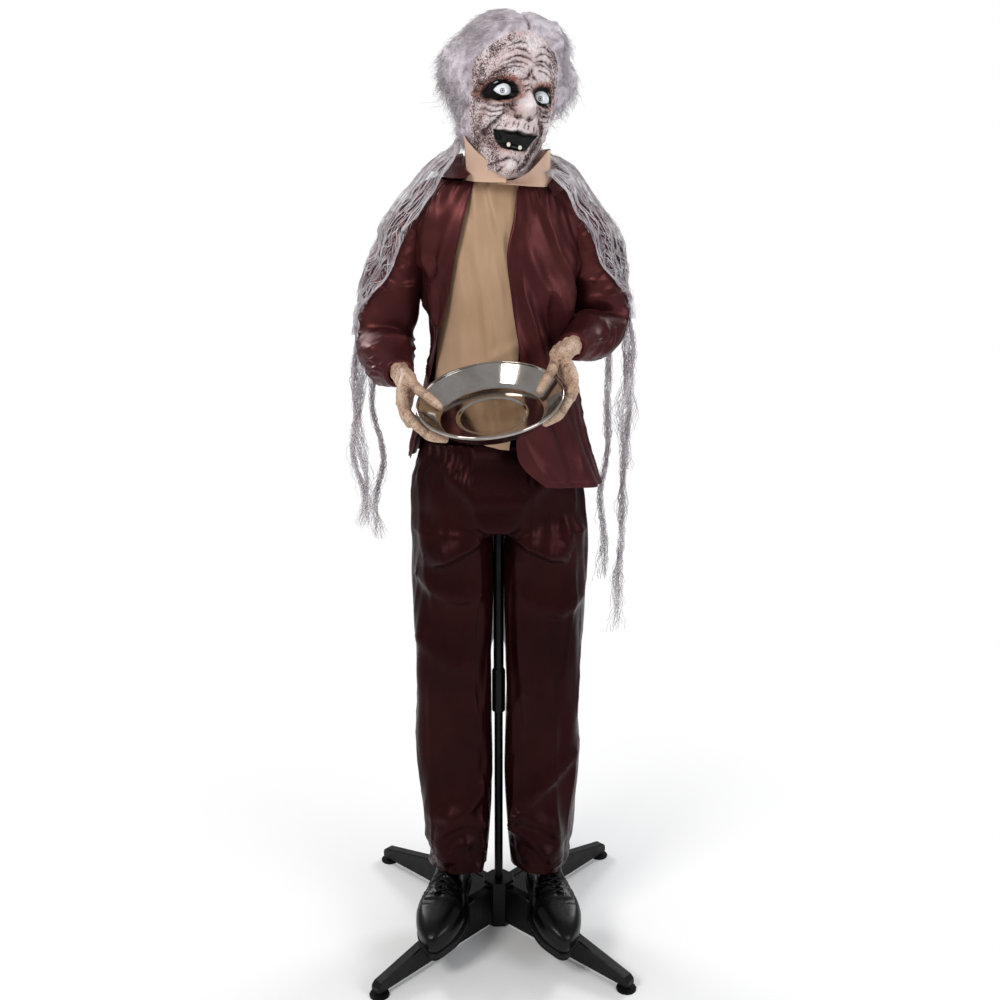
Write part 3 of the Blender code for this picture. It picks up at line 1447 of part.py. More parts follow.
def make_control_box(look):
    """A sound and battery box clamped behind the pole, with its door to the back."""
    half = BOX_WIDTH / 2
    front = POLE_UPPER_DIAMETER / 2 + 0.006
    back = front + BOX_DEPTH
    low, high = BOX_BOTTOM_Z, BOX_BOTTOM_Z + BOX_HEIGHT
    box = add_object(
        "control_box",
        box_mesh("control_box", (-half, front, low), (half, back, high)),
        look["black_plastic"],
    )
    soften(box, 0.003)
    clamp = cutter(
        "box_clamp",
        box_mesh("box_clamp", (-0.017, -0.016, low + 0.020), (0.017, front + 0.004, high - 0.020)),
    )
    combine(box, clamp, "UNION")
    pole = cutter(
        "box_pole_bore", rod_mesh("box_pole_bore", 0.3, POLE_UPPER_DIAMETER / 2 + FIT, 16)
    )
    pole.location = (0, 0, low - 0.1)
    combine(box, pole)

    pitch = CELL_DIAMETER + 0.0008
    bay_half = pitch * CELL_COUNT / 2 + 0.0006
    bay_low = low + 0.008
    bay_high = bay_low + CELL_LENGTH + 0.003
    bay_floor = back - DOOR_THICKNESS - CELL_DIAMETER - 0.002
    bay = cutter(
        "battery_bay",
        box_mesh("battery_bay", (-bay_half, bay_floor, bay_low), (bay_half, back + 0.01, bay_high)),
    )
    combine(box, bay)
    for cell in range(CELL_COUNT):
        x = pitch * (cell - (CELL_COUNT - 1) / 2)
        radius = CELL_DIAMETER / 2
        ends = (0, CELL_LENGTH - 0.0015)
        profile = [
            (0, ends[0]),
            (radius, ends[0]),
            (radius, ends[1]),
            (0.0027, ends[1]),
            (0.0027, CELL_LENGTH),
            (0, CELL_LENGTH),
        ]
        name = f"battery_{cell + 1}"
        battery = add_object(name, turned_mesh(name, profile, 12), look["steel"])
        battery.location = (x, bay_floor + radius + FIT, bay_low + 0.0008)

    door_low, door_high = bay_low + FIT, bay_high - FIT
    door_half = bay_half - FIT
    pin = DOOR_PIN_DIAMETER / 2
    hinge_y = back - DOOR_THICKNESS / 2
    hinge_z = door_low + pin
    door = add_object(
        "battery_door",
        box_mesh(
            "battery_door",
            (-door_half, back - DOOR_THICKNESS - hinge_y, pin + FIT),
            (door_half, back - hinge_y, door_high - hinge_z),
        ),
        look["black_plastic"],
    )
    door.location = (0, hinge_y, hinge_z)
    roll = cutter("door_roll", rod_mesh("door_roll", 2 * door_half, pin, 12))
    roll.matrix_world = facing((-door_half, hinge_y, hinge_z), (1, 0, 0), (0, 0, 1))
    combine(door, roll, "UNION")
    web = cutter(
        "door_web",
        box_mesh(
            "door_web",
            (-door_half + 0.002, hinge_y - 0.0008, hinge_z),
            (door_half - 0.002, hinge_y + 0.0008, hinge_z + pin + 0.002),
        ),
    )
    combine(door, web, "UNION")
    pin_hole = cutter(
        "door_pin_hole", rod_mesh("door_pin_hole", 0.2, 0.0010 + RUNNING, 12)
    )
    pin_hole.matrix_world = facing((-0.1, hinge_y, hinge_z), (1, 0, 0), (0, 0, 1))
    combine(door, pin_hole)
    box_hole = cutter(
        "box_pin_hole",
        rod_mesh("box_pin_hole", 2 * (door_half + 0.006) + 2 * FIT, 0.0010 + FIT, 12),
    )
    box_hole.matrix_world = facing(
        (-door_half - 0.006 - FIT, hinge_y, hinge_z), (1, 0, 0), (0, 0, 1)
    )
    combine(box, box_hole)
    hinge_pin = add_object(
        "door_pin", rod_mesh("door_pin", 2 * (door_half + 0.006), 0.0010, 12), look["steel"]
    )
    hinge_pin.matrix_world = facing(
        (-door_half - 0.006, hinge_y, hinge_z), (1, 0, 0), (0, 0, 1)
    )
    relief = cutter(
        "door_relief",
        box_mesh(
            "door_relief",
            (-bay_half, hinge_y - pin - FIT, bay_low - pin),
            (bay_half, back + 0.01, bay_low + 0.001),
        ),
    )
    combine(box, relief)

    speaker_z = bay_high + 0.004 + SPEAKER_DIAMETER / 2
    well = cutter(
        "speaker_well",
        rod_mesh("speaker_well", SPEAKER_HEIGHT + 0.01, SPEAKER_DIAMETER / 2 + FIT, 16),
    )
    well.matrix_world = facing((0, back - SPEAKER_HEIGHT, speaker_z), (0, 1, 0))
    combine(box, well)
    cone = SPEAKER_DIAMETER / 2
    profile = [
        (0, FIT),
        (cone * 0.6, FIT),
        (cone, SPEAKER_HEIGHT - 0.003),
        (cone, SPEAKER_HEIGHT - 0.0005),
        (cone - 0.003, SPEAKER_HEIGHT),
        (cone * 0.35, SPEAKER_HEIGHT - 0.005),
        (0, SPEAKER_HEIGHT - 0.0035),
    ]
    speaker = add_object("speaker", turned_mesh("speaker", profile, 16), look["black_metal"])
    speaker.matrix_world = well.matrix_world

    switch_y = (front + back) / 2
    slot_low = speaker_z - (SWITCH_LENGTH + SWITCH_TRAVEL) / 2
    slot = cutter(
        "switch_slot",
        box_mesh(
            "switch_slot",
            (half - 0.004, switch_y - SWITCH_WIDTH / 2 - FIT, slot_low - FIT),
            (
                half + 0.01,
                switch_y + SWITCH_WIDTH / 2 + FIT,
                slot_low + SWITCH_LENGTH + SWITCH_TRAVEL + FIT,
            ),
        ),
    )
    combine(box, slot)
    knob = add_object(
        "mode_switch",
        box_mesh(
            "mode_switch",
            (-0.0037, -SWITCH_WIDTH / 2, 0),
            (0.0018, SWITCH_WIDTH / 2, SWITCH_LENGTH),
        ),
        look["white_plastic"],
    )
    knob.location = (half, switch_y, slot_low)
    soften(knob, 0.0006)
    return box


# Jacket levels from the hem to the neck: height, X of the middle, half width, front and back
# depth, and X of the two front edges
JACKET_STATIONS = [
    (0.928, 0.010, 0.166, 0.096, 0.102, 0.040, -0.116),
    (0.990, 0.006, 0.148, 0.100, 0.103, 0.036, -0.110),
    (1.070, 0.002, 0.130, 0.104, 0.103, 0.032, -0.103),
    (1.150, 0.000, 0.120, 0.106, 0.098, 0.028, -0.096),
    (1.230, 0.000, 0.121, 0.102, 0.092, 0.018, -0.082),
    (1.310, 0.000, 0.136, 0.094, 0.084, 0.010, -0.064),
    (1.370, 0.000, 0.1465, 0.084, 0.077, 0.018, -0.048),
    (1.405, 0.000, 0.1355, 0.075, 0.072, 0.022, -0.040),
    (1.422, 0.000, 0.1215, 0.071, 0.069, 0.026, -0.036),
    (1.432, 0.000, 0.1080, 0.069, 0.067, 0.030, -0.034),
]
JACKET_HEM_SLOPE = 0.14
FOLD_COUNT = 7
FOLD_DEPTH = 0.006


def jacket_grid(rows, columns, grow):
    """Rings of the jacket, open at the front, with soft upright folds towards the hem."""
    shares = np.linspace(0, 1, rows)
    stations = through(JACKET_STATIONS, shares)
    grid = []
    for share, (z, middle, wide, front, back, right, left) in zip(shares, stations):
        start = -math.acos(np.clip((right - middle) / wide, -1, 1))
        end = math.tau - math.acos(np.clip((left - middle) / wide, -1, 1))
        angles = np.linspace(start, end, columns)
        loose = (1 - share) ** 1.3
        fold = FOLD_DEPTH * loose * (0.3 + np.cos(FOLD_COUNT * 2 * angles + 0.7))
        fold += FOLD_DEPTH / 2 * loose * np.cos(FOLD_COUNT * angles + 2.0)
        x, y = oval(angles, wide, front, back, 2.3)
        scale = 1 + (grow + fold) / np.maximum(np.hypot(x, y), 1e-6)
        height = z - JACKET_HEM_SLOPE * (x + middle) * (1 - share) ** 2
        lowered = smoothstep(-np.sin(angles), 0.3, 0.9) * smoothstep(share, 0.6, 1.0)
        height = height - JACKET_NECK_DROP * lowered
        grid.append(np.stack([x * scale + middle, y * scale, height], axis=1))
    return np.array(grid)


def in_jacket(points, grow):
    """Whether each point lies inside the closed shape of the jacket, grown by this much."""
    shares = np.linspace(0, 1, 121)
    table = through(JACKET_STATIONS, shares)
    z = points[..., 2]
    share = np.interp(z, table[:, 0], shares)
    rows = through(JACKET_STATIONS, share)
    grow = grow + 1.8 * FOLD_DEPTH * (1 - share) ** 1.3
    middle, wide, front, back = (rows[..., k] for k in range(1, 5))
    depth = np.where(points[..., 1] < 0, front, back) + grow
    across = np.abs(points[..., 0] - middle) / (wide + grow)
    value = across**2.3 + (np.abs(points[..., 1]) / depth) ** 2.3
    return (value < 1) & (z < table[-1, 0] + grow)


def make_jacket(look):
    """The jacket's body: its cells round each end of the shoulder bar are left out."""
    outer = jacket_grid(12, 30, 0.0)
    inner = jacket_grid(12, 30, -CLOTH_THICKNESS)
    middle = (outer[:-1] + outer[1:]) / 2
    middle = (middle[:, :-1] + middle[:, 1:]) / 2
    level = np.abs(middle[..., 2] - SHOULDER_BAR_Z) < ARMHOLE / 2
    beside = (np.abs(middle[..., 0]) > 0.09) & (np.abs(middle[..., 1]) < ARMHOLE / 2)
    mesh = walled_mesh("jacket_body", outer, inner, wrap=False, keep=~(level & beside))
    return add_object("jacket_body", mesh, look["jacket_satin"])


def sleeve_spine(side, shares):
    """Points on the sleeve's middle line, its half sizes, and its directions at each."""
    arm = ARMS[side]
    path = through(arm["sleeve"], shares)
    sizes = through(SLEEVE_SIZES, shares)
    heading = np.gradient(path, axis=0)
    step = np.linalg.norm(heading, axis=1, keepdims=True)
    heading /= step
    bend = np.gradient(heading, axis=0) / step
    side_way = np.array([arm["sign"], 0.0, 0.0])
    across = side_way - heading * (heading @ side_way)[:, None]
    across /= np.linalg.norm(across, axis=1, keepdims=True)
    upright = np.cross(heading, across)
    return path, sizes, across, upright, bend


def sleeve_rings(side, shares, angles, grow):
    """Rings along the arm: puffed cloth with slanting creases, gathered at the cuff."""
    path, sizes, across, upright, bend = sleeve_spine(side, shares)
    rings = []
    for place, share in enumerate(shares):
        crease = 0.004 * math.sin(math.pi * share) * np.cos(3 * angles + 16 * share)
        offset = (
            across[place] * (np.cos(angles) * (sizes[place][0] + crease))[:, None]
            + upright[place] * (np.sin(angles) * (sizes[place][1] + crease))[:, None]
        )
        # The cloth hangs in a bag under the elbow
        hang = 1 + ARMS[side]["sag"] * math.exp(-(((share - 0.70) / 0.20) ** 2))
        offset[:, 2] *= np.where(offset[:, 2] < 0, hang, 1.0)
        reach = np.linalg.norm(offset, axis=1, keepdims=True)
        # Inside a bend the cloth stops short of the next ring
        crowding = np.maximum(offset @ bend[place], 0)[:, None] / SLEEVE_BEND_SHARE
        limited = reach / (1 + crowding**4) ** 0.25
        rings.append(path[place] + offset / reach * (limited + grow))
    return np.array(rings)


def leaving_places(dense, gap):
    """The row, for each column of a dense grid, at which it leaves the jacket by this gap."""
    steps = len(dense) - 1
    inside = in_jacket(dense, gap)
    inside[int(SLEEVE_LEAVES_SHARE * steps) :] = False
    places = []
    for j in range(dense.shape[1]):
        last = np.flatnonzero(inside[:, j])
        place = float(last[-1]) if len(last) else 0.0
        if 0 < place < steps:
            low = dense[int(place), j]
            high = dense[int(place) + 1, j]
            tries = low + np.linspace(0, 1, 41)[:, None] * (high - low)
            out = np.flatnonzero(~in_jacket(tries, gap))
            place += out[0] / 40 if len(out) else 1.0
        places.append(place)
    return np.array(places)


def resampled(dense, places):
    """The dense grid's columns at places of their own (rows, columns)."""
    rows = np.arange(len(dense))
    grid = np.empty(places.shape + (3,))
    for j in range(places.shape[1]):
        for k in range(3):
            grid[:, j, k] = np.interp(places[:, j], rows, dense[:, j, k])
    return grid


def make_sleeve(side, look):
    """A sleeve that starts just outside the jacket's side and keeps clear of it lower down."""
    name = f"jacket_sleeve_{side}"
    shares = np.linspace(0, 1, 61)
    angles = np.linspace(0, math.tau, 14, endpoint=False)
    outer = sleeve_rings(side, shares, angles, 0.0)
    inner = sleeve_rings(side, shares, angles, -CLOTH_THICKNESS)
    gaps = (SLEEVE_SEAM_GAP, SLEEVE_SEAM_GAP + CLOTH_THICKNESS)
    first = leaving_places(outer, gaps[0])
    later = np.maximum(leaving_places(inner, gaps[1]) - first, 0)
    even = np.linspace(0, 1, 11)[:, None]
    places = first + (len(shares) - 1 - first) * even
    grids = [resampled(outer, places), resampled(inner, places + later * (1 - even) ** 3)]
    for grid, gap in zip(grids, gaps):
        for _ in range(60):
            grid[in_jacket(grid, gap), 0] += ARMS[side]["sign"] * 0.0005
    mesh = walled_mesh(name, grids[0], grids[1], wrap=True)
    return add_object(name, mesh, look["jacket_satin"])


# Shirt levels from the tail to the neck: height, X of the middle, half width
SHIRT_STATIONS = [
    (0.985, -0.040, 0.058),
    (1.060, -0.042, 0.068),
    (1.150, -0.036, 0.070),
    (1.240, -0.030, 0.066),
    (1.310, -0.026, 0.060),
    (1.370, -0.012, 0.052),
    (1.390, -0.006, 0.049),
    (SHIRT_TOP_Z, 0.000, 0.046),
]


def jacket_row(z):
    """The jacket's middle, half width and front depth at a height."""
    table = through(JACKET_STATIONS, np.linspace(0, 1, 121))
    return [float(np.interp(z, table[:, 0], table[:, k])) for k in (1, 2, 3)]


def make_shirt(look):
    """A satin front just inside the jacket, with long soft folds and a loose tail."""
    rows, columns = 10, 11
    shares = np.linspace(0, 1, rows)
    stations = through(SHIRT_STATIONS, shares)
    across = np.linspace(-1, 1, columns)
    grid = []
    for share, (z, middle, wide) in zip(shares, stations):
        jacket_middle, jacket_wide, jacket_front = jacket_row(z)
        inset = CLOTH_THICKNESS + 0.0030 + 0.004 * (1 - share)
        x = middle + across * wide
        flat = np.abs((x - jacket_middle) / (jacket_wide - inset)) ** 2.3
        y = -(jacket_front - inset) * (1 - np.minimum(flat, 0.9)) ** (1 / 2.3)
        fold = 0.0025 * (1 - share) * np.cos(across * 9 + share * 3)
        tail = -0.040 * (1 - share) ** 3 * smoothstep(across, -0.6, 0.75)
        grid.append(np.stack([x, y + fold, z + tail], axis=1))
    outer = np.array(grid)
    inner = outer + np.array([0, SHIRT_THICKNESS, 0])
    mesh = walled_mesh("shirt_front", outer, inner, wrap=False)
    return add_object("shirt_front", mesh, look["shirt_satin"])


# The shirt collar from the neck outwards: radius and height at angles round the neck from the
# front, counterclockwise seen from above
COLLAR_ANGLES = (-90, -60, -30, 0, 45, 90, 135, 180, 210, 240, 270)
COLLAR_RADII = (
    (0.0625, 0.0625, 0.0625, 0.0620, 0.0610, 0.0610, 0.0610, 0.0620, 0.0625, 0.0625, 0.0625),
    (0.0740, 0.0740, 0.0740, 0.0700, 0.0680, 0.0680, 0.0680, 0.0700, 0.0740, 0.0740, 0.0740),
    (0.0980, 0.0990, 0.0960, 0.0880, 0.0800, 0.0780, 0.0800, 0.0880, 0.0980, 0.0990, 0.0980),
)
COLLAR_HEIGHTS = (
    (1.4218, 1.4228, 1.4338, 1.4548, 1.4688, 1.4728, 1.4688, 1.4308, 1.4248, 1.4228, 1.4218),
    (1.4178, 1.4193, 1.4328, 1.4488, 1.4608, 1.4648, 1.4588, 1.4388, 1.4308, 1.4203, 1.4178),
    (1.4018, 1.4028, 1.4238, 1.4388, 1.4408, 1.4418, 1.4408, 1.4388, 1.4258, 1.4068, 1.4018),
)


def make_collar(look):
    """The shirt's pointed collar, low in front of the jaw and standing at the nape."""
    turns = np.linspace(-86, 266, 25)
    grid = []
    for radii, heights in zip(COLLAR_RADII, COLLAR_HEIGHTS):
        radius = np.interp(turns, COLLAR_ANGLES, radii)
        height = np.interp(turns, COLLAR_ANGLES, heights)
        angle = np.radians(turns)
        grid.append(np.stack([radius * np.cos(angle), radius * np.sin(angle), height], axis=1))
    outer = np.array(grid)
    inner = outer - np.array([0, 0, SHIRT_THICKNESS])
    mesh = walled_mesh("shirt_collar", outer, inner, wrap=False)
    return add_object("shirt_collar", mesh, look["shirt_satin"])


# Trouser levels: height, outer X, inner X, front depth and back depth
TROUSER_STATIONS = [
    (CUFF_Z, 0.143, 0.018, 0.090, 0.060),
    (0.215, 0.146, 0.017, 0.076, 0.055),
    (0.330, 0.149, 0.016, 0.060, 0.051),
    (0.450, 0.151, 0.0148, 0.056, 0.050),
    (0.570, 0.153, 0.0142, 0.057, 0.052),
    (0.690, 0.155, 0.0125, 0.060, 0.056),
    (CROTCH_Z, 0.156, 0.0115, 0.067, 0.066),
]
# Seat levels above the crotch: height, half width, front depth and back depth
SEAT_STATIONS = [
    (CROTCH_Z, 0.156, 0.067, 0.066),
    (0.850, 0.155, 0.073, 0.073),
    (0.900, 0.152, 0.074, 0.074),
    (TROUSER_WAIST_Z, 0.132, 0.070, 0.070),
]
LEG_COLUMNS = 14
# The columns of a leg's ring that face the other leg, from its back to its front
INSEAM = (5, 9)


def trouser_leg_rings(rows):
    """The left leg from the cuff to the crotch, its rings counterclockwise from above."""
    shares = np.linspace(0, 1, rows)
    stations = through(TROUSER_STATIONS, shares)
    angles = np.linspace(0, math.tau, LEG_COLUMNS, endpoint=False)
    rings = []
    for share, (z, outside, inside, front, back) in zip(shares, stations):
        x, y = oval(angles, (outside - inside) / 2, front, back, 2.6)
        fold = 0.003 * np.cos(5 * angles + 6 * share) * math.sin(math.pi * share) ** 0.5
        fold = fold * smoothstep(np.cos(angles), -0.95, -0.3)
        scale = 1 + fold / np.hypot(x, y)
        # The hem rises over the boot at the front
        lift = CUFF_FRONT_RISE * (1 - smoothstep(share, 0.0, 0.18))
        height = z + lift * smoothstep(-y / front, -0.6, 0.8)
        rings.append(np.stack([x * scale + (outside + inside) / 2, y * scale, height], axis=1))
    return np.array(rings)


def seat_half_width(z):
    table = through(SEAT_STATIONS, np.linspace(0, 1, 61))
    return float(np.interp(z, table[:, 0], table[:, 1]))


def seat_rings(start, rows):
    """Rings from the crotch's ring of points up to the waist, turning into one oval."""
    turn = np.arctan2(start[:, 1], start[:, 0])
    rings = []
    for share in np.linspace(0, 1, rows + 1)[1:]:
        z, wide, front, back = through(SEAT_STATIONS, share)
        depth = np.where(np.sin(turn) < 0, front, back)
        reach = (np.abs(np.cos(turn) / wide) ** 2.4 + np.abs(np.sin(turn) / depth) ** 2.4) ** (-1 / 2.4)
        target = np.stack([reach * np.cos(turn), reach * np.sin(turn)], axis=1)
        blend = smoothstep(share, 0.0, 0.45)
        ring = np.full_like(start, z)
        ring[:, :2] = start[:, :2] * (1 - blend) + target * blend
        rings.append(ring)
    return rings


def make_trousers(look):
    """Two legs and a seat in one cloth wall, open at the waist, both cuffs and round the pole."""
    legs = trouser_leg_rings(11)
    mirrored = legs[:, ::-1] * np.array([-1.0, 1.0, 1.0])
    rows = len(legs)
    top = (rows - 1) * LEG_COLUMNS
    other = rows * LEG_COLUMNS
    cells = grid_faces(rows, LEG_COLUMNS, wrap=True)
    cells += grid_faces(rows, LEG_COLUMNS, wrap=True, start=other)
    back, front = INSEAM

    def across(column):
        return other + top + LEG_COLUMNS - 1 - column

    middle = (back + front) / 2
    for column in range(back, front):
        if abs(column + 0.5 - middle) > 1:
            cells.append((top + column, top + column + 1, across(column + 1), across(column)))
    outside = [k % LEG_COLUMNS for k in range(front, LEG_COLUMNS + back + 1)]
    ring = [top + k for k in outside] + [across(k) for k in reversed(outside)]
    points = np.concatenate([legs.reshape(-1, 3), mirrored.reshape(-1, 3)])
    seat = seat_rings(points[ring], 5)
    for level in seat:
        start = len(points)
        points = np.concatenate([points, level])
        above = list(range(start, start + len(ring)))
        for k in range(len(ring)):
            n = (k + 1) % len(ring)
            cells.append((ring[k], ring[n], above[n], above[k]))
        ring = above
    inner = behind(points, cells, CLOTH_THICKNESS)
    return add_object("trousers", wall_of("trousers", points, inner, cells), look["trouser_satin"])


def make_wig(look, head_axis):
    """A hair piece on the mask: thin over the crown, fluffed out over the ears."""
    rows, columns = MASK_GRID
    inner, angles = head_rings(rows, columns, WIG_GAP, WIG_GAP, relief=True)
    frame = head_frame()
    local = apply(frame.inverted(), inner.reshape(-1, 3)).reshape(inner.shape)
    x, y, z = (local[..., k] for k in range(3))
    beside = np.abs(x) / np.maximum(np.hypot(x, y), 1e-6)
    tuft = WIG_TUFT * beside**3 * np.exp(-(((z - 0.030) / 0.060) ** 2))
    lumps = 0.004 * np.sin(5 * angles[None, :] + 70 * z) * beside
    thick = WIG_THICKNESS + tuft + lumps
    thick = thick * (0.35 + 0.65 * smoothstep(z, -0.085, -0.030))
    away = np.stack([x, y, 0.9 * z], axis=2)
    away /= np.linalg.norm(away, axis=2, keepdims=True)
    outer = apply(frame, (local + away * thick[..., None]).reshape(-1, 3)).reshape(inner.shape)
    middle = (local[:-1] + local[1:]) / 2
    middle = (middle + np.roll(middle, -1, axis=1)) / 2
    ahead = middle[..., 1] < -0.020
    brow = (middle[..., 0] / 0.066) ** 2 + ((middle[..., 2] - 0.010) / 0.086) ** 2 < 1
    keep = (middle[..., 2] > WIG_HEM) & ~(ahead & brow) & ~(ahead & (middle[..., 2] < 0.0))
    mesh = walled_mesh("wig", outer, inner, wrap=True, keep=keep, cap_first=True)
    return add_object("wig", mesh, look["hair"], head_axis)


# Each cloth is torn into three strips: how far each hangs, as heights of its end
GAUZE_ENDS = {"right": (0.817, 0.814, 0.779), "left": (0.930, 0.605, 0.700)}
GAUZE_NECK_X = 0.096
GAUZE_LEAVES_SHARE = 0.62


def make_gauze(side, look):
    """A torn cloth laid from the neck along the sleeve, its end hanging in strips."""
    sign = ARMS[side]["sign"]
    laid_rows, hung_rows, columns = 10, 9, 9
    shares = np.linspace(0, GAUZE_LEAVES_SHARE, laid_rows)
    path, sizes, across, _, _ = sleeve_spine(side, shares)
    start = np.array([sign * GAUZE_NECK_X, 0.0, SHOULDER_BAR_Z])
    pull = (1 - smoothstep(shares, 0, 0.2))[:, None]
    path = path * (1 - pull) + start * pull
    turns = np.linspace(-1, 1, columns)
    reaches = np.linspace(0, 0.16, 321)
    laid = []
    for place in range(laid_rows):
        tall = sizes[place].max() + 0.004
        row = []
        # Down the arm the cloth slips back, clear of the forearm
        slip = smoothstep(shares[place], 0.3, 0.55)
        for angle in np.radians(80 * turns * (1 - 0.3 * slip) + 28 * slip):
            way = across[place] * math.cos(angle)
            way = way + np.array([0.0, 1.0, 0.0]) * math.sin(angle)
            way /= np.linalg.norm(way)
            tries = path[place] + reaches[:, None] * way
            inside = np.flatnonzero(in_jacket(tries, 0.0))
            reach = reaches[inside[-1]] if len(inside) else 0.0
            reach = max(reach, tall if place > 1 else 0.0)
            row.append(path[place] + way * (reach + GAUZE_LIFT))
        laid.append(row)
    laid = np.array(laid)
    fall = np.linspace(0, 1, hung_rows + 1)[1:]
    hung = []
    for share in fall:
        row = laid[-1].copy()
        low = min(GAUZE_ENDS[side])
        row[:, 2] = laid[-1][:, 2] * (1 - share) + low * share
        squeeze = 1 - 0.35 * share
        centre = row[columns // 2].copy()
        row[:, :2] = centre[:2] + (row[:, :2] - centre[:2]) * squeeze
        row[:, 0] += sign * (0.006 + 0.003 * np.sin(7 * share + np.arange(columns)))
        hung.append(row)
    outer = np.concatenate([laid, np.array(hung)])
    outward = np.zeros_like(outer)
    for i in range(len(outer)):
        place = min(i, laid_rows - 1)
        outward[i] = outer[place] - path[place]
    outward /= np.linalg.norm(outward, axis=2, keepdims=True)
    inner = outer - outward * GAUZE_THICKNESS
    rows = len(outer)
    keep = np.ones((rows - 1, columns - 1), bool)
    torn_from = laid_rows + 1
    keep[torn_from:, 2] = False
    keep[torn_from:, 5] = False
    for strip, end in zip(((0, 2), (3, 5), (6, 8)), GAUZE_ENDS[side]):
        heights = outer[:, (strip[0] + strip[1]) // 2, 2]
        first_below = int(np.searchsorted(-heights, -end))
        keep[min(first_below, rows - 1) :, strip[0] : strip[1]] = False
    name = f"gauze_{side}"
    mesh = walled_mesh(name, outer, inner, wrap=False, keep=keep)
    return add_object(name, mesh, look["gauze"])


def main():
    clear_scene()
    look = finishes()
    head_axis = add_empty("head_turn_axis", Matrix.Identity(4))
    pinion_axis = add_empty("pinion_axis", Matrix.Translation((0, gear_distance(), 0)))
    make_hub(look)
    for index, name in enumerate(("back_left", "back_right", "front_right", "front_left")):
        make_stand_leg(index, f"stand_leg_{name}", look)
        make_pad(index, f"foot_pad_{name}", look)
    make_pole(look)
    roof = make_hip_frame(look)
    for side, sign in (("right", -1), ("left", 1)):
        make_leg_tube(side, sign, roof, look)
        make_boot(side, sign, look)
    make_torso_shells(look)
    make_spine_block(look)
    make_neck_drive(look, head_axis, pinion_axis)
    make_mask(look, head_axis)
    make_skull(look, head_axis)
    make_eyes(look, head_axis)
    make_teeth(look, head_axis)
    make_dish_room()
    make_dish(look)
    make_shoulder_bar(look)
    for side in ("right", "left"):
        make_arm(side, look)
    make_control_box(look)
    make_shirt(look)
    make_jacket(look)
    make_collar(look)
    make_trousers(look)
    make_wig(look, head_axis)
    for side in ("right", "left"):
        make_sleeve(side, look)
        make_gauze(side, look)


main()
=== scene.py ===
"""Looks of a life-size halloween figure: a ghoulish old butler who holds a steel dish.

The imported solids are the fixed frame, in metres, +Z up, with the figure facing -Y.
Each operator dresses one piece, or one group of like pieces.
"""

import math

import bmesh
import bpy
import numpy as np
from bpy.props import FloatProperty, FloatVectorProperty, IntProperty, PointerProperty
from bpy.types import Operator, Panel, PropertyGroup
from mathutils import Matrix, Vector
from mathutils.bvhtree import BVHTree


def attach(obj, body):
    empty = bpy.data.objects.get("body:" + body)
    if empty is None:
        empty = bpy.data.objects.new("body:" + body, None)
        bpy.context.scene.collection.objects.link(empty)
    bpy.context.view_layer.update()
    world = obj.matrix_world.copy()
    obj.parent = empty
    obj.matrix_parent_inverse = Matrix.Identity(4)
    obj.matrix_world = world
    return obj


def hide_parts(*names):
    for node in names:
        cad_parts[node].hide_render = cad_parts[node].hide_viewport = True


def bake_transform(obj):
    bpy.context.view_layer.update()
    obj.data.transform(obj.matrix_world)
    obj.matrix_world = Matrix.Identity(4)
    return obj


bl_info = {
    "name": "Halloween Butler Figure",
    "version": (1, 0, 0),
    "blender": (4, 5, 0),
    "location": "View3D > Sidebar > Figure",
    "description": "Dresses the figure's solids: mask, hair, clothes, gauze, hands, dish and boots",
    "category": "Object",
}

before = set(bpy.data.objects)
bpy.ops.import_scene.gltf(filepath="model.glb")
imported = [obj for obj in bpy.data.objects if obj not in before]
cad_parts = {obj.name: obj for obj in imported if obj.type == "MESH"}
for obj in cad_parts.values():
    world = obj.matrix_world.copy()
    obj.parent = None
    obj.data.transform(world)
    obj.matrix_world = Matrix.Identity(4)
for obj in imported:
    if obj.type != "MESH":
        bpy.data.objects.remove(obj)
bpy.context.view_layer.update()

# The head's own frame: place and turns of the mask
HEAD_CENTRE = (0.016, -0.030, 1.560)
HEAD_YAW_DEG = 23.0
HEAD_PITCH_DEG = 11.0
HEAD_ROLL_DEG = 10.0
EYE_SPACING = 0.067
EYE_HEIGHT = 0.010
EYE_DEPTH = -0.058
EYE_RADIUS = 0.017
# The features sit this far below the eyes' place on the plain mask, on a middle line that leans
FACE_DROP = 0.021
FACE_SHIFT = -0.006
FACE_LEAN = 0.127
CHIN_DROP = 0.017
NECK_SKIRT_RADIUS = 0.047
NECK_SKIRT_BOTTOM_Z = 1.422
NECK_ROWS = 18
NAPE_RISE = 0.048
TUFT_DEPTH = 0.034
PARTING_X = -0.004
HEAD_OVAL_POWER = 2.15
# How far the mask's columns crowd towards the face
FACE_CROWDING = 0.42

# Head levels in its own frame: height, half width, depth in front, depth behind, middle's Y
HEAD_STATIONS = [
    (0.1265, 0.001, 0.001, 0.001, 0.004),
    (0.126, 0.010, 0.010, 0.010, 0.004),
    (0.123, 0.030, 0.030, 0.034, 0.004),
    (0.113, 0.050, 0.052, 0.058, 0.004),
    (0.094, 0.065, 0.070, 0.078, 0.004),
    (0.068, 0.0735, 0.081, 0.089, 0.004),
    (0.038, 0.0755, 0.085, 0.092, 0.003),
    (0.008, 0.0740, 0.086, 0.088, 0.002),
    (-0.022, 0.0705, 0.086, 0.086, 0.000),
    (-0.050, 0.0660, 0.086, 0.087, 0.000),
    (-0.078, 0.0600, 0.085, 0.090, 0.000),
    (-0.106, 0.0510, 0.080, 0.094, 0.000),
    (-0.124, 0.0420, 0.071, 0.096, 0.000),
]

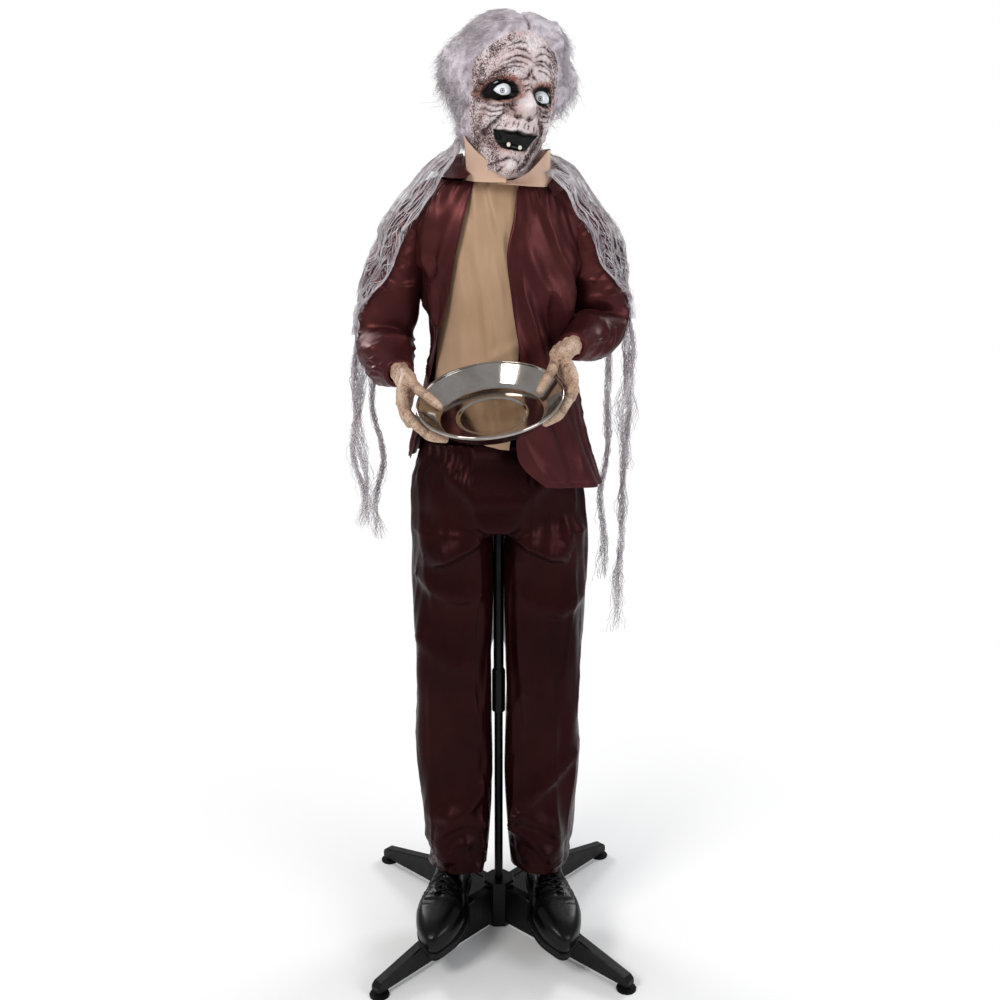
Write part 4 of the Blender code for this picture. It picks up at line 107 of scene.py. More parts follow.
# Hills and hollows of the plain face: height, X, Z, half width and half height
FACE_HILLS = [
    (0.026, 0.000, -0.0155, 0.0165, 0.0165),
    (0.009, 0.000, 0.0060, 0.010, 0.020),
    (0.006, 0.000, -0.0240, 0.012, 0.0095),
    (0.003, 0.000, 0.0300, 0.010, 0.010),
    (-0.0040, -0.058, -0.0640, 0.010, 0.018),
    (0.0030, 0.056, -0.0680, 0.014, 0.020),
    (0.0050, 0.000, -0.0440, 0.034, 0.012),
    (0.0045, 0.000, -0.0885, 0.026, 0.0055),
    (-0.0035, 0.000, -0.0965, 0.026, 0.0045),
    (0.009, 0.000, -0.1115, 0.019, 0.012),
]
# Those that both halves of the face have
PAIRED_HILLS = [
    (0.0055, 0.0175, -0.0230, 0.0065, 0.0085),
    (0.007, 0.029, 0.0340, 0.022, 0.008),
    (-0.0145, EYE_SPACING / 2, EYE_HEIGHT - 0.001, 0.021, 0.0145),
    (0.005, 0.046, -0.0160, 0.015, 0.011),
    (0.0035, 0.032, -0.0125, 0.017, 0.0055),
    (0.0060, 0.049, -0.0400, 0.011, 0.016),
    (-0.0035, 0.064, 0.0340, 0.012, 0.022),
    (0.0025, 0.0095, -0.1135, 0.007, 0.008),
    (0.0045, 0.046, -0.0940, 0.010, 0.014),
]
# Wrinkles on one half of the face, mirrored onto the other: a width, a depth and points (X, Z)
PAIRED_WRINKLES = [
    (0.0014, 0.0016, [(0.003, 0.066), (0.014, 0.075), (0.030, 0.074), (0.046, 0.062)]),
    (0.0017, 0.0020, [(0.001, 0.059), (0.013, 0.064), (0.028, 0.063), (0.046, 0.052)]),
    (0.0015, 0.0017, [(0.004, 0.052), (0.016, 0.056), (0.033, 0.053), (0.048, 0.044)]),
    (0.0013, 0.0013, [(0.010, 0.046), (0.022, 0.048), (0.036, 0.044)]),
    (0.0010, 0.0009, [(0.010, 0.086), (0.024, 0.088), (0.040, 0.080)]),
    (0.0018, 0.0022, [(0.003, 0.050), (0.0025, 0.040), (0.006, 0.031), (0.014, 0.027)]),
    (0.0011, 0.0010, [(0.034, 0.044), (0.046, 0.040), (0.056, 0.030)]),
    (0.0012, 0.0012, [(0.056, 0.018), (0.063, 0.026), (0.069, 0.034)]),
    (0.0012, 0.0012, [(0.059, 0.010), (0.067, 0.012), (0.074, 0.017)]),
    (0.0012, 0.0012, [(0.058, 0.001), (0.066, -0.002), (0.073, -0.002)]),
    (0.0021, 0.0026, [(0.015, -0.004), (0.024, -0.0135), (0.038, -0.0165), (0.053, -0.008)]),
    (0.0015, 0.0016, [(0.021, -0.0165), (0.033, -0.0225), (0.046, -0.0215), (0.057, -0.012)]),
    (0.0010, 0.0008, [(0.030, -0.029), (0.042, -0.031), (0.055, -0.024)]),
    (0.0032, 0.0050, [(0.022, -0.018), (0.031, -0.029), (0.040, -0.043), (0.046, -0.058), (0.045, -0.074)]),
    (0.0015, 0.0017, [(0.052, -0.036), (0.058, -0.050), (0.059, -0.066), (0.053, -0.082)]),
    (0.0012, 0.0011, [(0.062, -0.028), (0.067, -0.044), (0.066, -0.060)]),
    (0.0022, 0.0030, [(0.0385, -0.062), (0.0420, -0.076), (0.0400, -0.090), (0.0330, -0.102)]),
    (0.0013, 0.0013, [(0.051, -0.086), (0.046, -0.098), (0.037, -0.108)]),
    (0.0009, 0.0008, [(0.0050, -0.0400), (0.0045, -0.0490)]),
    (0.0009, 0.0007, [(0.0130, -0.0400), (0.0145, -0.0490)]),
    (0.0009, 0.0008, [(0.0220, -0.0420), (0.0255, -0.0500)]),
    (0.0009, 0.0007, [(0.0300, -0.0440), (0.0340, -0.0520)]),
    (0.0012, 0.0012, [(0.000, 0.020), (0.009, 0.016)]),
    (0.0010, 0.0009, [(0.000, 0.012), (0.007, 0.008)]),
    (0.0017, 0.0018, [(0.000, -0.0955), (0.013, -0.0980), (0.022, -0.1040)]),
    (0.0010, 0.0009, [(0.008, -0.108), (0.012, -0.117)]),
    # The last two outline the nose's side and underside: grooves darkened as painted shade
    (0.0022, 0.0022, [(0.0150, -0.0290), (0.0205, -0.0225), (0.0200, -0.0150), (0.0165, -0.0090)]),
    (0.0018, 0.0020, [(0.0015, -0.0360), (0.0070, -0.0350), (0.0125, -0.0345), (0.0165, -0.0290)]),
]
WRINKLE_STEPS = 26
MOUTH_HALF_WIDTH = 0.0345
UPPER_LIP_Z = -0.0545
LOWER_LIP_Z = -0.0825
TOOTH_SIZES = (0.0031, 0.0030, 0.0036)
MOUTH_DEPTH = -0.0735
# Teeth and tongue: their places on the face (X, Z and depth) and half sizes
TOOTH_PLACES = [(-0.0115, -0.0755, -0.0815), (0.0085, -0.0770, -0.0815)]
TONGUE_PLACE = (0.0, -0.0770, -0.0730)
TONGUE_SIZES = (0.022, 0.0075, 0.0060)
# A nostril's X and Z, half width and half height
NOSTRIL = (0.0090, -0.0322, 0.0048, 0.0028)

# The dish's own frame, with its rim at Z = 0
DISH_CENTRE = (-0.0137, -0.230, 1.103)
DISH_TILT_DEG = 18.8
DISH_ROLL_DEG = 6.7
DISH_RIM_RADIUS = 0.118
DISH_DEPTH = 0.035
DISH_WALL = 0.0012
DISH_BEAD_RADIUS = 0.0022
DISH_BEAD_CENTRE = (0.1158, -0.0022)
# The dish's profile within and without its bead, as radius and height over the rim
DISH_INSIDE = [
    (0.0, -0.035), (0.053, -0.035), (0.057, -0.0325), (0.084, -0.0325), (0.090, -0.0285), (0.1146, -0.0040),
]
DISH_OUTSIDE = [
    (0.1165, -0.0054), (0.0912, -0.0311), (0.084, -0.0337), (0.058, -0.0337), (0.054, -0.0362),
    (0.0, -0.0362),
]

# Arms: wrist, end of the forearm and heel of the hand, where the hand holds the dish, how far the
# sleeve sags, and the sleeve's middle line from the shoulder to the wrist
ARMS = {
    "right": {
        "sign": -1,
        "wrist": (-0.161, -0.128, 1.122),
        "inside": (-0.1705, -0.098, 1.131),
        "heel": (-0.1538, -0.1550, 1.1127),
        "base_deg": 186.0,
        "sag": 0.45,
        "sleeve": [
            (-0.112, 0.000, 1.372),
            (-0.142, 0.000, 1.345),
            (-0.172, 0.002, 1.275),
            (-0.191, 0.004, 1.205),
            (-0.195, -0.014, 1.160),
            (-0.181, -0.068, 1.134),
            (-0.164, -0.118, 1.120),
        ],
    },
    "left": {
        "sign": 1,
        "wrist": (0.117, -0.132, 1.166),
        "inside": (0.1315, -0.103, 1.169),
        "heel": (0.1062, -0.1590, 1.1613),
        "base_deg": 4.0,
        "sag": 0.10,
        "sleeve": [
            (0.112, 0.000, 1.372),
            (0.142, 0.000, 1.345),
            (0.164, 0.002, 1.290),
            (0.173, 0.006, 1.238),
            (0.172, -0.008, 1.192),
            (0.150, -0.060, 1.172),
            (0.121, -0.119, 1.166),
        ],
    },
}
# The sleeve's half sizes along that line, sideways and upright
SLEEVE_SIZES = [
    (0.036, 0.034),
    (0.047, 0.042),
    (0.050, 0.043),
    (0.050, 0.046),
    (0.048, 0.047),
    (0.040, 0.038),
    (0.0225, 0.0205),
]
# Share of the bend's own radius that the sleeve's inner side may reach
SLEEVE_BEND_SHARE = 0.50

# Jacket levels from the hem to the neck: height, X of the middle, half width, front and back
# depth, and X of the two front edges
JACKET_STATIONS = [
    (0.928, 0.010, 0.166, 0.096, 0.102, 0.070, -0.1545),
    (0.955, 0.009, 0.159, 0.098, 0.103, 0.036, -0.1470),
    (0.990, 0.006, 0.148, 0.100, 0.103, 0.024, -0.1380),
    (1.070, 0.002, 0.130, 0.104, 0.103, 0.028, -0.1190),
    (1.150, 0.000, 0.120, 0.106, 0.098, 0.028, -0.1020),
    (1.230, 0.000, 0.121, 0.102, 0.092, 0.018, -0.082),
    (1.310, 0.000, 0.136, 0.094, 0.084, 0.010, -0.064),
    (1.370, 0.000, 0.1465, 0.084, 0.077, 0.018, -0.048),
    (1.405, 0.000, 0.1355, 0.075, 0.072, 0.022, -0.040),
    (1.422, 0.000, 0.1215, 0.071, 0.069, 0.026, -0.036),
    (1.432, 0.000, 0.1080, 0.069, 0.067, 0.030, -0.034),
]
JACKET_HEM_SLOPE = 0.14
JACKET_NECK_DROP = 0.003
SHOULDER_Z = 1.345
ARMHOLE_HALF_HEIGHT = 0.022
ARMHOLE_HALF_DEPTH = 0.024
ARMHOLE_X = 0.09

# Shirt levels from the tail to the neck: height, X of the middle, half width
SHIRT_STATIONS = [
    (1.004, -0.040, 0.058),
    (1.060, -0.042, 0.068),
    (1.150, -0.036, 0.070),
    (1.240, -0.030, 0.066),
    (1.310, -0.026, 0.060),
    (1.370, -0.014, 0.056),
    (1.400, -0.006, 0.058),
    (1.430, 0.000, 0.056),
]

# The shirt collar from the neck outwards, at angles round the neck from the front
# Rows: angle in degrees, then radius and height of its lower edge and of its upper edge
COLLAR_STATIONS = [
    (-91, 0.0955, 1.4270, 0.0880, 1.4290),
    (-75, 0.1000, 1.4250, 0.0910, 1.4300),
    (-60, 0.1055, 1.4220, 0.0960, 1.4420),
    (-47, 0.1100, 1.4200, 0.1010, 1.4620),
    (-38, 0.1070, 1.4210, 0.1015, 1.4750),
    (-30, 0.1010, 1.4260, 0.0985, 1.4780),
    (-15, 0.0930, 1.4340, 0.0890, 1.4790),
    (0, 0.0880, 1.4390, 0.0800, 1.4780),
    (30, 0.0830, 1.4410, 0.0710, 1.4760),
    (90, 0.0790, 1.4430, 0.0650, 1.4740),
    (120, 0.0780, 1.4430, 0.0640, 1.4760),
    (135, 0.0740, 1.4420, 0.0620, 1.4780),
    (150, 0.0650, 1.4400, 0.0590, 1.4810),
    (165, 0.0590, 1.4385, 0.0565, 1.4830),
    (180, 0.0555, 1.4370, 0.0550, 1.4850),
    (195, 0.0560, 1.4355, 0.0570, 1.4850),
    (210, 0.0620, 1.4335, 0.0640, 1.4880),
    (219, 0.0690, 1.4325, 0.0710, 1.4950),
    (225, 0.0750, 1.4315, 0.0790, 1.5010),
    (232, 0.0850, 1.4305, 0.0900, 1.4990),
    (239, 0.0920, 1.4295, 0.0985, 1.4920),
    (248, 0.0965, 1.4285, 0.1055, 1.4800),
    (257, 0.1000, 1.4280, 0.1095, 1.4670),
    (267, 0.1020, 1.4280, 0.1090, 1.4490),
    (277, 0.1030, 1.4280, 0.1045, 1.4340),
]
# The jacket collar's rows: angle, then radius and height of its fold and of its free edge
JACKET_COLLAR_STATIONS = [
    (-46, 0.1140, 1.4230, 0.1320, 1.4080),
    (-30, 0.1060, 1.4400, 0.1290, 1.4200),
    (-10, 0.0950, 1.4560, 0.1200, 1.4360),
    (20, 0.0870, 1.4620, 0.1160, 1.4420),
    (60, 0.0810, 1.4640, 0.1080, 1.4370),
    (90, 0.0800, 1.4640, 0.1050, 1.4330),
    (125, 0.0790, 1.4640, 0.1080, 1.4370),
    (155, 0.0680, 1.4680, 0.1140, 1.4430),
    (180, 0.0610, 1.4720, 0.1130, 1.4450),
    (200, 0.0620, 1.4700, 0.1120, 1.4440),
    (215, 0.0720, 1.4640, 0.1140, 1.4400),
    (228, 0.0880, 1.4560, 0.1180, 1.4370),
    (236, 0.0960, 1.4480, 0.1190, 1.4355),
    (243, 0.0990, 1.4410, 0.1130, 1.4340),
]
# The shirt's cloth round the neck
YOKE_HALF_WIDTH = 0.090
YOKE_DEPTH = 0.064
YOKE_LOW_Z = 1.410
YOKE_NECK_RADIUS = 0.0495
YOKE_TOP_Z = 1.432

# The trousers' heights
CUFF_Z = 0.118
CUFF_FRONT_RISE = 0.040
CROTCH_Z = 0.822
WAIST_Z = 0.985
# Trouser levels: height, outer X, inner X, front depth and back depth
TROUSER_STATIONS = [
    (CUFF_Z, 0.1285, 0.0235, 0.088, 0.060),
    (0.215, 0.1410, 0.0170, 0.076, 0.055),
    (0.330, 0.1480, 0.0110, 0.060, 0.051),
    (0.450, 0.1500, 0.0130, 0.056, 0.050),
    (0.570, 0.1530, 0.0127, 0.057, 0.052),
    (0.690, 0.1560, 0.0101, 0.060, 0.056),
    (CROTCH_Z, 0.1580, 0.0101, 0.067, 0.066),
]
# Seat levels: height, half width, front depth and back depth
SEAT_STATIONS = [
    (CROTCH_Z, 0.158, 0.067, 0.066),
    (0.850, 0.156, 0.073, 0.073),
    (0.900, 0.152, 0.074, 0.074),
    (WAIST_Z, 0.132, 0.070, 0.070),
]

# Points round each leg, and the first and last of those that face the other leg
LEG_COLUMNS = 112
INSEAM = (40, 72)
FLY_X = 0.004
SIDE_SEAM_X = 0.1535
# Drapes over the trousers' front: width above, width below, height and a line of points (X, Z)
TROUSER_DRAPES = [
    (0.034, 0.009, 0.0125, [(0.004, 0.842), (0.052, 0.806), (0.090, 0.786), (0.128, 0.776)]),
    (0.030, 0.009, 0.0120, [(-0.004, 0.842), (-0.052, 0.804), (-0.090, 0.780), (-0.130, 0.764)]),
    (0.016, 0.016, 0.0060, [(0.006, 0.846), (0.040, 0.884), (0.085, 0.930), (0.110, 0.965)]),
    (0.018, 0.014, 0.0070, [(-0.006, 0.846), (-0.036, 0.882), (-0.070, 0.922), (-0.092, 0.965)]),
    (0.012, 0.012, 0.0040, [(-0.012, 0.870), (-0.022, 0.905), (-0.034, 0.955)]),
    (0.030, 0.012, 0.0050, [(-0.150, 0.742), (-0.105, 0.712), (-0.060, 0.700), (-0.030, 0.716)]),
    (0.026, 0.012, 0.0040, [(0.150, 0.700), (0.110, 0.676), (0.060, 0.690), (0.030, 0.730)]),
    (0.030, 0.014, 0.0036, [(-0.145, 0.625), (-0.110, 0.590), (-0.080, 0.570), (-0.050, 0.590)]),
    (0.026, 0.010, 0.0062, [(0.022, 0.235), (0.062, 0.300), (0.105, 0.345), (0.150, 0.395)]),
    (0.020, 0.010, 0.0050, [(0.022, 0.262), (0.062, 0.262), (0.100, 0.240), (0.130, 0.200)]),
    (0.016, 0.008, 0.0042, [(0.024, 0.240), (0.060, 0.222), (0.090, 0.190), (0.112, 0.150)]),
    (0.020, 0.010, 0.0050, [(-0.022, 0.330), (-0.050, 0.290), (-0.090, 0.268), (-0.140, 0.262)]),
    (0.016, 0.009, 0.0046, [(-0.030, 0.240), (-0.060, 0.258), (-0.100, 0.240), (-0.130, 0.190)]),
    (0.014, 0.008, 0.0040, [(-0.028, 0.200), (-0.055, 0.215), (-0.085, 0.200), (-0.110, 0.160)]),
]

# Gauze strips of each arm: shares across the cloth between which each hangs, and its lowest Z
GAUZE_STRIPS = {
    "right": [((0.02, 0.22), 0.817), ((0.36, 0.60), 0.814), ((0.74, 0.98), 0.779)],
    "left": [((0.02, 0.18), 0.930), ((0.34, 0.66), 0.605), ((0.76, 0.98), 0.700)],
}
GAUZE_NECK_X = 0.066
# Share of the arm's length at which the laid gauze ends
GAUZE_LEAVES_SHARE = 0.62
WARP_RADIUS = 0.00042
WEFT_RADIUS = 0.00030
STRIP_THREAD_RADIUS = 0.00040

# Boots stand on the sloping front legs of the stand
LEG_SLOPE = 0.2286
LEG_TOP_Z = 0.1039
STAND_TURN_DEG = 2.2
LEG_TUBE_X = 0.080
LEG_TUBE_Y = -0.004
BOOT_TOE_OUT_DEG = 12.0
BOOT_LENGTH = 0.262
BOOT_WIDTH = 0.098
BOOT_HEEL_Y = 0.052
BOOT_SOLE_THICKNESS = 0.014
BOOT_UPPER_THICKNESS = 0.0018
LACE_RADIUS = 0.0015
LACE_CROSSINGS = 6
# The sole's half width from the heel to the toe, as shares of the boot's half width
SOLE_WIDTHS = [[0.50], [0.64], [0.66], [0.62], [0.80], [0.98], [1.0], [0.90], [0.55]]
# The sole's profile from its underside up: share of its outline and height, with the welt's groove
SOLE_LEVELS = [
    (0.0, 0.0), (0.60, 0.0), (0.985, 0.0), (1.0, 0.0010), (1.0, 0.0045), (0.985, 0.0052), (0.985, 0.0066),
    (1.0, 0.0073), (1.0, 0.0125), (0.99, 0.0140), (0.965, 0.0142), (0.955, 0.0150), (0.90, 0.0155),
    (0.0, 0.0155),
]
# The upper's levels: height over the sole, Y of its heel and toe, and its width's share
BOOT_STATIONS = [
    (0.0005, 0.048, -0.205, 0.93),
    (0.018, 0.050, -0.206, 0.97),
    (0.033, 0.049, -0.198, 0.93),
    (0.043, 0.046, -0.170, 0.82),
    (0.047, 0.044, -0.125, 0.77),
    (0.053, 0.043, -0.082, 0.76),
    (0.064, 0.043, -0.054, 0.76),
    (0.086, 0.046, -0.042, 0.78),
    (0.104, 0.050, -0.038, 0.80),
]

# Nodes of the stand and the mechanism that share a finish
BLACK_METAL = ("base_hub", "stand_leg", "pole_lower", "pole_upper", "pole_coupler", "hip_frame")
BRIGHT_METAL = ("neck_shaft", "shoulder_bar", "upper_arm", "forearm", "leg_tube", "door_pin")
GREY_PLASTIC = ("torso_shell", "spine_block", "neck_motor", "drive_plate", "skull_form")
BOX_PARTS = ("control_box", "battery_door", "speaker", "mode_switch")

# The photograph's camera, the floor, and how far out its shadow melts into the backdrop
CAMERA_PLACE = (0.0026, -2.228, 1.510)
CAMERA_PITCH_DEG = 16.08
CAMERA_LENS_MM = 46.3
CAMERA_SENSOR_MM = 36.0
FLOOR_HALF_SIZE = 6
FLOOR_FADE_START = 0.30
FLOOR_FADE_END = 0.95
# Lamps: name, place, height of the target over the middle, size, share of the power, and tint
LAMPS = [
    ("key_lamp", (-1.9, -2.4, 2.9), 1.1, 1.1, 1.0, (1.0, 0.98, 0.95)),
    ("fill_lamp", (2.3, -2.0, 1.9), 1.0, 1.3, 0.55, (0.95, 0.97, 1.0)),
    ("rim_lamp_right", (-1.8, 1.8, 2.3), 1.2, 0.9, 0.5, (1.0, 1.0, 1.0)),
    ("rim_lamp_left", (1.8, 1.8, 2.2), 1.2, 0.9, 0.5, (1.0, 1.0, 1.0)),
]


# Shapes


def through(rows, share):
    """A smooth curve (Catmull-Rom) through the rows, at shares from 0 to 1."""
    rows = np.asarray(rows, float)
    place = np.clip(np.asarray(share, float), 0, 1) * (len(rows) - 1)
    at = np.minimum(place.astype(int), len(rows) - 2)
    f = (place - at)[..., None]
    before = rows[np.maximum(at - 1, 0)]
    here = rows[at]
    there = rows[at + 1]
    after = rows[np.minimum(at + 2, len(rows) - 1)]
    linear = there - before
    square = 2 * before - 5 * here + 4 * there - after
    cube = -before + 3 * here - 3 * there + after
    return 0.5 * (2 * here + linear * f + square * f**2 + cube * f**3)


def levels(rows, share):
    """The smooth curve through a table's rows, each of its columns by itself as an upright array."""
    table = through(rows, share)
    return [table[:, k : k + 1] for k in range(table.shape[1])]


def oval(angles, half_width, front, back, power=2.0):
    """X and Y of an oval: the cosine and sine, each raised to 2 / power, times its half size."""
    cosine, sine = np.cos(angles), np.sin(angles)
    x = half_width * np.sign(cosine) * np.abs(cosine) ** (2 / power)
    depth = np.where(sine < 0, front, back)
    y = depth * np.sign(sine) * np.abs(sine) ** (2 / power)
    return x, y


def smoothstep(value, low, high):
    share = np.clip((value - low) / (high - low), 0, 1)
    return share * share * (3 - 2 * share)


def ridge(value, middle, wide):
    """A soft ridge of height 1 where a value passes its middle."""
    return np.exp(-(((value - middle) / wide) ** 2))


def bump(x, z, middle_x, middle_z, wide, high):
    """A soft hill of height 1 round a point."""
    return ridge(x, middle_x, wide) * ridge(z, middle_z, high)


def ripples(points, size, seed, stretch=(1.0, 1.0, 1.0), count=9):
    """A smooth uneven field near -1 to 1: the sum of sine waves of about this size."""
    rng = np.random.default_rng(seed)
    ways = rng.normal(size=(count, 3))
    ways /= np.linalg.norm(ways, axis=1, keepdims=True)
    ways *= math.tau / size * rng.uniform(0.6, 1.5, size=(count, 1)) / np.asarray(stretch)
    phases = rng.uniform(0, math.tau, count)
    total = np.zeros(points.shape[:-1])
    for way, phase in zip(ways, phases):
        total += np.sin(points @ way + phase)
    return total / math.sqrt(count)


def folded(points, size, seed, stretch=(1.0, 1.0, 1.0)):
    """Cloth folds: rounded ridges with narrow valleys, from -1 to 1."""
    return 1 - 2 * np.abs(np.tanh(1.2 * ripples(points, size, seed, stretch))) ** 0.8


def turned(matrix, points):
    """Points carried from a piece's own frame to the row frame."""
    return points @ np.array(matrix.to_3x3()).T + np.array(matrix.translation)


def grid_cells(rows, columns, wrap, start=0):
    """Four-sided cells between the points of a grid, whose rows climb and columns turn."""
    last = columns if wrap else columns - 1
    row, column = np.meshgrid(np.arange(rows - 1), np.arange(last), indexing="ij")
    after = (column + 1) % columns
    low, high = start + row * columns, start + (row + 1) * columns
    cells = np.stack([low + column, low + after, high + after, high + column], axis=-1)
    return cells.reshape(-1, 4)


def grid_uv(rows, columns, wrap, wide, tall):
    """UV of each corner of the cells, in metres across and up the cloth."""
    last = columns if wrap else columns - 1
    row, column = np.meshgrid(np.arange(rows - 1), np.arange(last), indexing="ij")
    corners = [(column, row), (column + 1, row), (column + 1, row + 1), (column, row + 1)]
    uv = [np.stack([c / last * wide, r / (rows - 1) * tall], axis=-1) for c, r in corners]
    return np.stack(uv, axis=2).reshape(-1, 2)


def make_object(name, points, cells, finish, uv=None, fields=None):
    """A smooth shaded object from whole arrays of points and four-sided cells."""
    mesh = bpy.data.meshes.new(name)
    points = np.asarray(points, np.float32).reshape(-1, 3)
    cells = np.asarray(cells, np.int32)
    mesh.vertices.add(len(points))
    mesh.vertices.foreach_set("co", points.ravel())
    mesh.loops.add(cells.size)
    mesh.loops.foreach_set("vertex_index", cells.ravel())
    mesh.polygons.add(len(cells))
    mesh.polygons.foreach_set("loop_start", np.arange(0, cells.size, cells.shape[1], dtype=np.int32))
    mesh.polygons.foreach_set("use_smooth", np.ones(len(cells), bool))
    if uv is not None:
        layer = mesh.uv_layers.new(name="cloth")
        layer.uv.foreach_set("vector", np.asarray(uv, np.float32).ravel())
    for key, values in (fields or {}).items():
        attribute = mesh.attributes.new(key, "FLOAT", "POINT")
        attribute.data.foreach_set("value", np.asarray(values, np.float32).ravel())
    mesh.update(calc_edges=True)
    mesh.validate()
    mesh.materials.append(finish)
    thing = bpy.data.objects.new(name, mesh)
    bpy.context.scene.collection.objects.link(thing)
    return thing


def tidy_mesh(thing, distance=1e-6):
    """Merges doubled points, as at a pole or a seam."""
    work = bmesh.new()
    work.from_mesh(thing.data)
    bmesh.ops.remove_doubles(work, verts=work.verts, dist=distance)
    bmesh.ops.dissolve_degenerate(work, edges=work.edges, dist=distance)
    work.to_mesh(thing.data)
    work.free()


def turn_faces_out(thing):
    work = bmesh.new()
    work.from_mesh(thing.data)
    bmesh.ops.recalc_face_normals(work, faces=work.faces)
    work.to_mesh(thing.data)
    work.free()


def thicken(thing, thickness):
    """Gives a cloth sheet its thickness, inwards from the outer face."""
    wall = thing.modifiers.new("cloth_wall", "SOLIDIFY")
    wall.thickness = thickness
    wall.offset = -1.0
    wall.use_even_offset = False


def make_final(thing):
    """Puts the result of a piece's modifiers into its mesh."""
    graph = bpy.context.evaluated_depsgraph_get()
    whole = bpy.data.meshes.new_from_object(thing.evaluated_get(graph), depsgraph=graph)
    thing.modifiers.clear()
    thing.data = whole


def normals_of(points, cells):
    """The surface's own direction outwards at each point."""
    corners = points[cells]
    across = np.cross(corners[:, 2] - corners[:, 0], corners[:, 3] - corners[:, 1])
    normals = np.zeros_like(points)
    for k in range(4):
        np.add.at(normals, cells[:, k], across)
    return normals / np.maximum(np.linalg.norm(normals, axis=1, keepdims=True), 1e-12)


def neighbour_mean(points, cells):
    """The mean of each point's neighbouring cells."""
    middle = points[cells].mean(axis=1)
    total = np.zeros_like(points)
    count = np.zeros(len(points))
    for k in range(4):
        np.add.at(total, cells[:, k], middle)
        np.add.at(count, cells[:, k], 1)
    return total / np.maximum(count, 1)[:, None]


def pushed(points, cells, amount):
    """Points moved along the surface's own normals by an amount of their own."""
    return points + normals_of(points, cells) * np.asarray(amount).reshape(-1, 1)


def eased(points, cells, share):
    """Points drawn towards the mean of their neighbouring cells."""
    return points * (1 - share) + neighbour_mean(points, cells) * share


def hollowness(points, cells, size):
    """How far each point lies below the mean of its neighbours, over a size, from 0 to 1."""
    depth = ((neighbour_mean(points, cells) - points) * normals_of(points, cells)).sum(axis=1)
    return np.clip(depth / size, 0, 1)


def strands(paths, radii, sides=3):
    """Thin threads along many paths at once: (threads, steps, 3) points and one radius for each step."""
    count, steps = paths.shape[:2]
    heading = np.gradient(paths, axis=1)
    heading /= np.maximum(np.linalg.norm(heading, axis=2, keepdims=True), 1e-9)
    away = np.cross(heading, np.array([0.31, 0.17, 0.93]))
    away /= np.maximum(np.linalg.norm(away, axis=2, keepdims=True), 1e-9)
    other = np.cross(heading, away)
    turn = np.linspace(0, math.tau, sides, endpoint=False)
    ring = away[:, :, None] * np.cos(turn)[:, None] + other[:, :, None] * np.sin(turn)[:, None]
    points = paths[:, :, None] + ring * np.asarray(radii)[None, :, None, None]
    cells = grid_cells(steps, sides, wrap=True)[None] + (np.arange(count) * steps * sides)[:, None, None]
    return points.reshape(-1, 3), cells.reshape(-1, 4)


# Finishes


def node(tree, kind, settings=None, **inputs):
    """Adds a shader node. Inputs are sockets to link or plain values, by the socket's name."""
    made = tree.nodes.new(kind)
    for key, value in (settings or {}).items():
        setattr(made, key, value)
    for key, value in inputs.items():
        name = key.replace("_", " ")
        socket = made.inputs[int(name[1:])] if name[0] == "i" and name[1:].isdigit() else made.inputs[name]
        if isinstance(value, bpy.types.NodeSocket):
            tree.links.new(value, socket)
        else:
            socket.default_value = value
    return made


def colour(red, green, blue):
    """A colour written as screen values from 0 to 255, made linear for the shader."""
    return tuple((v / 255) ** 2.2 for v in (red, green, blue)) + (1.0,)


def new_finish(name, roughness=0.5, metallic=0.0, **sockets):
    """An empty finish: the material, its node tree and its main shader."""
    finish = bpy.data.materials.new(name)
    finish.use_nodes = True
    tree = finish.node_tree
    shader = tree.nodes["Principled BSDF"]
    shader.inputs["Roughness"].default_value = roughness
    shader.inputs["Metallic"].default_value = metallic
    for key, value in sockets.items():
        shader.inputs[key.replace("_", " ")].default_value = value
    return finish, tree, shader


def object_place(tree, scale=(1.0, 1.0, 1.0)):
    """Object coordinates, stretched by a scale."""
    place = node(tree, "ShaderNodeTexCoord").outputs["Object"]
    return node(tree, "ShaderNodeMapping", Vector=place, Scale=scale).outputs["Vector"]


def cloth_place(tree, scale=(1.0, 1.0, 1.0)):
    """The cloth's own coordinates, in metres across and along the weave."""
    place = node(tree, "ShaderNodeTexCoord").outputs["UV"]
    return node(tree, "ShaderNodeMapping", Vector=place, Scale=scale).outputs["Vector"]


def noise(tree, place, scale, detail=3.0, roughness=0.5):
    made = node(tree, "ShaderNodeTexNoise", Vector=place, Scale=scale, Detail=detail, Roughness=roughness)
    return made.outputs["Fac"]


def between(tree, value, low, high, to_low=0.0, to_high=1.0):
    """A value's range turned into another, held at its ends."""
    made = node(tree, "ShaderNodeMapRange", i0=value, i1=low, i2=high, i3=to_low, i4=to_high)
    return made.outputs["Result"]


def maths(tree, operation, first, second):
    return node(tree, "ShaderNodeMath", {"operation": operation}, i0=first, i1=second).outputs[0]


def mixed(tree, factor, first, second, blend="MIX"):
    """Two colours mixed by a factor."""
    made = node(tree, "ShaderNodeMix", {"data_type": "RGBA", "blend_type": blend})
    for socket, value in ((0, factor), (6, first), (7, second)):
        if isinstance(value, bpy.types.NodeSocket):
            tree.links.new(value, made.inputs[socket])
        else:
            made.inputs[socket].default_value = value
    return made.outputs[2]


def relief(tree, shader, height, distance, strength=1.0, under=None):
    """Links a bump of this height in metres to the shader, over another bump if given."""
    made = node(tree, "ShaderNodeBump", Height=height, Distance=distance, Strength=strength)
    if under is not None:
        tree.links.new(under, made.inputs["Normal"])
    tree.links.new(made.outputs["Normal"], shader.inputs["Normal"])
    return made.outputs["Normal"]


def field(tree, name):
    return node(tree, "ShaderNodeAttribute", {"attribute_name": name}).outputs["Fac"]


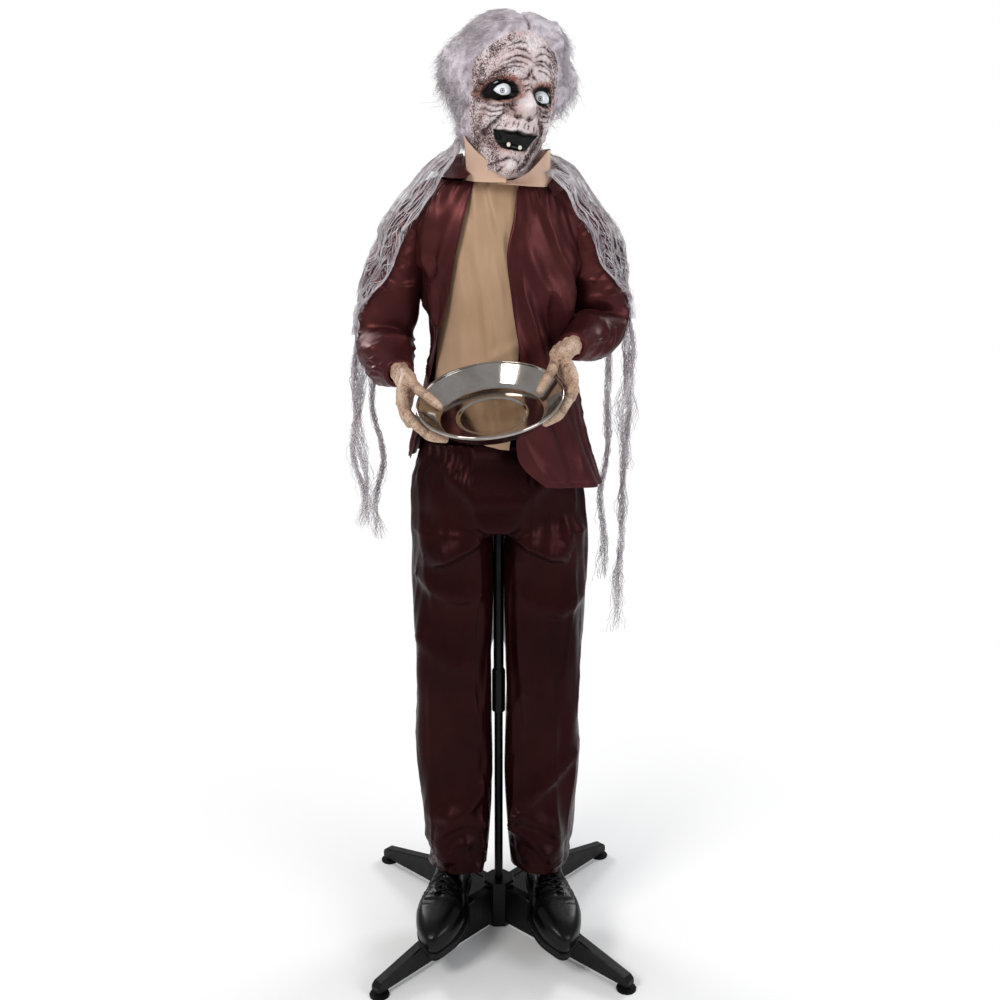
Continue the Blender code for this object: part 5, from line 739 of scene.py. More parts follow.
def satin(name, dark, light, roughness, metallic, crinkle):
    """Satin cloth: long weave floats, soft crinkles, and a colour that pales in soft patches at random."""
    finish, tree, shader = new_finish(
        name, roughness, metallic, Sheen_Weight=0.05, Sheen_Roughness=0.35, Specular_IOR_Level=0.12
    )
    shader.inputs["Sheen Tint"].default_value = light
    place = object_place(tree)
    shade = between(tree, noise(tree, place, 7.0, 3.0, 0.5), 0.30, 0.70, 0.45, 1.0)
    base = mixed(tree, shade, dark, light)
    thread = node(
        tree, "ShaderNodeTexWave", {"wave_type": "BANDS", "bands_direction": "X"},
        Vector=cloth_place(tree), Scale=420.0, Distortion=0.6, Detail=1.0,
    ).outputs["Fac"]
    cross = node(
        tree, "ShaderNodeTexWave", {"wave_type": "BANDS", "bands_direction": "Y"},
        Vector=cloth_place(tree), Scale=150.0, Distortion=0.4, Detail=1.0,
    ).outputs["Fac"]
    weave = maths(tree, "MULTIPLY", thread, cross)
    flecks = between(tree, weave, 0.0, 1.0, 0.96, 1.03)
    tree.links.new(mixed(tree, 1.0, base, flecks, "MULTIPLY"), shader.inputs["Base Color"])
    soft = relief(tree, shader, noise(tree, object_place(tree, (1.0, 1.0, 0.45)), 26.0, 3.0, 0.55), crinkle)
    relief(tree, shader, weave, 0.00005, 1.0, soft)
    rough = between(tree, noise(tree, place, 30.0, 2.0), 0.3, 0.7, roughness - 0.06, roughness + 0.08)
    tree.links.new(rough, shader.inputs["Roughness"])
    return finish


def mask_finish():
    """Painted latex skin: pale and mottled, reddish round eyes and lips, brown in its wrinkles, black in
    sockets and mouth. Painted shade darkens a band round each wrinkle, the nose's wings and the nostrils.
    """
    finish, tree, shader = new_finish("mask_latex", 0.52, Specular_IOR_Level=0.13)
    shader.inputs["Subsurface Weight"].default_value = 0.06
    shader.inputs["Subsurface Radius"].default_value = (0.006, 0.003, 0.002)
    place = object_place(tree)
    patches = between(tree, noise(tree, place, 34.0, 5.0, 0.6), 0.38, 0.66)
    base = mixed(tree, patches, colour(208, 184, 182), colour(238, 229, 230))
    # Reddish brown round the eyes and lips, and painted shade on the nose's wings
    uneven = between(tree, noise(tree, place, 150.0, 3.0), 0.3, 0.6, 0.35, 0.9)
    flush_and_shade = maths(tree, "MULTIPLY", field(tree, "flush_and_shade"), uneven)
    base = mixed(tree, flush_and_shade, base, colour(150, 84, 62))
    zones = between(tree, noise(tree, place, 30.0, 3.0), 0.36, 0.62, 0.25, 1.0)
    amount = maths(tree, "MULTIPLY", zones, field(tree, "spotty"))
    limit = between(tree, amount, 0.0, 1.0, 0.66, 0.44)
    large = maths(tree, "SUBTRACT", noise(tree, place, 430.0, 3.0, 0.75), limit)
    cells = node(tree, "ShaderNodeTexVoronoi", Vector=place, Scale=400.0).outputs["Distance"]
    nearness = maths(tree, "SUBTRACT", cells, maths(tree, "MULTIPLY", amount, 0.42))
    dots = between(tree, nearness, 0.0, -0.08, -0.03, 0.03)
    marks = between(tree, maths(tree, "MAXIMUM", large, dots), 0.0, 0.026, 0.0, 0.92)
    base = mixed(tree, marks, base, colour(66, 38, 36))
    # Brown in the wrinkles, with painted shade in a band round each, round the nose and in the nostrils
    grain = between(tree, noise(tree, place, 300.0, 3.0, 0.7), 0.32, 0.56, 0.50, 1.0)
    lines = maths(tree, "MULTIPLY", field(tree, "crease"), grain)
    base = mixed(tree, lines, base, colour(50, 22, 18))
    base = mixed(tree, field(tree, "black"), base, colour(12, 8, 9))
    tree.links.new(base, shader.inputs["Base Color"])
    gloss = between(tree, field(tree, "black"), 0.0, 1.0, 0.52, 0.34)
    tree.links.new(gloss, shader.inputs["Roughness"])
    pits = relief(tree, shader, between(tree, marks, 0.0, 1.0, 1.0, 0.0), 0.0007, 0.8)
    pores = relief(tree, shader, noise(tree, place, 520.0, 3.0, 0.65), 0.00035, 1.0, pits)
    relief(tree, shader, noise(tree, place, 120.0, 3.0, 0.6), 0.0008, 0.8, pores)
    return finish


def eye_finish(name, centre, gaze):
    """A glossy white eye with a small ringed pupil round its gaze, a few fine veins, and a white that greys
    faintly away from the gaze as painted shade.
    """
    finish, tree, shader = new_finish(name, 0.12, Coat_Weight=0.6, Coat_Roughness=0.05)
    place = node(tree, "ShaderNodeTexCoord").outputs["Object"]
    away = node(tree, "ShaderNodeVectorMath", {"operation": "SUBTRACT"}, i0=place, i1=tuple(centre))
    way = node(tree, "ShaderNodeVectorMath", {"operation": "NORMALIZE"}, i0=away.outputs[0])
    toward = node(
        tree, "ShaderNodeVectorMath", {"operation": "DOT_PRODUCT"}, i0=way.outputs[0], i1=tuple(gaze)
    )
    off = maths(tree, "ARCCOSINE", toward.outputs["Value"], 0.0)
    ramp = node(tree, "ShaderNodeValToRGB", Fac=off)
    # Pupil, iris and ring; the white greys faintly towards the eye's corners as painted shade
    stops = [
        (0.000, (14, 14, 16)), (0.060, (14, 14, 16)), (0.085, (176, 178, 182)), (0.150, (186, 188, 192)),
        (0.175, (72, 74, 80)), (0.215, (72, 74, 80)), (0.245, (232, 236, 240)), (1.000, (226, 232, 240)),
    ]
    bands = ramp.color_ramp.elements
    while len(bands) < len(stops):
        bands.new(0.5)
    for band, (position, shade) in zip(bands, stops):
        band.position = position
        band.color = colour(*shade)
    veins = node(tree, "ShaderNodeTexVoronoi", {"feature": "DISTANCE_TO_EDGE"}, Vector=place, Scale=210.0)
    line = between(tree, veins.outputs["Distance"], 0.0, 0.04, 1.0, 0.0)
    vein = maths(tree, "MULTIPLY", line, between(tree, off, 0.60, 1.2, 0.0, 0.16))
    base = mixed(tree, vein, ramp.outputs["Color"], colour(190, 120, 110))
    tree.links.new(base, shader.inputs["Base Color"])
    relief(tree, shader, noise(tree, place, 90.0, 1.0), 0.0001, 0.4)
    return finish


def hair_finish():
    """Crimped synthetic hair, grey to nearly white with a cool tinge."""
    finish, tree, shader = new_finish("hair_fibre", 0.55, Sheen_Weight=0.3, Specular_IOR_Level=0.4)
    place = object_place(tree)
    locks = between(tree, noise(tree, place, 48.0, 4.0, 0.65), 0.32, 0.68)
    base = mixed(tree, locks, colour(160, 148, 156), colour(232, 222, 230))
    base = mixed(tree, field(tree, "parting"), base, colour(84, 68, 70))
    fine = between(tree, noise(tree, object_place(tree, (1.0, 1.0, 0.3)), 520.0, 2.0), 0.3, 0.7, 0.82, 1.08)
    tree.links.new(mixed(tree, 1.0, base, fine, "MULTIPLY"), shader.inputs["Base Color"])
    relief(tree, shader, noise(tree, object_place(tree, (1.0, 1.0, 0.25)), 650.0, 2.0), 0.0005)
    return finish


def gauze_finish(name, strength, dark, light):
    """Grey-lavender open cloth. Strength is how much of the light it stops."""
    finish, tree, shader = new_finish(name, 0.85, Sheen_Weight=0.2)
    shader.inputs["Alpha"].default_value = strength
    place = object_place(tree)
    stain = between(tree, noise(tree, place, 22.0, 5.0, 0.6), 0.34, 0.68)
    base = mixed(tree, stain, dark, light)
    fine = between(tree, noise(tree, place, 700.0, 2.0), 0.3, 0.7, 0.8, 1.1)
    tree.links.new(mixed(tree, 1.0, base, fine, "MULTIPLY"), shader.inputs["Base Color"])
    relief(tree, shader, noise(tree, place, 600.0, 2.0), 0.0004)
    return finish


def hand_finish():
    """Tan moulded vinyl, darker brown in its creases and hollows."""
    finish, tree, shader = new_finish("hand_vinyl_worn", 0.46, Specular_IOR_Level=0.4)
    place = object_place(tree)
    tone = between(tree, noise(tree, place, 40.0, 4.0, 0.6), 0.35, 0.68)
    base = mixed(tree, tone, colour(176, 142, 120), colour(210, 182, 158))
    # Darker brown along the crease field, which marks wrinkles, folds and hollows
    grain = between(tree, noise(tree, place, 260.0, 3.0, 0.65), 0.35, 0.65, 0.55, 1.0)
    crease_darkening = maths(tree, "MULTIPLY", field(tree, "crease"), grain)
    base = mixed(tree, crease_darkening, base, colour(66, 40, 26))
    tree.links.new(base, shader.inputs["Base Color"])
    skin = relief(tree, shader, noise(tree, place, 420.0, 3.0, 0.6), 0.0003)
    relief(tree, shader, noise(tree, place, 90.0, 3.0, 0.6), 0.0007, 0.7, skin)
    return finish


def dish_finish():
    """Polished steel with faint turned lines and fingerprints."""
    finish, tree, shader = new_finish("dish_polished", 0.10, 1.0)
    place = node(tree, "ShaderNodeTexCoord").outputs["Object"]
    inward = dish_frame().inverted()
    local = node(
        tree, "ShaderNodeMapping", Vector=place, Location=tuple(inward.translation),
        Rotation=tuple(inward.to_euler()),
    ).outputs["Vector"]
    parts = node(tree, "ShaderNodeSeparateXYZ", Vector=local)
    squares = [maths(tree, "POWER", parts.outputs[k], 2.0) for k in (0, 1)]
    radius = maths(tree, "SQRT", maths(tree, "ADD", *squares), 0.0)
    along = node(tree, "ShaderNodeCombineXYZ", X=radius).outputs[0]
    lines = noise(tree, along, 900.0, 2.0, 0.7)
    smear = between(tree, noise(tree, place, 18.0, 4.0, 0.6), 0.42, 0.70)
    base = mixed(tree, smear, colour(184, 178, 172), colour(160, 150, 142))
    tree.links.new(base, shader.inputs["Base Color"])
    dulled = between(tree, smear, 0.0, 1.0, 0.0, 0.06)
    rough = maths(tree, "ADD", between(tree, lines, 0.3, 0.7, 0.05, 0.11), dulled)
    tree.links.new(rough, shader.inputs["Roughness"])
    relief(tree, shader, lines, 0.00003, 0.6)
    return finish


def boot_finish(name, roughness):
    """Black vinyl leather: fine grain, and paler scuffs in patches at random."""
    finish, tree, shader = new_finish(
        name, roughness, Coat_Weight=0.12, Coat_Roughness=0.20, Specular_IOR_Level=0.15
    )
    place = object_place(tree)
    scuff = between(tree, noise(tree, place, 16.0, 5.0, 0.65), 0.55, 0.75, 0.0, 0.5)
    base = mixed(tree, scuff, colour(8, 6, 9), colour(26, 23, 26))
    tree.links.new(base, shader.inputs["Base Color"])
    cells = node(tree, "ShaderNodeTexVoronoi", {"feature": "DISTANCE_TO_EDGE"}, Vector=place, Scale=420.0)
    grain = relief(tree, shader, cells.outputs["Distance"], 0.0004, 0.5)
    relief(tree, shader, noise(tree, place, 60.0, 3.0), 0.0008, 0.5, grain)
    return finish


def paint_finish(name, shade, roughness, metallic=0.0, grain=300.0, worn=(70, 70, 74)):
    """Moulded plastic or coated metal: a fine skin, faint mottling, rubbed lighter in places."""
    finish, tree, shader = new_finish(name, roughness, metallic, Specular_IOR_Level=0.22)
    place = object_place(tree)
    rubbed = between(tree, noise(tree, place, 22.0, 5.0, 0.65), 0.58, 0.78, 0.0, 0.35)
    mottled = between(tree, noise(tree, place, 6.0, 3.0), 0.3, 0.7, 0.86, 1.1)
    base = mixed(tree, rubbed, colour(*shade), colour(*worn))
    tree.links.new(mixed(tree, 1.0, base, mottled, "MULTIPLY"), shader.inputs["Base Color"])
    spread = between(tree, noise(tree, place, 45.0, 3.0), 0.3, 0.7, roughness - 0.08, roughness + 0.10)
    tree.links.new(spread, shader.inputs["Roughness"])
    relief(tree, shader, noise(tree, place, grain, 3.0, 0.6), 0.0002, 0.6)
    return finish


def drawn_metal(name, shade, roughness):
    """Bare drawn or turned metal, with fine lines along Z and a little tarnish."""
    finish, tree, shader = new_finish(name, roughness, 1.0)
    tarnish = between(tree, noise(tree, object_place(tree), 30.0, 4.0), 0.4, 0.7)
    darker = tuple(0.75 * v for v in colour(*shade)[:3]) + (1.0,)
    tree.links.new(mixed(tree, tarnish, colour(*shade), darker), shader.inputs["Base Color"])
    lines = noise(tree, object_place(tree, (1.0, 1.0, 0.02)), 1400.0, 2.0)
    relief(tree, shader, lines, 0.00005, 0.6)
    spread = between(tree, lines, 0.3, 0.7, roughness - 0.05, roughness + 0.1)
    tree.links.new(spread, shader.inputs["Roughness"])
    return finish


# The head


def head_frame():
    """From the head's own frame to the row frame at rest."""
    yaw = Matrix.Rotation(math.radians(HEAD_YAW_DEG), 4, "Z")
    roll = Matrix.Rotation(math.radians(HEAD_ROLL_DEG), 4, "Y")
    pitch = Matrix.Rotation(math.radians(-HEAD_PITCH_DEG), 4, "X")
    return Matrix.Translation(Vector(HEAD_CENTRE)) @ yaw @ roll @ pitch


def face_form(x, z):
    """How far the plain face stands out from the head: the sum of soft hills and hollows."""
    single = sum(high * bump(x, z, *hill) for high, *hill in FACE_HILLS)
    return single + sum(high * bump(np.abs(x), z, *hill) for high, *hill in PAIRED_HILLS)


def face_middle(z):
    """X of the face's middle line at a height of the head."""
    return FACE_SHIFT + FACE_LEAN * (z + FACE_DROP - EYE_HEIGHT)


def wrinkle_field(x, z):
    """Depth of the wrinkles and how dark they are: a soft groove round each curved line, painted dark along
    it with a wider band of painted shade round it.
    """
    depth = np.zeros_like(x)
    dark = np.zeros_like(x)
    rng = np.random.default_rng(11)
    wander = 0.0009 * ripples(np.stack([x, z, x * 0], axis=-1), 0.011, 5)
    for width, deep, points in PAIRED_WRINKLES:
        for sign in (-1, 1):
            shift = rng.normal(0, 0.0008, size=(1, 2))
            line = through(np.array(points) + shift, np.linspace(0, 1, WRINKLE_STEPS)) * np.array([sign, 1])
            low, high = line.min(axis=0) - 0.008, line.max(axis=0) + 0.008
            near = (x > low[0]) & (x < high[0]) & (z > low[1]) & (z < high[1])
            spots = np.stack([x[near] + wander[near], z[near] + wander[near]], axis=-1)
            apart = np.linalg.norm(spots[:, None] - line[None], axis=2)
            nearest = apart.argmin(axis=1)
            taper = np.sin(math.pi * np.clip(nearest / (WRINKLE_STEPS - 1), 0.06, 0.94)) ** 0.7
            swell = np.convolve(rng.normal(size=WRINKLE_STEPS + 2), [0.5] * 3, "valid")
            uneven = np.interp(nearest, np.arange(WRINKLE_STEPS), 0.75 + 0.35 * swell)
            broad = width * np.clip(uneven, 0.45, 1.5)
            gap = apart.min(axis=1) / broad
            depth[near] += deep * taper * (ridge(gap, 0, 1) - 0.42 * ridge(gap, 0, 2.6))
            # The line is painted dark, and a wider band round it gets painted shade
            paint = ridge(gap, 0, 1) + 0.40 * ridge(gap, 0, 3)
            dark[near] = np.maximum(dark[near], taper * np.minimum(paint, 1))
    return depth, dark


def head_surface(rows, columns):
    """The mask's outer face: oval rings down the head, then an upright neck.

    Returns the points in the row frame, and for each point its paint: crease, black, flush, spotty. Crease
    and flush also carry painted shade round the wrinkles, the nose's wings and the nostrils.
    """
    even = np.linspace(-math.pi, math.pi, columns, endpoint=False)
    angles = -math.pi / 2 + even - FACE_CROWDING * np.sin(even)
    z0, wide, front, back, middle = levels(HEAD_STATIONS, np.linspace(0, 1, rows))
    nape = smoothstep(-z0, 0.04, 0.124) * smoothstep(np.sin(angles), -0.3, 0.9)
    ahead = smoothstep(-np.sin(angles), 0.0, 0.7)[None, :]
    x, y = oval(angles[None, :], wide, np.maximum(front, 0.001), back, HEAD_OVAL_POWER)
    # The jaw narrows and drops to a rounded chin, off to one side
    jaw = smoothstep(-z0, 0.052, 0.124) * ahead
    z = z0 + NAPE_RISE * nape - CHIN_DROP * jaw * ridge(x, 0, 0.036)
    x = x * (1 - 0.40 * jaw) + (face_middle(z) - face_middle(0.02)) * smoothstep(-z0, 0.0, 0.10) * ahead
    y = y * (1 - 0.20 * smoothstep(-z0, 0.106, 0.126) * ahead)
    facing = smoothstep(-np.sin(angles), 0.05, 0.5)[None, :] * np.ones_like(z)
    xf, zf = x - face_middle(z), z + FACE_DROP
    y = y + middle - face_form(xf, zf) * facing
    depth, crease = wrinkle_field(xf, zf)
    y = y + depth * facing
    spots = np.stack([x, y, z], axis=-1)
    lumps = 0.0010 * ripples(spots, 0.016, 21) + 0.0006 * ripples(spots, 0.007, 22)
    out = np.stack([x, y, 0 * x], axis=-1)
    out /= np.maximum(np.linalg.norm(out, axis=-1, keepdims=True), 1e-6)
    shift = lumps * smoothstep(0.118 - z0, 0, 0.02)
    x = x + out[..., 0] * shift
    y = y + out[..., 1] * shift
    # Each socket is painted black round an almond, inside which the eye itself shows
    black = np.zeros_like(x)
    flush_and_shade = np.zeros_like(x)
    for sign in (-1, 1):
        dx = (xf - sign * EYE_SPACING / 2) * sign
        dz = zf - EYE_HEIGHT
        ball = EYE_DEPTH - np.sqrt(np.maximum(EYE_RADIUS**2 - dx**2 - dz**2, 0))
        round_eye = np.hypot(dx, dz)
        lid = np.where(round_eye < EYE_RADIUS + 0.003, ball - 0.0024, 1.0)
        lid = lid + 0.03 * smoothstep(round_eye, EYE_RADIUS + 0.0005, EYE_RADIUS + 0.005)
        y = np.where((facing > 0.5) & (lid < y), lid, y)
        tall = np.where(dz > 0, 0.0100, 0.0086)
        almond = (np.abs(dx) / 0.0150) ** 1.7 + (np.abs(dz + 0.10 * dx) / tall) ** 1.7
        open_eye = smoothstep(almond, 1.05, 0.97) * (facing > 0.5)
        y = y + open_eye * np.maximum(ball + 0.004 - y, 0)
        wave = 0.0009 * ripples(spots, 0.010, 31 + sign)
        tall = np.where(dz > 0, 0.0180, 0.0160)
        around = ((dx - 0.001) / 0.0235) ** 2 + ((dz + 0.001 + wave) / tall) ** 2
        black = np.maximum(black, smoothstep(around, 1.25, 0.80) * (facing > 0.3))
        flush_and_shade = np.maximum(flush_and_shade, smoothstep(around, 2.3, 1.1) * (facing > 0.2))
    # The mouth is an open half moon with a black inside
    across = np.abs(xf) / MOUTH_HALF_WIDTH
    top = UPPER_LIP_Z + 0.0010 * np.cos(across * 9) + 0.003 * smoothstep(across, 0.8, 1.0)
    bottom = LOWER_LIP_Z + 0.0275 * across**3.2
    inside = np.minimum(top - zf, zf - bottom)
    opening = smoothstep(inside, -0.0006, 0.0014) * (across < 1.0) * (facing > 0.4)
    y = y * (1 - opening) + np.maximum(y, MOUTH_DEPTH) * opening
    near_mouth = smoothstep(inside, -0.0030, 0.0004) * (across < 1.08) * (facing > 0.4)
    black = np.maximum(black, near_mouth)
    lip = smoothstep(inside, -0.0130, -0.002) * smoothstep(LOWER_LIP_Z + 0.020 - zf, 0.0, 0.006)
    flush_and_shade = np.maximum(flush_and_shade, 0.75 * lip * (across < 1.25) * (facing > 0.4))
    # The nostrils are pressed in and darkened with painted shade
    nostril = bump(np.abs(xf), zf, *NOSTRIL) * facing
    y = y + 0.006 * nostril
    crease = np.maximum(np.minimum(1.35 * crease, 1) * facing, smoothstep(nostril, 0.25, 0.7))
    spotty = 0.42 + 0.58 * smoothstep(np.abs(xf), 0.018, 0.052) + 0.35 * smoothstep(-zf, 0.04, 0.09)
    spotty = spotty - 0.30 * bump(xf, zf, 0, -0.018, 0.012, 0.012)
    # Painted shade on the nose's wings, to round the nose
    flush_and_shade = np.maximum(flush_and_shade, 0.40 * bump(np.abs(xf), zf, 0.016, -0.022, 0.008, 0.010) * facing)
    head = turned(head_frame(), np.stack([x, y, z], axis=-1))
    last = head[-1]
    turn = np.unwrap(np.arctan2(last[:, 1], last[:, 0]))
    rim = np.stack([NECK_SKIRT_RADIUS * np.cos(turn), NECK_SKIRT_RADIUS * np.sin(turn), 0 * turn], axis=-1)
    rim[:, 2] = NECK_SKIRT_BOTTOM_Z
    share = np.linspace(0, 1, NECK_ROWS + 1)[1:, None, None]
    ease = np.sin(share * math.pi / 2)
    neck = last[None] * (1 - ease) + rim[None] * ease
    neck[..., 2] = last[None, :, 2] * (1 - share[..., 0]) + NECK_SKIRT_BOTTOM_Z * share[..., 0]
    paints = [crease, black, flush_and_shade, np.clip(spotty, 0, 1)]
    paints = [np.concatenate([paint, np.repeat(paint[-1:] * 0.5, NECK_ROWS, axis=0)]) for paint in paints]
    return np.concatenate([head, neck]), dict(zip(("crease", "black", "flush_and_shade", "spotty"), paints))


def dress_mask(settings):
    """The wrinkled latex skin in place of the plain mask, and the eyes and teeth set in it."""
    points, paints = head_surface(settings.skin_rows, settings.skin_columns)
    rows, columns = points.shape[:2]
    cells = grid_cells(rows, columns, wrap=True)[:, ::-1]
    skin = make_object("mask_skin", points, cells, mask_finish(), fields=paints)
    tidy_mesh(skin)
    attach(skin, "head")
    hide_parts("mask")
    place = head_frame()
    target = Vector(CAMERA_PLACE)
    for side, sign in (("right", -1), ("left", 1)):
        low = EYE_HEIGHT - FACE_DROP
        local = np.array([sign * EYE_SPACING / 2 + face_middle(low), EYE_DEPTH, low])
        centre = place @ Vector(local)
        ahead = (place.to_3x3() @ Vector((0, -1, 0))).normalized()
        gaze = (0.55 * (target - centre).normalized() + 0.45 * ahead).normalized()
        finish = eye_finish(f"eye_white_{side}", centre, gaze)
        eye = make_balls(f"eye_ball_{side}", [(local, (EYE_RADIUS,) * 3)], finish)
        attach(eye, "head")
        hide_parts(f"eye_{side}")
    enamel = paint_finish("tooth_enamel", (236, 230, 216), 0.18, grain=500.0, worn=(206, 190, 160))
    gum = paint_finish("gum_black", (14, 9, 10), 0.22, grain=180.0, worn=(30, 20, 20))
    teeth = make_balls("teeth_white", [(face_spot(*spot), TOOTH_SIZES) for spot in TOOTH_PLACES], enamel)
    tongue = make_balls("mouth_tongue", [(face_spot(*TONGUE_PLACE), TONGUE_SIZES)], gum)
    for piece in (teeth, tongue):
        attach(piece, "head")
    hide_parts("teeth")


def face_spot(u, v, y):
    """A place on the face, from its own middle line, in the head's frame."""
    z = v - FACE_DROP
    return np.array([u + face_middle(z), y, z])


def make_balls(name, balls, finish, rows=36, columns=56):
    """Smooth balls or eggs, each a centre and half sizes in the head's frame, as one piece."""
    turn = np.linspace(0, math.tau, columns, endpoint=False)[None, :]
    rise = np.linspace(-math.pi / 2, math.pi / 2, rows)[:, None]
    level = np.cos(rise)
    unit = np.stack([level * np.cos(turn), level * np.sin(turn), np.sin(rise) + 0 * turn], axis=-1)
    points = np.concatenate([(unit * np.array(sizes) + centre).reshape(-1, 3) for centre, sizes in balls])
    cells = [grid_cells(rows, columns, wrap=True, start=k * rows * columns) for k in range(len(balls))]
    thing = make_object(name, turned(head_frame(), points), np.concatenate(cells), finish)
    tidy_mesh(thing)
    return thing


def refinish(thing, finish):
    """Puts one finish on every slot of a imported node."""
    if not thing.material_slots:
        thing.data.materials.append(finish)
    for slot in thing.material_slots:
        slot.material = finish


# Hair


def hairline(grid):
    """Where hair grows: behind an arch over the brow, and round the sides and nape."""
    x, y, z = (grid[..., k] for k in range(3))
    arch = ((x - PARTING_X) / 0.079) ** 2 + ((z - 0.004) / 0.086) ** 2
    ahead = y < -0.012
    face = (ahead & (arch < 1)) | (ahead & (z < 0.010)) | ((y < -0.002) & (z < -0.030))
    return np.where(face, 0.0, 1.0) * (z > -0.078)


def hair_shell(rows, columns):
    """The combed mass of hair: the scalp's grid, the hair's face over it, its directions out and edge."""
    even = np.linspace(-math.pi, math.pi, columns, endpoint=False)
    z0, wide, front, back, middle = levels(HEAD_STATIONS, np.linspace(0.0, 0.90, rows))
    z = z0 + NAPE_RISE * smoothstep(-z0, 0.04, 0.124) * smoothstep(np.sin(even), -0.3, 0.9)
    x, y = oval(even[None, :], wide, np.maximum(front, 0.001), back, HEAD_OVAL_POWER)
    grid = np.stack([x, y + middle, z], axis=-1)
    beside = np.abs(x) / np.maximum(np.hypot(x, y), 1e-6)
    behind = smoothstep(np.sin(even), -0.45, 0.1)[None, :]
    spread = np.where(z < 0.030, 0.030, 0.044)
    tuft = TUFT_DEPTH * beside**2.2 * ridge(z, 0.030, spread) * behind * np.where(x > 0, 1.35, 1.0)
    crown = 0.012 * bump(x, z, 0.055, 0.090, 0.028, 0.030)
    thick = 0.0075 + tuft + crown + 0.006 * behind * (1 - beside)
    thick = thick * (0.25 + 0.75 * smoothstep(z, -0.060, 0.020))
    edge = hairline(grid)
    for _ in range(5):
        edge = (edge + np.roll(edge, 1, axis=1) + np.roll(edge, -1, axis=1)) / 3
        edge[1:-1] = (edge[:-2] + edge[1:-1] + edge[2:]) / 3
    locks = 0.0012 * ripples(grid * np.array([0.5, 1, 1]), 0.014, 71) + 0.0022 * ripples(grid, 0.035, 72)
    parting = 0.0085 * ridge(x, PARTING_X, 0.0045) * smoothstep(z, 0.080, 0.100) * smoothstep(-y, -0.03, 0.0)
    away = np.stack([x, y, 0.9 * z], axis=-1)
    away /= np.maximum(np.linalg.norm(away, axis=-1, keepdims=True), 1e-6)
    rise = (thick + locks * (0.5 + 0.8 * beside)) * smoothstep(edge, 0.05, 0.75) - parting
    rise = np.where(edge < 0.06, -0.004, rise)
    return grid, grid + away * rise[..., None], away, edge


def hair_group(name, where, count, seed, length, lift, curl, steps, radius, droop):
    """Fine strands: each lies along the combed mass, rises a little from it and ends in a loose curl."""
    rng = np.random.default_rng(seed)
    scalp, face, out, edge = hair_shell(120, 180)
    area = np.hypot(scalp[..., 0], scalp[..., 1])
    allowed = where(scalp) * (edge > 0.3) * area
    chosen = rng.choice(allowed.size, size=count, p=(allowed / allowed.sum()).ravel())
    roots = face.reshape(-1, 3)[chosen] + rng.normal(0, 0.0014, size=(count, 3))
    away = out.reshape(-1, 3)[chosen]
    roots = roots - away * 0.0015
    x, z = roots[:, 0], roots[:, 2]
    beside = np.clip(np.abs(x) / 0.09, 0, 1)
    side = np.sign(x - PARTING_X)
    over = smoothstep(z, 0.050, 0.105)
    comb = np.stack([side * (0.55 + 0.5 * over), 0.32 + 0.35 * over, -droop * (1 - over) - 0.15], axis=1)
    comb += rng.normal(0, 0.20, size=comb.shape)
    comb -= away * (comb * away).sum(axis=1)[:, None]
    comb /= np.linalg.norm(comb, axis=1, keepdims=True)
    reach = length * rng.uniform(0.5, 1.25, count)
    rise = reach * lift * rng.uniform(0.1, 1.4, count)
    share = np.linspace(0, 1, steps)[None, :, None]
    path = roots[:, None] + comb[:, None] * reach[:, None, None] * share
    sag = 4.2 * reach[:, None, None] ** 2 * share**2
    path = path + away[:, None] * (rise[:, None, None] * share**1.4 - sag)
    turns = rng.uniform(0.7, 2.2, count)[:, None, None]
    phase = rng.uniform(0, math.tau, count)[:, None, None]
    swing = curl * rng.uniform(0.3, 1.5, count)[:, None, None] * (0.4 + beside)[:, None, None] * share
    first = np.cross(comb, away)
    path = path + first[:, None] * swing * np.sin(turns * math.tau * share + phase)
    path = path + away[:, None] * swing * np.cos(turns * math.tau * share + phase)
    path = path + 0.0016 * ripples(path, 0.018, seed + 3)[..., None] * share * first[:, None]
    points, cells = strands(turned(head_frame(), path), radius * np.linspace(1, 0.35, steps))
    thing = make_object(name, points, cells, bpy.data.materials["hair_fibre"])
    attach(thing, "head")
    return thing


def dress_hair(settings):
    """A combed mass of hair with a parting, fine strands over it, and wisps below the tufts."""
    finish = hair_finish()
    rows, columns = 150, 240
    _, face, _, edge = hair_shell(rows, columns)
    cells = grid_cells(rows, columns, wrap=True)[:, ::-1]
    keep = (edge.ravel()[cells] > 0.02).any(axis=1)
    line = ridge(face[..., 0], PARTING_X, 0.0022) * (face[..., 2] > 0.075) * (face[..., 1] < 0.01)
    place = turned(head_frame(), face)
    cap = make_object("hair_under_layer", place, cells[keep], finish, fields={"parting": line})
    tidy_mesh(cap)
    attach(cap, "head")
    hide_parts("wig")

    def top(grid):
        return (grid[..., 2] > 0.060) * (np.abs(grid[..., 0] - PARTING_X) > 0.0075)

    def right(grid):
        return (grid[..., 2] < 0.085) * (grid[..., 0] < -0.02)

    def left(grid):
        return (grid[..., 2] < 0.085) * (grid[..., 0] > 0.02)

    def nape(grid):
        return (grid[..., 1] > 0.03) * (grid[..., 2] < 0.09)

    def low_sides(grid):
        return (np.abs(grid[..., 0]) > 0.045) * (grid[..., 2] < 0.012)

    count = settings.strand_count
    radius = settings.strand_radius
    hair_group("hair_crown", top, count, 101, 0.030, 0.10, 0.0010, 8, radius, 0.3)
    hair_group("hair_side_right", right, count, 102, 0.024, 0.34, 0.0024, 8, radius, 0.55)
    hair_group("hair_side_left", left, count, 103, 0.024, 0.34, 0.0024, 8, radius, 0.55)
    hair_group("hair_nape", nape, int(count * 0.7), 104, 0.028, 0.22, 0.0022, 8, radius, 0.9)
    hair_group("hair_wisps", low_sides, 260, 105, 0.036, 0.50, 0.0070, 26, radius * 0.9, 1.1)


# Clothes


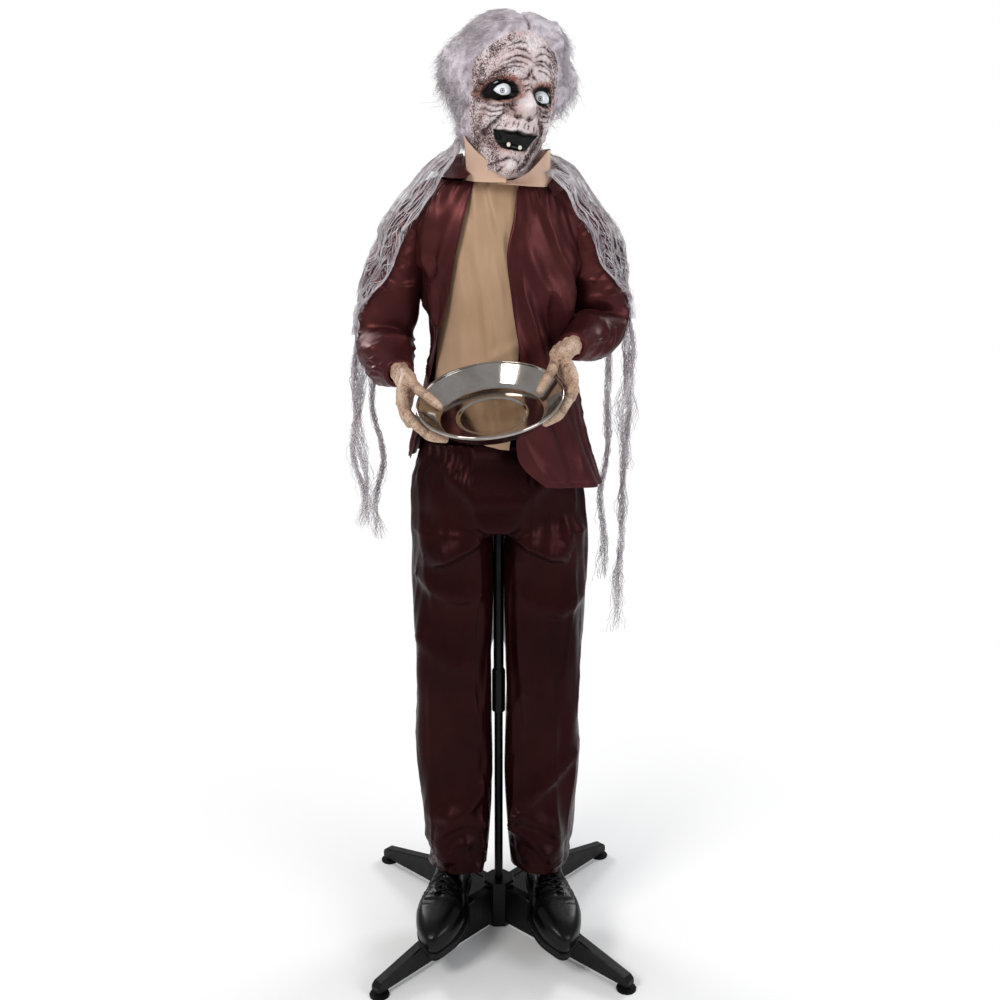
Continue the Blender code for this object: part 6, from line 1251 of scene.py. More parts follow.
def jacket_surface(rows, columns):
    """Open rings round the chest: an oval at each level, with folds that deepen to the hem."""
    share = np.linspace(0, 1, rows)[:, None]
    z, middle, wide, front, back, right, left = levels(JACKET_STATIONS, share[:, 0])
    start = -np.arccos(np.clip((right - middle) / wide, -1, 1))
    end = math.tau - np.arccos(np.clip((left - middle) / wide, -1, 1))
    angles = start + (end - start) * np.linspace(0, 1, columns)[None, :]
    loose = (1 - share) ** 1.3
    fold = 0.0050 * loose * (0.2 + np.cos(11 * angles + 1.9 * np.sin(3 * angles) + 0.7))
    fold = fold + 0.003 * loose * np.cos(7 * angles + 2.0)
    x, y = oval(angles, wide, front, back, 2.3)
    height = z - JACKET_HEM_SLOPE * (x + middle) * (1 - share) ** 2
    lowered = smoothstep(-np.sin(angles), 0.3, 0.9) * smoothstep(share, 0.6, 1.0)
    height = height - JACKET_NECK_DROP * lowered
    plain = np.stack([x + middle, y, height], axis=-1)
    # Long drapes fall from the shoulders, and finer creases slant across them
    body = smoothstep(share, 0.0, 0.12) * 0.4 + 0.6
    slant = plain + np.stack([0.45 * np.sign(x) * plain[..., 2], 0 * x, 0 * x], axis=-1)
    drape = 0.0070 * ripples(slant, 0.070, 41, (1, 1, 9)) + 0.0018 * ripples(slant, 0.028, 42, (1, 1, 6))
    drape += 0.0040 * np.maximum(folded(slant, 0.050, 43, (1, 1, 9)), -0.5)
    drape += 0.0022 * np.cos(38 * angles + 3 * np.sin(5 * angles)) * smoothstep(share, 0.66, 0.86)
    quiet = 1 - 0.5 * smoothstep(share, 0.90, 1.0)
    lift = fold + (drape * body + 0.0036) * quiet
    edge = np.minimum(np.linspace(0, 1, columns), 1 - np.linspace(0, 1, columns))[None, :]
    lift = lift * (0.35 + 0.65 * smoothstep(edge, 0.0, 0.05))
    # The turned hem and front edges stand a little proud
    hem = smoothstep(0.045 - share, 0, 0.006) + smoothstep(0.013 - edge, 0, 0.002)
    lift = lift + 0.0008 * np.clip(hem, 0, 1)
    scale = 1 + lift / np.maximum(np.hypot(x, y), 1e-6)
    return np.stack([x * scale + middle, y * scale, height], axis=-1)


def dress_jacket(settings):
    """The satin jacket's body with its armholes, and its flat collar."""
    finish = satin(
        "jacket_satin_cloth", colour(34, 9, 9), tuple(settings.jacket_colour) + (1.0,), 0.33, 0.56, 0.0012
    )
    rows, columns = 160, 245
    points = jacket_surface(rows, columns)
    cells = grid_cells(rows, columns, wrap=False)
    middle = points.reshape(-1, 3)[cells].mean(axis=1)
    x, y, z = middle.T
    armhole = np.abs(z - SHOULDER_Z) < ARMHOLE_HALF_HEIGHT
    armhole &= (np.abs(y) < ARMHOLE_HALF_DEPTH) & (np.abs(x) > ARMHOLE_X)
    uv = grid_uv(rows, columns, False, 0.9, 0.5).reshape(-1, 4, 2)
    jacket = make_object("jacket_cloth", points, cells[~armhole], finish, uv[~armhole].reshape(-1, 2))
    thicken(jacket, settings.cloth_thickness)
    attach(jacket, "frame")
    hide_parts("jacket_body")
    make_jacket_collar(finish, settings)


def make_jacket_collar(finish, settings):
    """A flat camp collar: a band that lies round the neck and ends in a blunt corner on each front."""
    rows, columns = 28, 260
    table = through(JACKET_COLLAR_STATIONS, np.linspace(0, 1, columns))
    turn = np.radians(table[:, 0])[None, :]
    inner, inner_z, outer, outer_z = table.T[1:, None]
    across = np.linspace(0, 1, rows)[:, None]
    radius = inner + (outer - inner) * across
    z = inner_z + (outer_z - inner_z) * across**1.5
    z = z + 0.0012 * np.sin(9 * turn + 0.6) * across
    x, y = radius * np.cos(turn), radius * np.sin(turn)
    points = np.stack([x, y, z], axis=-1)
    points = points + 0.0010 * ripples(points, 0.045, 47)[..., None] * np.array([0, 0, 1])
    cells = grid_cells(rows, columns, wrap=False)[:, ::-1]
    uv = grid_uv(rows, columns, False, 0.5, 0.05).reshape(-1, 4, 2)[:, ::-1].reshape(-1, 2)
    collar = make_object("jacket_collar_flap", points, cells, finish, uv)
    thicken(collar, settings.cloth_thickness * 1.5)
    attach(collar, "frame")


def sleeve_spine(side, shares):
    """The sleeve's middle line, half sizes, sideways and upright directions, and its bend."""
    arm = ARMS[side]
    path = through(arm["sleeve"], shares)
    sizes = through(SLEEVE_SIZES, shares)
    heading = np.gradient(path, axis=0)
    step = np.linalg.norm(heading, axis=1, keepdims=True)
    heading /= step
    bend = np.gradient(heading, axis=0) / step
    side_way = np.array([arm["sign"], 0.0, 0.0])
    across = side_way - heading * (heading @ side_way)[:, None]
    across /= np.linalg.norm(across, axis=1, keepdims=True)
    upright = np.cross(heading, across)
    return path, sizes, across, upright, bend


def sleeve_surface(side, shares, angles):
    """Rings square to the arm's line, with creases that slant round it and gather at the cuff.

    Returns the points, and how crowded the rings are at each of them.
    """
    path, sizes, across, upright, bend = sleeve_spine(side, shares)
    crease = 0.004 * np.sin(math.pi * shares)[:, None] * np.cos(3 * angles[None, :] + 16 * shares[:, None])
    wide = (sizes[:, :1] + crease) * np.cos(angles)[None, :]
    tall = (sizes[:, 1:] + crease) * np.sin(angles)[None, :]
    offset = across[:, None] * wide[..., None] + upright[:, None] * tall[..., None]
    hang = 1 + ARMS[side]["sag"] * ridge(shares, 0.70, 0.20)
    offset[..., 2] *= np.where(offset[..., 2] < 0, hang[:, None], 1.0)
    reach = np.linalg.norm(offset, axis=-1)
    crowding = np.maximum((offset * bend[:, None]).sum(axis=-1), 0) / SLEEVE_BEND_SHARE
    limited = reach / (1 + crowding**4) ** 0.25
    seed = 51 if side == "right" else 61
    cosine, sine = np.cos(angles)[None], np.sin(angles)[None]
    length = 0.42 * shares[:, None] + 0.04 * sine
    local = np.stack([0.05 * cosine + 0 * reach, 0.05 * sine + 0 * reach, length], axis=-1)
    crinkle = 0.0042 * ripples(local, 0.085, seed, (2.2, 2.2, 0.9))
    crinkle += 0.0014 * ripples(local, 0.036, seed + 1, (2.0, 2.0, 0.8))
    crinkle += 0.0020 * folded(local, 0.060, seed + 2, (2.4, 2.4, 0.8))
    cuff = smoothstep(shares, 0.88, 0.975)[:, None]
    uneven = np.cos(15 * angles + 2.5 * np.sin(3 * angles + seed))[None, :]
    gathers = 0.0016 * uneven * smoothstep(shares, 0.78, 0.90)[:, None] * (1 - cuff)
    band = 0.0010 * cuff - 0.0012 * ridge(shares, 0.925, 0.006)[:, None]
    lift = crinkle * (1 - 0.8 * cuff) * np.minimum(1, (1 - shares)[:, None] * 8 + 0.3) + gathers + band
    closing = 1 - 0.24 * smoothstep(shares, 0.985, 1.0)[:, None]
    moved = (limited + lift + 0.001) * closing
    return path[:, None] + offset / np.maximum(reach, 1e-6)[..., None] * moved[..., None], crowding


def dress_sleeves(settings):
    """Both satin sleeves, from inside the armhole to the gathered cuff."""
    finish = bpy.data.materials["jacket_satin_cloth"]
    rows, columns = 160, 110
    shares = np.linspace(0.07, 1, rows)
    angles = np.linspace(0, math.tau, columns, endpoint=False)
    for side in ("right", "left"):
        points, crowding = sleeve_surface(side, shares, angles)
        cells = grid_cells(rows, columns, wrap=True)
        # The crowded rings inside the bend are drawn even
        inner = (smoothstep(crowding, 0.0, 0.12) * smoothstep(1 - shares, 0.02, 0.08)[:, None])[1:-1, :, None]
        for _ in range(100):
            beside = np.roll(points, 1, axis=1) + np.roll(points, -1, axis=1)
            middle = (points[:-2] + points[2:] + beside[1:-1]) / 4
            points[1:-1] += (middle - points[1:-1]) * inner * 0.8
        points = points.reshape(-1, 3)
        uv = grid_uv(rows, columns, True, 0.30, 0.45).reshape(-1, 4, 2)
        if side == "left":
            cells = cells[:, ::-1]
            uv = uv[:, ::-1]
        sleeve = make_object(f"sleeve_cloth_{side}", points, cells, finish, uv.reshape(-1, 2))
        thicken(sleeve, settings.cloth_thickness)
        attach(sleeve, "frame")
        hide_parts(f"jacket_sleeve_{side}")


def dress_shirt(settings):
    """The tan satin shirt front with its long slanting folds and loose tail, and its collar, whose satin is
    painted paler as painted light against the head's shadow.
    """
    finish = satin(
        "shirt_satin_cloth", colour(158, 126, 92), tuple(settings.shirt_colour) + (1.0,), 0.42, 0.10, 0.0012
    )
    rows, columns = 150, 125
    share = np.linspace(0, 1, rows)
    z, middle, wide = levels(SHIRT_STATIONS, share)
    table = through(JACKET_STATIONS, np.linspace(0, 1, 121))
    jacket_middle, jacket_wide, jacket_front = (
        np.interp(z, table[:, 0], table[:, k]) for k in (1, 2, 3)
    )
    share = share[:, None]
    across = np.linspace(-1, 1, columns)[None, :]
    inset = 0.0060 + 0.004 * (1 - share)
    x = middle + across * wide
    flat = np.abs((x - jacket_middle) / (jacket_wide - inset)) ** 2.3
    y = -(jacket_front - inset) * (1 - np.minimum(flat, 0.9)) ** (1 / 2.3)
    y = y + 0.0025 * (1 - share) * np.cos(across * 9 + share * 3)
    tail = -0.022 * (1 - share) ** 3 * smoothstep(across, -0.6, 0.95)
    height = z + tail + 0 * x
    spot = np.stack([x, 0 * x, height], axis=-1)
    # Two long folds run down from the collar, and a third crosses above the dish
    first = ridge(x + 0.10 * (height - 1.30), -0.030, 0.010)
    second = ridge(x + 0.22 * (height - 1.33), 0.004, 0.008) * smoothstep(height, 1.14, 1.26)
    third = ridge(height - 0.55 * (x + 0.02), 1.135, 0.010)
    puff = 0.0042 * first + 0.0045 * second + 0.0035 * third
    puff += 0.0022 * ripples(spot, 0.060, 81, (1, 1, 5)) + 0.0008 * ripples(spot, 0.024, 82, (1, 1, 3))
    puff += 0.0040 * bump(x, height, 0.012, 1.378, 0.026, 0.034)
    y = y - (puff - 0.0012) * smoothstep(1.0 - share, 0.0, 0.06)
    points = np.stack([x, y, height], axis=-1)
    cells = grid_cells(rows, columns, wrap=False)
    shirt = make_object("shirt_cloth", points, cells, finish, grid_uv(rows, columns, False, 0.13, 0.42))
    thicken(shirt, settings.cloth_thickness)
    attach(shirt, "frame")
    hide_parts("shirt_front")

    make_shirt_yoke(finish, settings)
    # The collar's satin is the shirt's painted paler: painted light that offsets the head's shadow on it
    collar_painted_light = satin("collar_satin_painted_light", colour(206, 172, 148), (0.680, 0.465, 0.350, 1.0), 0.45, 0.05, 0.0008)
    make_shirt_collar(collar_painted_light, settings)


def make_shirt_yoke(finish, settings):
    """The shirt's cloth round the neck, which closes the opening under the collar."""
    rows, columns = 16, 200
    turn = np.linspace(0, math.tau, columns, endpoint=False)[None, :]
    share = np.linspace(0, 1, rows)[:, None]
    x, y = oval(turn, YOKE_HALF_WIDTH, YOKE_DEPTH, YOKE_DEPTH)
    reach = np.hypot(x, y) * (1 - share) + YOKE_NECK_RADIUS * share
    height = YOKE_LOW_Z + (YOKE_TOP_Z - YOKE_LOW_Z) * share**0.7
    points = np.stack([reach * np.cos(turn), reach * np.sin(turn), height + 0 * turn], axis=-1)
    points[..., 2] += 0.0008 * ripples(points, 0.03, 86)
    cells = grid_cells(rows, columns, wrap=True)
    yoke = make_object("shirt_yoke_cloth", points, cells, finish, grid_uv(rows, columns, True, 0.5, 0.05))
    thicken(yoke, settings.cloth_thickness)
    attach(yoke, "frame")


def make_shirt_collar(finish, settings):
    """The tall open collar, whose two wings stand beside the jaw and lap under the chin."""
    rows, columns = 36, 300
    table = np.array(COLLAR_STATIONS)
    place = np.linspace(0, 1, columns)
    turns = np.interp(place, np.linspace(0, 1, len(table)), table[:, 0])
    low_radius, low_z, top_radius, top_z = (np.interp(turns, table[:, 0], row) for row in table.T[1:])
    level = np.linspace(0, 1, rows)[:, None]
    bow = 0.0022 * np.sin(math.pi * level) * smoothstep(-np.sin(np.radians(turns)), -0.2, 0.5)
    radius = low_radius + (top_radius - low_radius) * level - bow
    height = low_z + (top_z - low_z) * level
    angle = np.radians(turns)
    lap = 0.0016 * smoothstep(place, 0.93, 1.0) - 0.0016 * smoothstep(0.06 - place, 0.0, 0.06)
    radius = radius + lap
    spot = np.stack([radius * np.cos(angle), radius * np.sin(angle), height], axis=-1)
    soft = 0.0008 * ripples(spot, 0.050, 85)
    seam = 0.0005 * (ridge(level, 0.09, 0.02) + ridge(level, 0.92, 0.02))
    spot = spot * (1 + (soft - seam) / np.maximum(radius, 0.01))[..., None] * np.array([1, 1, 0])
    spot[..., 2] = height
    cells = grid_cells(rows, columns, wrap=False)
    uv = grid_uv(rows, columns, False, 0.55, 0.07)
    collar = make_object("shirt_collar_cloth", spot, cells, finish, uv)
    thicken(collar, settings.cloth_thickness * 1.3)
    make_final(collar)
    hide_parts("shirt_collar")
    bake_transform(collar)


def trouser_surface(rows, seat_rows):
    """Two legs whose oval rings climb to the crotch, a gusset, and seat rings up to the waist."""
    share = np.linspace(0, 1, rows)[:, None]
    z, outside, inside, front, back = levels(TROUSER_STATIONS, share[:, 0])
    angles = np.linspace(0, math.tau, LEG_COLUMNS, endpoint=False)[None, :]
    x, y = oval(angles, (outside - inside) / 2, front, back, 2.6)
    fold = 0.003 * np.cos(5 * angles + 6 * share) * np.sin(math.pi * share) ** 0.5
    scale = 1 + fold * smoothstep(np.cos(angles), -0.95, -0.3) / np.hypot(x, y)
    lift = CUFF_FRONT_RISE * (1 - smoothstep(share, 0.0, 0.18))
    height = z + lift * smoothstep(-y / front, -0.6, 0.8)
    legs = np.stack([x * scale + (outside + inside) / 2, y * scale, height], axis=-1)
    mirrored = legs[:, ::-1] * np.array([-1.0, 1.0, 1.0])
    top = (rows - 1) * LEG_COLUMNS
    other = rows * LEG_COLUMNS
    cells = [grid_cells(rows, LEG_COLUMNS, True), grid_cells(rows, LEG_COLUMNS, True, other)]
    first, last = INSEAM
    gusset = np.arange(first, last)
    gusset = gusset[np.abs(gusset + 0.5 - (first + last) / 2) > 6]
    far = other + top + LEG_COLUMNS - 1
    cells.append(np.stack([top + gusset, top + gusset + 1, far - gusset - 1, far - gusset], axis=-1))
    outer = np.arange(last, LEG_COLUMNS + first + 1) % LEG_COLUMNS
    ring = np.concatenate([top + outer, far - outer[::-1]])
    points = np.concatenate([legs.reshape(-1, 3), mirrored.reshape(-1, 3)])
    start = points[ring]
    turn = np.arctan2(start[:, 1], start[:, 0])[None, :]
    level = np.linspace(0, 1, seat_rows + 1)[1:, None]
    z, wide, front, back = levels(SEAT_STATIONS, level[:, 0])
    depth = np.where(np.sin(turn) < 0, front, back)
    power = 2.4
    reach = (np.abs(np.cos(turn) / wide) ** power + np.abs(np.sin(turn) / depth) ** power) ** (-1 / power)
    blend = smoothstep(level, 0.0, 0.45)
    seat_x = start[None, :, 0] * (1 - blend) + reach * np.cos(turn) * blend
    seat_y = start[None, :, 1] * (1 - blend) + reach * np.sin(turn) * blend
    seat = np.stack([seat_x, seat_y, z + 0 * turn], axis=-1)
    base = len(points)
    rings = np.concatenate([ring[None], base + np.arange(seat_rows * len(ring)).reshape(seat_rows, -1)])
    low, high = rings[:-1], rings[1:]
    after = [np.roll(part, -1, axis=1) for part in (low, high)]
    cells.append(np.stack([low, after[0], after[1], high], axis=-1).reshape(-1, 4))
    return np.concatenate([points, seat.reshape(-1, 3)]), np.concatenate(cells)


def draped(points, lines):
    """Soft ridges over the front, each falling away at its own rate above and below its line."""
    spots = points[:, [0, 2]]
    total = np.zeros(len(points))
    steps = 24
    for above, below, high, corners in lines:
        line = through(np.array(corners), np.linspace(0, 1, steps))
        apart = spots[:, None] - line[None]
        gap = np.linalg.norm(apart, axis=2)
        nearest = gap.argmin(axis=1)
        offset = apart[np.arange(len(spots)), nearest, 1]
        width = np.where(offset > 0, above, below)
        fade = smoothstep(steps - nearest, 0, 9) * smoothstep(nearest + 3, 0, 5)
        total += high * fade * ridge(gap.min(axis=1), 0, width)
    return total * smoothstep(-points[:, 1], 0.0, 0.035)


def trouser_folds(points):
    """Drapes from the fork, long soft waves down the legs, gathers at the cuffs and the waist."""
    x, y, z = points.T
    side = np.abs(x)
    front = smoothstep(-y, -0.01, 0.03)
    waves = 0.0034 * ripples(points, 0.085, 91, (1, 1, 4))
    waves += 0.0014 * ripples(points, 0.036, 92, (1, 1, 4))
    waves += 0.0022 * np.maximum(folded(points, 0.070, 93, (1, 1, 5)), -0.3)
    cuff = 0.0034 * ripples(points, 0.050, 94, (1.6, 1.6, 0.7)) * smoothstep(0.26 - z, 0.0, 0.12)
    cuff += 0.0014 * folded(points, 0.030, 95, (1.6, 1.6, 0.8)) * smoothstep(0.22 - z, 0.0, 0.08)
    fly = -0.0026 * ridge(x, FLY_X, 0.0026) * front * smoothstep(z, 0.835, 0.855)
    pucker = 0.0012 * np.cos(z * 420) * ridge(x, FLY_X, 0.012) * front * smoothstep(z, 0.845, 0.870)
    seam = -0.0010 * ridge(side, SIDE_SEAM_X, 0.0016) * (z < 0.79)
    elastic = 0.0022 * np.cos(46 * np.arctan2(y, x) + 2.0 * np.sin(z * 90)) * smoothstep(z, 0.900, 0.950)
    calm = 1 - 0.85 * bump(side, z, 0, CROTCH_Z, 0.035, 0.022)
    large = (1.8 * draped(points, TROUSER_DRAPES) + waves) * calm
    return large + cuff + fly + pucker + seam + elastic + 0.0010


def dress_trousers(settings):
    """The darker satin trousers, with a drawn-up fork and cuffs that break over the boots."""
    finish = satin(
        "trouser_satin_cloth", colour(8, 1, 1), tuple(settings.trouser_colour) + (1.0,), 0.36, 0.55, 0.0016
    )
    points, cells = trouser_surface(176, 32)
    # The fork is rounded: its corners are drawn into one another
    fork = bump(points[:, 0], points[:, 2], 0, CROTCH_Z, 0.055, 0.030)[:, None]
    for _ in range(14):
        points = points * (1 - fork) + eased(points, cells, 0.6) * fork
    moved = pushed(points, cells, trouser_folds(points))
    # The inseams keep clear of the pole, and no fold passes the legs' middle
    near = np.abs(points[:, 0]) < 0.03
    plain, folds = points[near, 0], moved[near, 0]
    moved[near, 0] = np.where(plain > 0, np.maximum(folds, plain), np.minimum(folds, plain))
    # Behind the pole the two legs' cloth nearly meets
    side = np.abs(moved[:, 0])
    tuck = ridge(moved[:, 1], 0.030, 0.016) * smoothstep(0.036 - side, 0, 0.012)
    tuck *= smoothstep(moved[:, 2], 0.56, 0.60) * smoothstep(CROTCH_Z - moved[:, 2], 0.0, 0.03)
    moved[:, 0] -= np.sign(moved[:, 0]) * np.clip(0.010 * tuck, 0, np.maximum(side - 0.0015, 0))
    uv = np.stack([np.arctan2(points[:, 1], points[:, 0]) * 0.12, points[:, 2]], axis=-1)[cells]
    trousers = make_object("trouser_cloth", moved, cells, finish, uv.reshape(-1, 2))
    thicken(trousers, settings.cloth_thickness)
    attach(trousers, "frame")
    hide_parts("trousers")


# Gauze


def clothes_tree(names):
    """The outer faces of some cloth pieces, for laying other cloth on them."""
    points, polygons = [], []
    for name in names:
        mesh = bpy.data.objects[name].data
        start = len(points)
        points += [vertex.co.copy() for vertex in mesh.vertices]
        polygons += [[start + k for k in polygon.vertices] for polygon in mesh.polygons]
    return BVHTree.FromPolygons(points, polygons)


def gauze_surface(side, rows, columns):
    """The cloth laid from the neck down the sleeve: rays cast inwards meet the clothes under it."""
    sign = ARMS[side]["sign"]
    tree = clothes_tree(["jacket_cloth", "jacket_collar_flap", "sleeve_cloth_right", "sleeve_cloth_left"])
    shares = np.linspace(0, GAUZE_LEAVES_SHARE, rows)
    path, sizes, across, _, _ = sleeve_spine(side, shares)
    pull = (1 - shares / 0.22).clip(0, 1)[:, None]
    path = path * (1 - pull) + np.array([sign * GAUZE_NECK_X, 0.0, SHOULDER_Z + 0.03]) * pull
    upward = smoothstep(pull, 0.0, 0.8)
    across = across * (1 - upward) + np.array([0.0, 0.0, 1.0]) * upward
    across /= np.linalg.norm(across, axis=1, keepdims=True)
    turns = np.linspace(-1, 1, columns)
    slip = smoothstep(shares, 0.3, 0.55)[:, None]
    narrow = 1 - 0.55 * pull
    angles = np.radians(80 * turns * (1 - 0.3 * slip) * narrow + 28 * slip)
    way = across[:, None] * np.cos(angles)[..., None] + np.array([0.0, 1.0, 0.0]) * np.sin(angles)[..., None]
    way /= np.linalg.norm(way, axis=2, keepdims=True)
    reach = np.zeros((rows, columns))
    outside = 0.18
    for row in range(rows):
        least = sizes[row].max() * 0.6
        for column in range(columns):
            start = path[row] + way[row, column] * outside
            hit = tree.ray_cast(Vector(start), Vector(-way[row, column]), outside)
            reach[row, column] = outside - hit[3] if hit[0] is not None else least
    # The cloth spans hollows: it takes the highest of the near places, evened out
    lifted = reach
    for step in (1, 2):
        lifted = np.maximum.reduce(shifted(lifted, step) + [lifted])
    for _ in range(6):
        below, above, before, after = shifted(lifted, 1)
        lifted = (below + above + before + after + 2 * lifted) / 6
    bunched = 0.024 * ridge(shares, 0, 0.06)[:, None] * np.cos(angles) ** 2
    folds = 0.0035 * np.maximum(np.cos(9 * angles + 7 * shares[:, None]), -0.2)
    folds = folds * smoothstep(shares, 0.02, 0.1)[:, None]
    lifted = np.maximum(lifted, reach) + 0.0018 + bunched + folds
    return path[:, None] + way * lifted[..., None], way


def shifted(values, step):
    """A grid's values moved by a step each way along its rows and its columns, its edges held."""
    padded = np.pad(values, step, mode="edge")
    rows = [padded[: -2 * step, step:-step], padded[2 * step :, step:-step]]
    return rows + [padded[step:-step, : -2 * step], padded[step:-step, 2 * step :]]


def on_surface(grid, across, along):
    """Points of a grid surface at shares across (columns) and along (rows)."""
    rows, columns = grid.shape[:2]
    row = np.clip(along, 0, 1) * (rows - 1)
    column = np.clip(across, 0, 1) * (columns - 1)
    first_row = np.minimum(row.astype(int), rows - 2)
    first = np.minimum(column.astype(int), columns - 2)
    upward, sideways = (row - first_row)[..., None], (column - first)[..., None]
    low = grid[first_row, first] * (1 - sideways) + grid[first_row, first + 1] * sideways
    high = grid[first_row + 1, first] * (1 - sideways) + grid[first_row + 1, first + 1] * sideways
    return low * (1 - upward) + high * upward


def woven(grid, way, rng, warps, wefts):
    """Loose warp and weft threads that wander over a laid cloth, drawn together in places."""
    steps = 70
    along = np.linspace(0.0, 1.0, steps)[None, :] * np.ones((warps, 1))
    base = (np.arange(warps)[:, None] + rng.uniform(0, 1, (warps, 1))) / warps
    # Two in five run bunched along the cloth's two edges
    edge = rng.uniform(0, 1, (warps, 1)) < 0.4
    base = np.where(edge, np.where(base < 0.5, 0.20 * base, 1 - 0.20 * (1 - base)), base)
    spots = np.stack([base * 6 + 0 * along, along * 5, 0 * along], axis=-1)
    base = base + 0.034 * ripples(spots, 1.1, 7) + 0.018 * ripples(spots, 0.35, 8)
    gather = np.round(base * 7) / 7
    base = base + (gather - base) * 0.45 * smoothstep(ripples(spots, 2.4, 9), -0.2, 0.8)
    lift = rng.uniform(0.0002, 0.0022, (warps, 1)) + 0.0008 * ripples(spots, 0.35, 10) ** 2
    lift = lift + edge * rng.uniform(0.0, 0.006, (warps, 1))
    first = on_surface(grid, base, along) + on_surface(way, base, along) * lift[..., None]
    steps = 44
    across = np.linspace(0.0, 1.0, steps)[None, :] * np.ones((wefts, 1))
    row = (np.arange(wefts)[:, None] + rng.uniform(0, 1, (wefts, 1))) / wefts
    spots = np.stack([across * 5, row * 6 + 0 * across, 0 * across + 3], axis=-1)
    row = row + 0.045 * ripples(spots, 1.1, 12) + 0.020 * ripples(spots, 0.35, 13)
    lift = rng.uniform(0.0002, 0.0020, (wefts, 1)) + 0.0008 * ripples(spots, 0.35, 14) ** 2
    second = on_surface(grid, across, row) + on_surface(way, across, row) * lift[..., None]
    return first, second


def hanging(grid, way, strip, low, rng, threads, sign):
    """One torn strip below the laid cloth: a thin ragged bundle with lumps, curls and a frayed end."""
    (left, right), steps = strip, 84
    start = rng.uniform(left, right, threads)
    top = on_surface(grid, start, np.ones(threads)) + on_surface(way, start, np.ones(threads)) * 0.001
    middle = on_surface(grid, np.array([(left + right) / 2]), np.ones(1))[0]
    end = low + rng.uniform(0, 1, threads) ** 2 * 0.12
    share = np.linspace(0, 1, steps)[None, :]
    height = top[:, 2:3] + (end[:, None] - top[:, 2:3]) * share
    level = np.stack([0 * height, 0 * height + 9 * left, height], axis=-1)
    # The bundle thickens into ragged lumps here and there
    lump = np.maximum(ripples(level + sign, 0.10, 15), 0) ** 1.3
    wide = 0.0020 + (right - left) * 0.0085 + 0.0060 * lump
    turn = rng.uniform(0, math.tau, (threads, 1))
    turn = turn + rng.uniform(-70, 70, (threads, 1)) * (top[:, 2:3] - height)
    reach = wide * rng.uniform(0.15, 1.25, (threads, 1))
    gather = smoothstep(share, 0.0, 0.14)
    x = (top[:, :1] - middle[0]) * (1 - gather) + reach * np.cos(turn) * gather
    y = (top[:, 1:2] - middle[1]) * (1 - gather) + reach * np.sin(turn) * gather
    sway = 0.009 * ripples(level, 0.20, 17 + sign) * share + sign * 0.006 * smoothstep(share, 0, 0.25)
    spots = np.stack([0 * height + start[:, None] * 3, 0 * height, height], axis=-1)
    wander = 0.0022 * ripples(spots, 0.020, 18) * gather
    other = 0.0022 * ripples(spots, 0.020, 19) * gather
    stray = 0.0060 * rng.normal(size=(threads, 1)) * smoothstep(share, 0.80, 1.0)
    x = middle[0] + x + sway + wander + stray
    y = middle[1] + y + other + 0.5 * stray
    return np.stack([x, y, height], axis=-1)


def dress_gauze(settings):
    """Both torn gauze cloths: a thin see-through layer, woven threads over it and hanging strips."""
    veil = gauze_finish("gauze_veil", settings.gauze_cover, colour(110, 96, 104), colour(190, 178, 186))
    thread = gauze_finish("gauze_thread", 1.0, colour(186, 174, 182), colour(252, 248, 252))
    for side in ("right", "left"):
        sign = ARMS[side]["sign"]
        rng = np.random.default_rng(201 + sign)
        rows, columns = 90, 60
        grid, way = gauze_surface(side, rows, columns)
        shape = grid + way * 0.0004 * ripples(grid, 0.012, 205)[..., None]
        cells = grid_cells(rows, columns, wrap=False)
        if side == "left":
            cells = cells[:, ::-1]
        sheet = make_object(f"gauze_veil_{side}", shape, cells, veil)
        first, second = woven(grid, way, rng, settings.warp_count, settings.weft_count)
        pieces = []
        for number, (paths, radius) in enumerate([(first, WARP_RADIUS), (second, WEFT_RADIUS)]):
            points, faces = strands(paths, np.full(paths.shape[1], radius))
            pieces.append(make_object(f"gauze_threads_{side}_{number}", points, faces, thread))
        for number, (strip, low) in enumerate(GAUZE_STRIPS[side]):
            paths = hanging(grid, way, strip, low, rng, settings.strip_threads, sign)
            points, faces = strands(paths, np.full(paths.shape[1], STRIP_THREAD_RADIUS))
            pieces.append(make_object(f"gauze_strip_{side}_{number}", points, faces, thread))
        for piece in [sheet] + pieces:
            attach(piece, "frame")
        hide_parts(f"gauze_{side}")


# Hands


def dish_frame():
    """From the dish's own frame, with its rim at Z = 0, to the row frame."""
    roll = Matrix.Rotation(math.radians(-DISH_ROLL_DEG), 4, "Y")
    tilt = Matrix.Rotation(math.radians(DISH_TILT_DEG), 4, "X")
    return Matrix.Translation(Vector(DISH_CENTRE)) @ roll @ tilt


def dish_point(radius, angle_deg, height):
    """A point given round the dish: radius, angle from +X, and height over the rim."""
    angle = math.radians(angle_deg)
    local = Vector((radius * math.cos(angle), radius * math.sin(angle), height))
    return np.array(dish_frame() @ local)


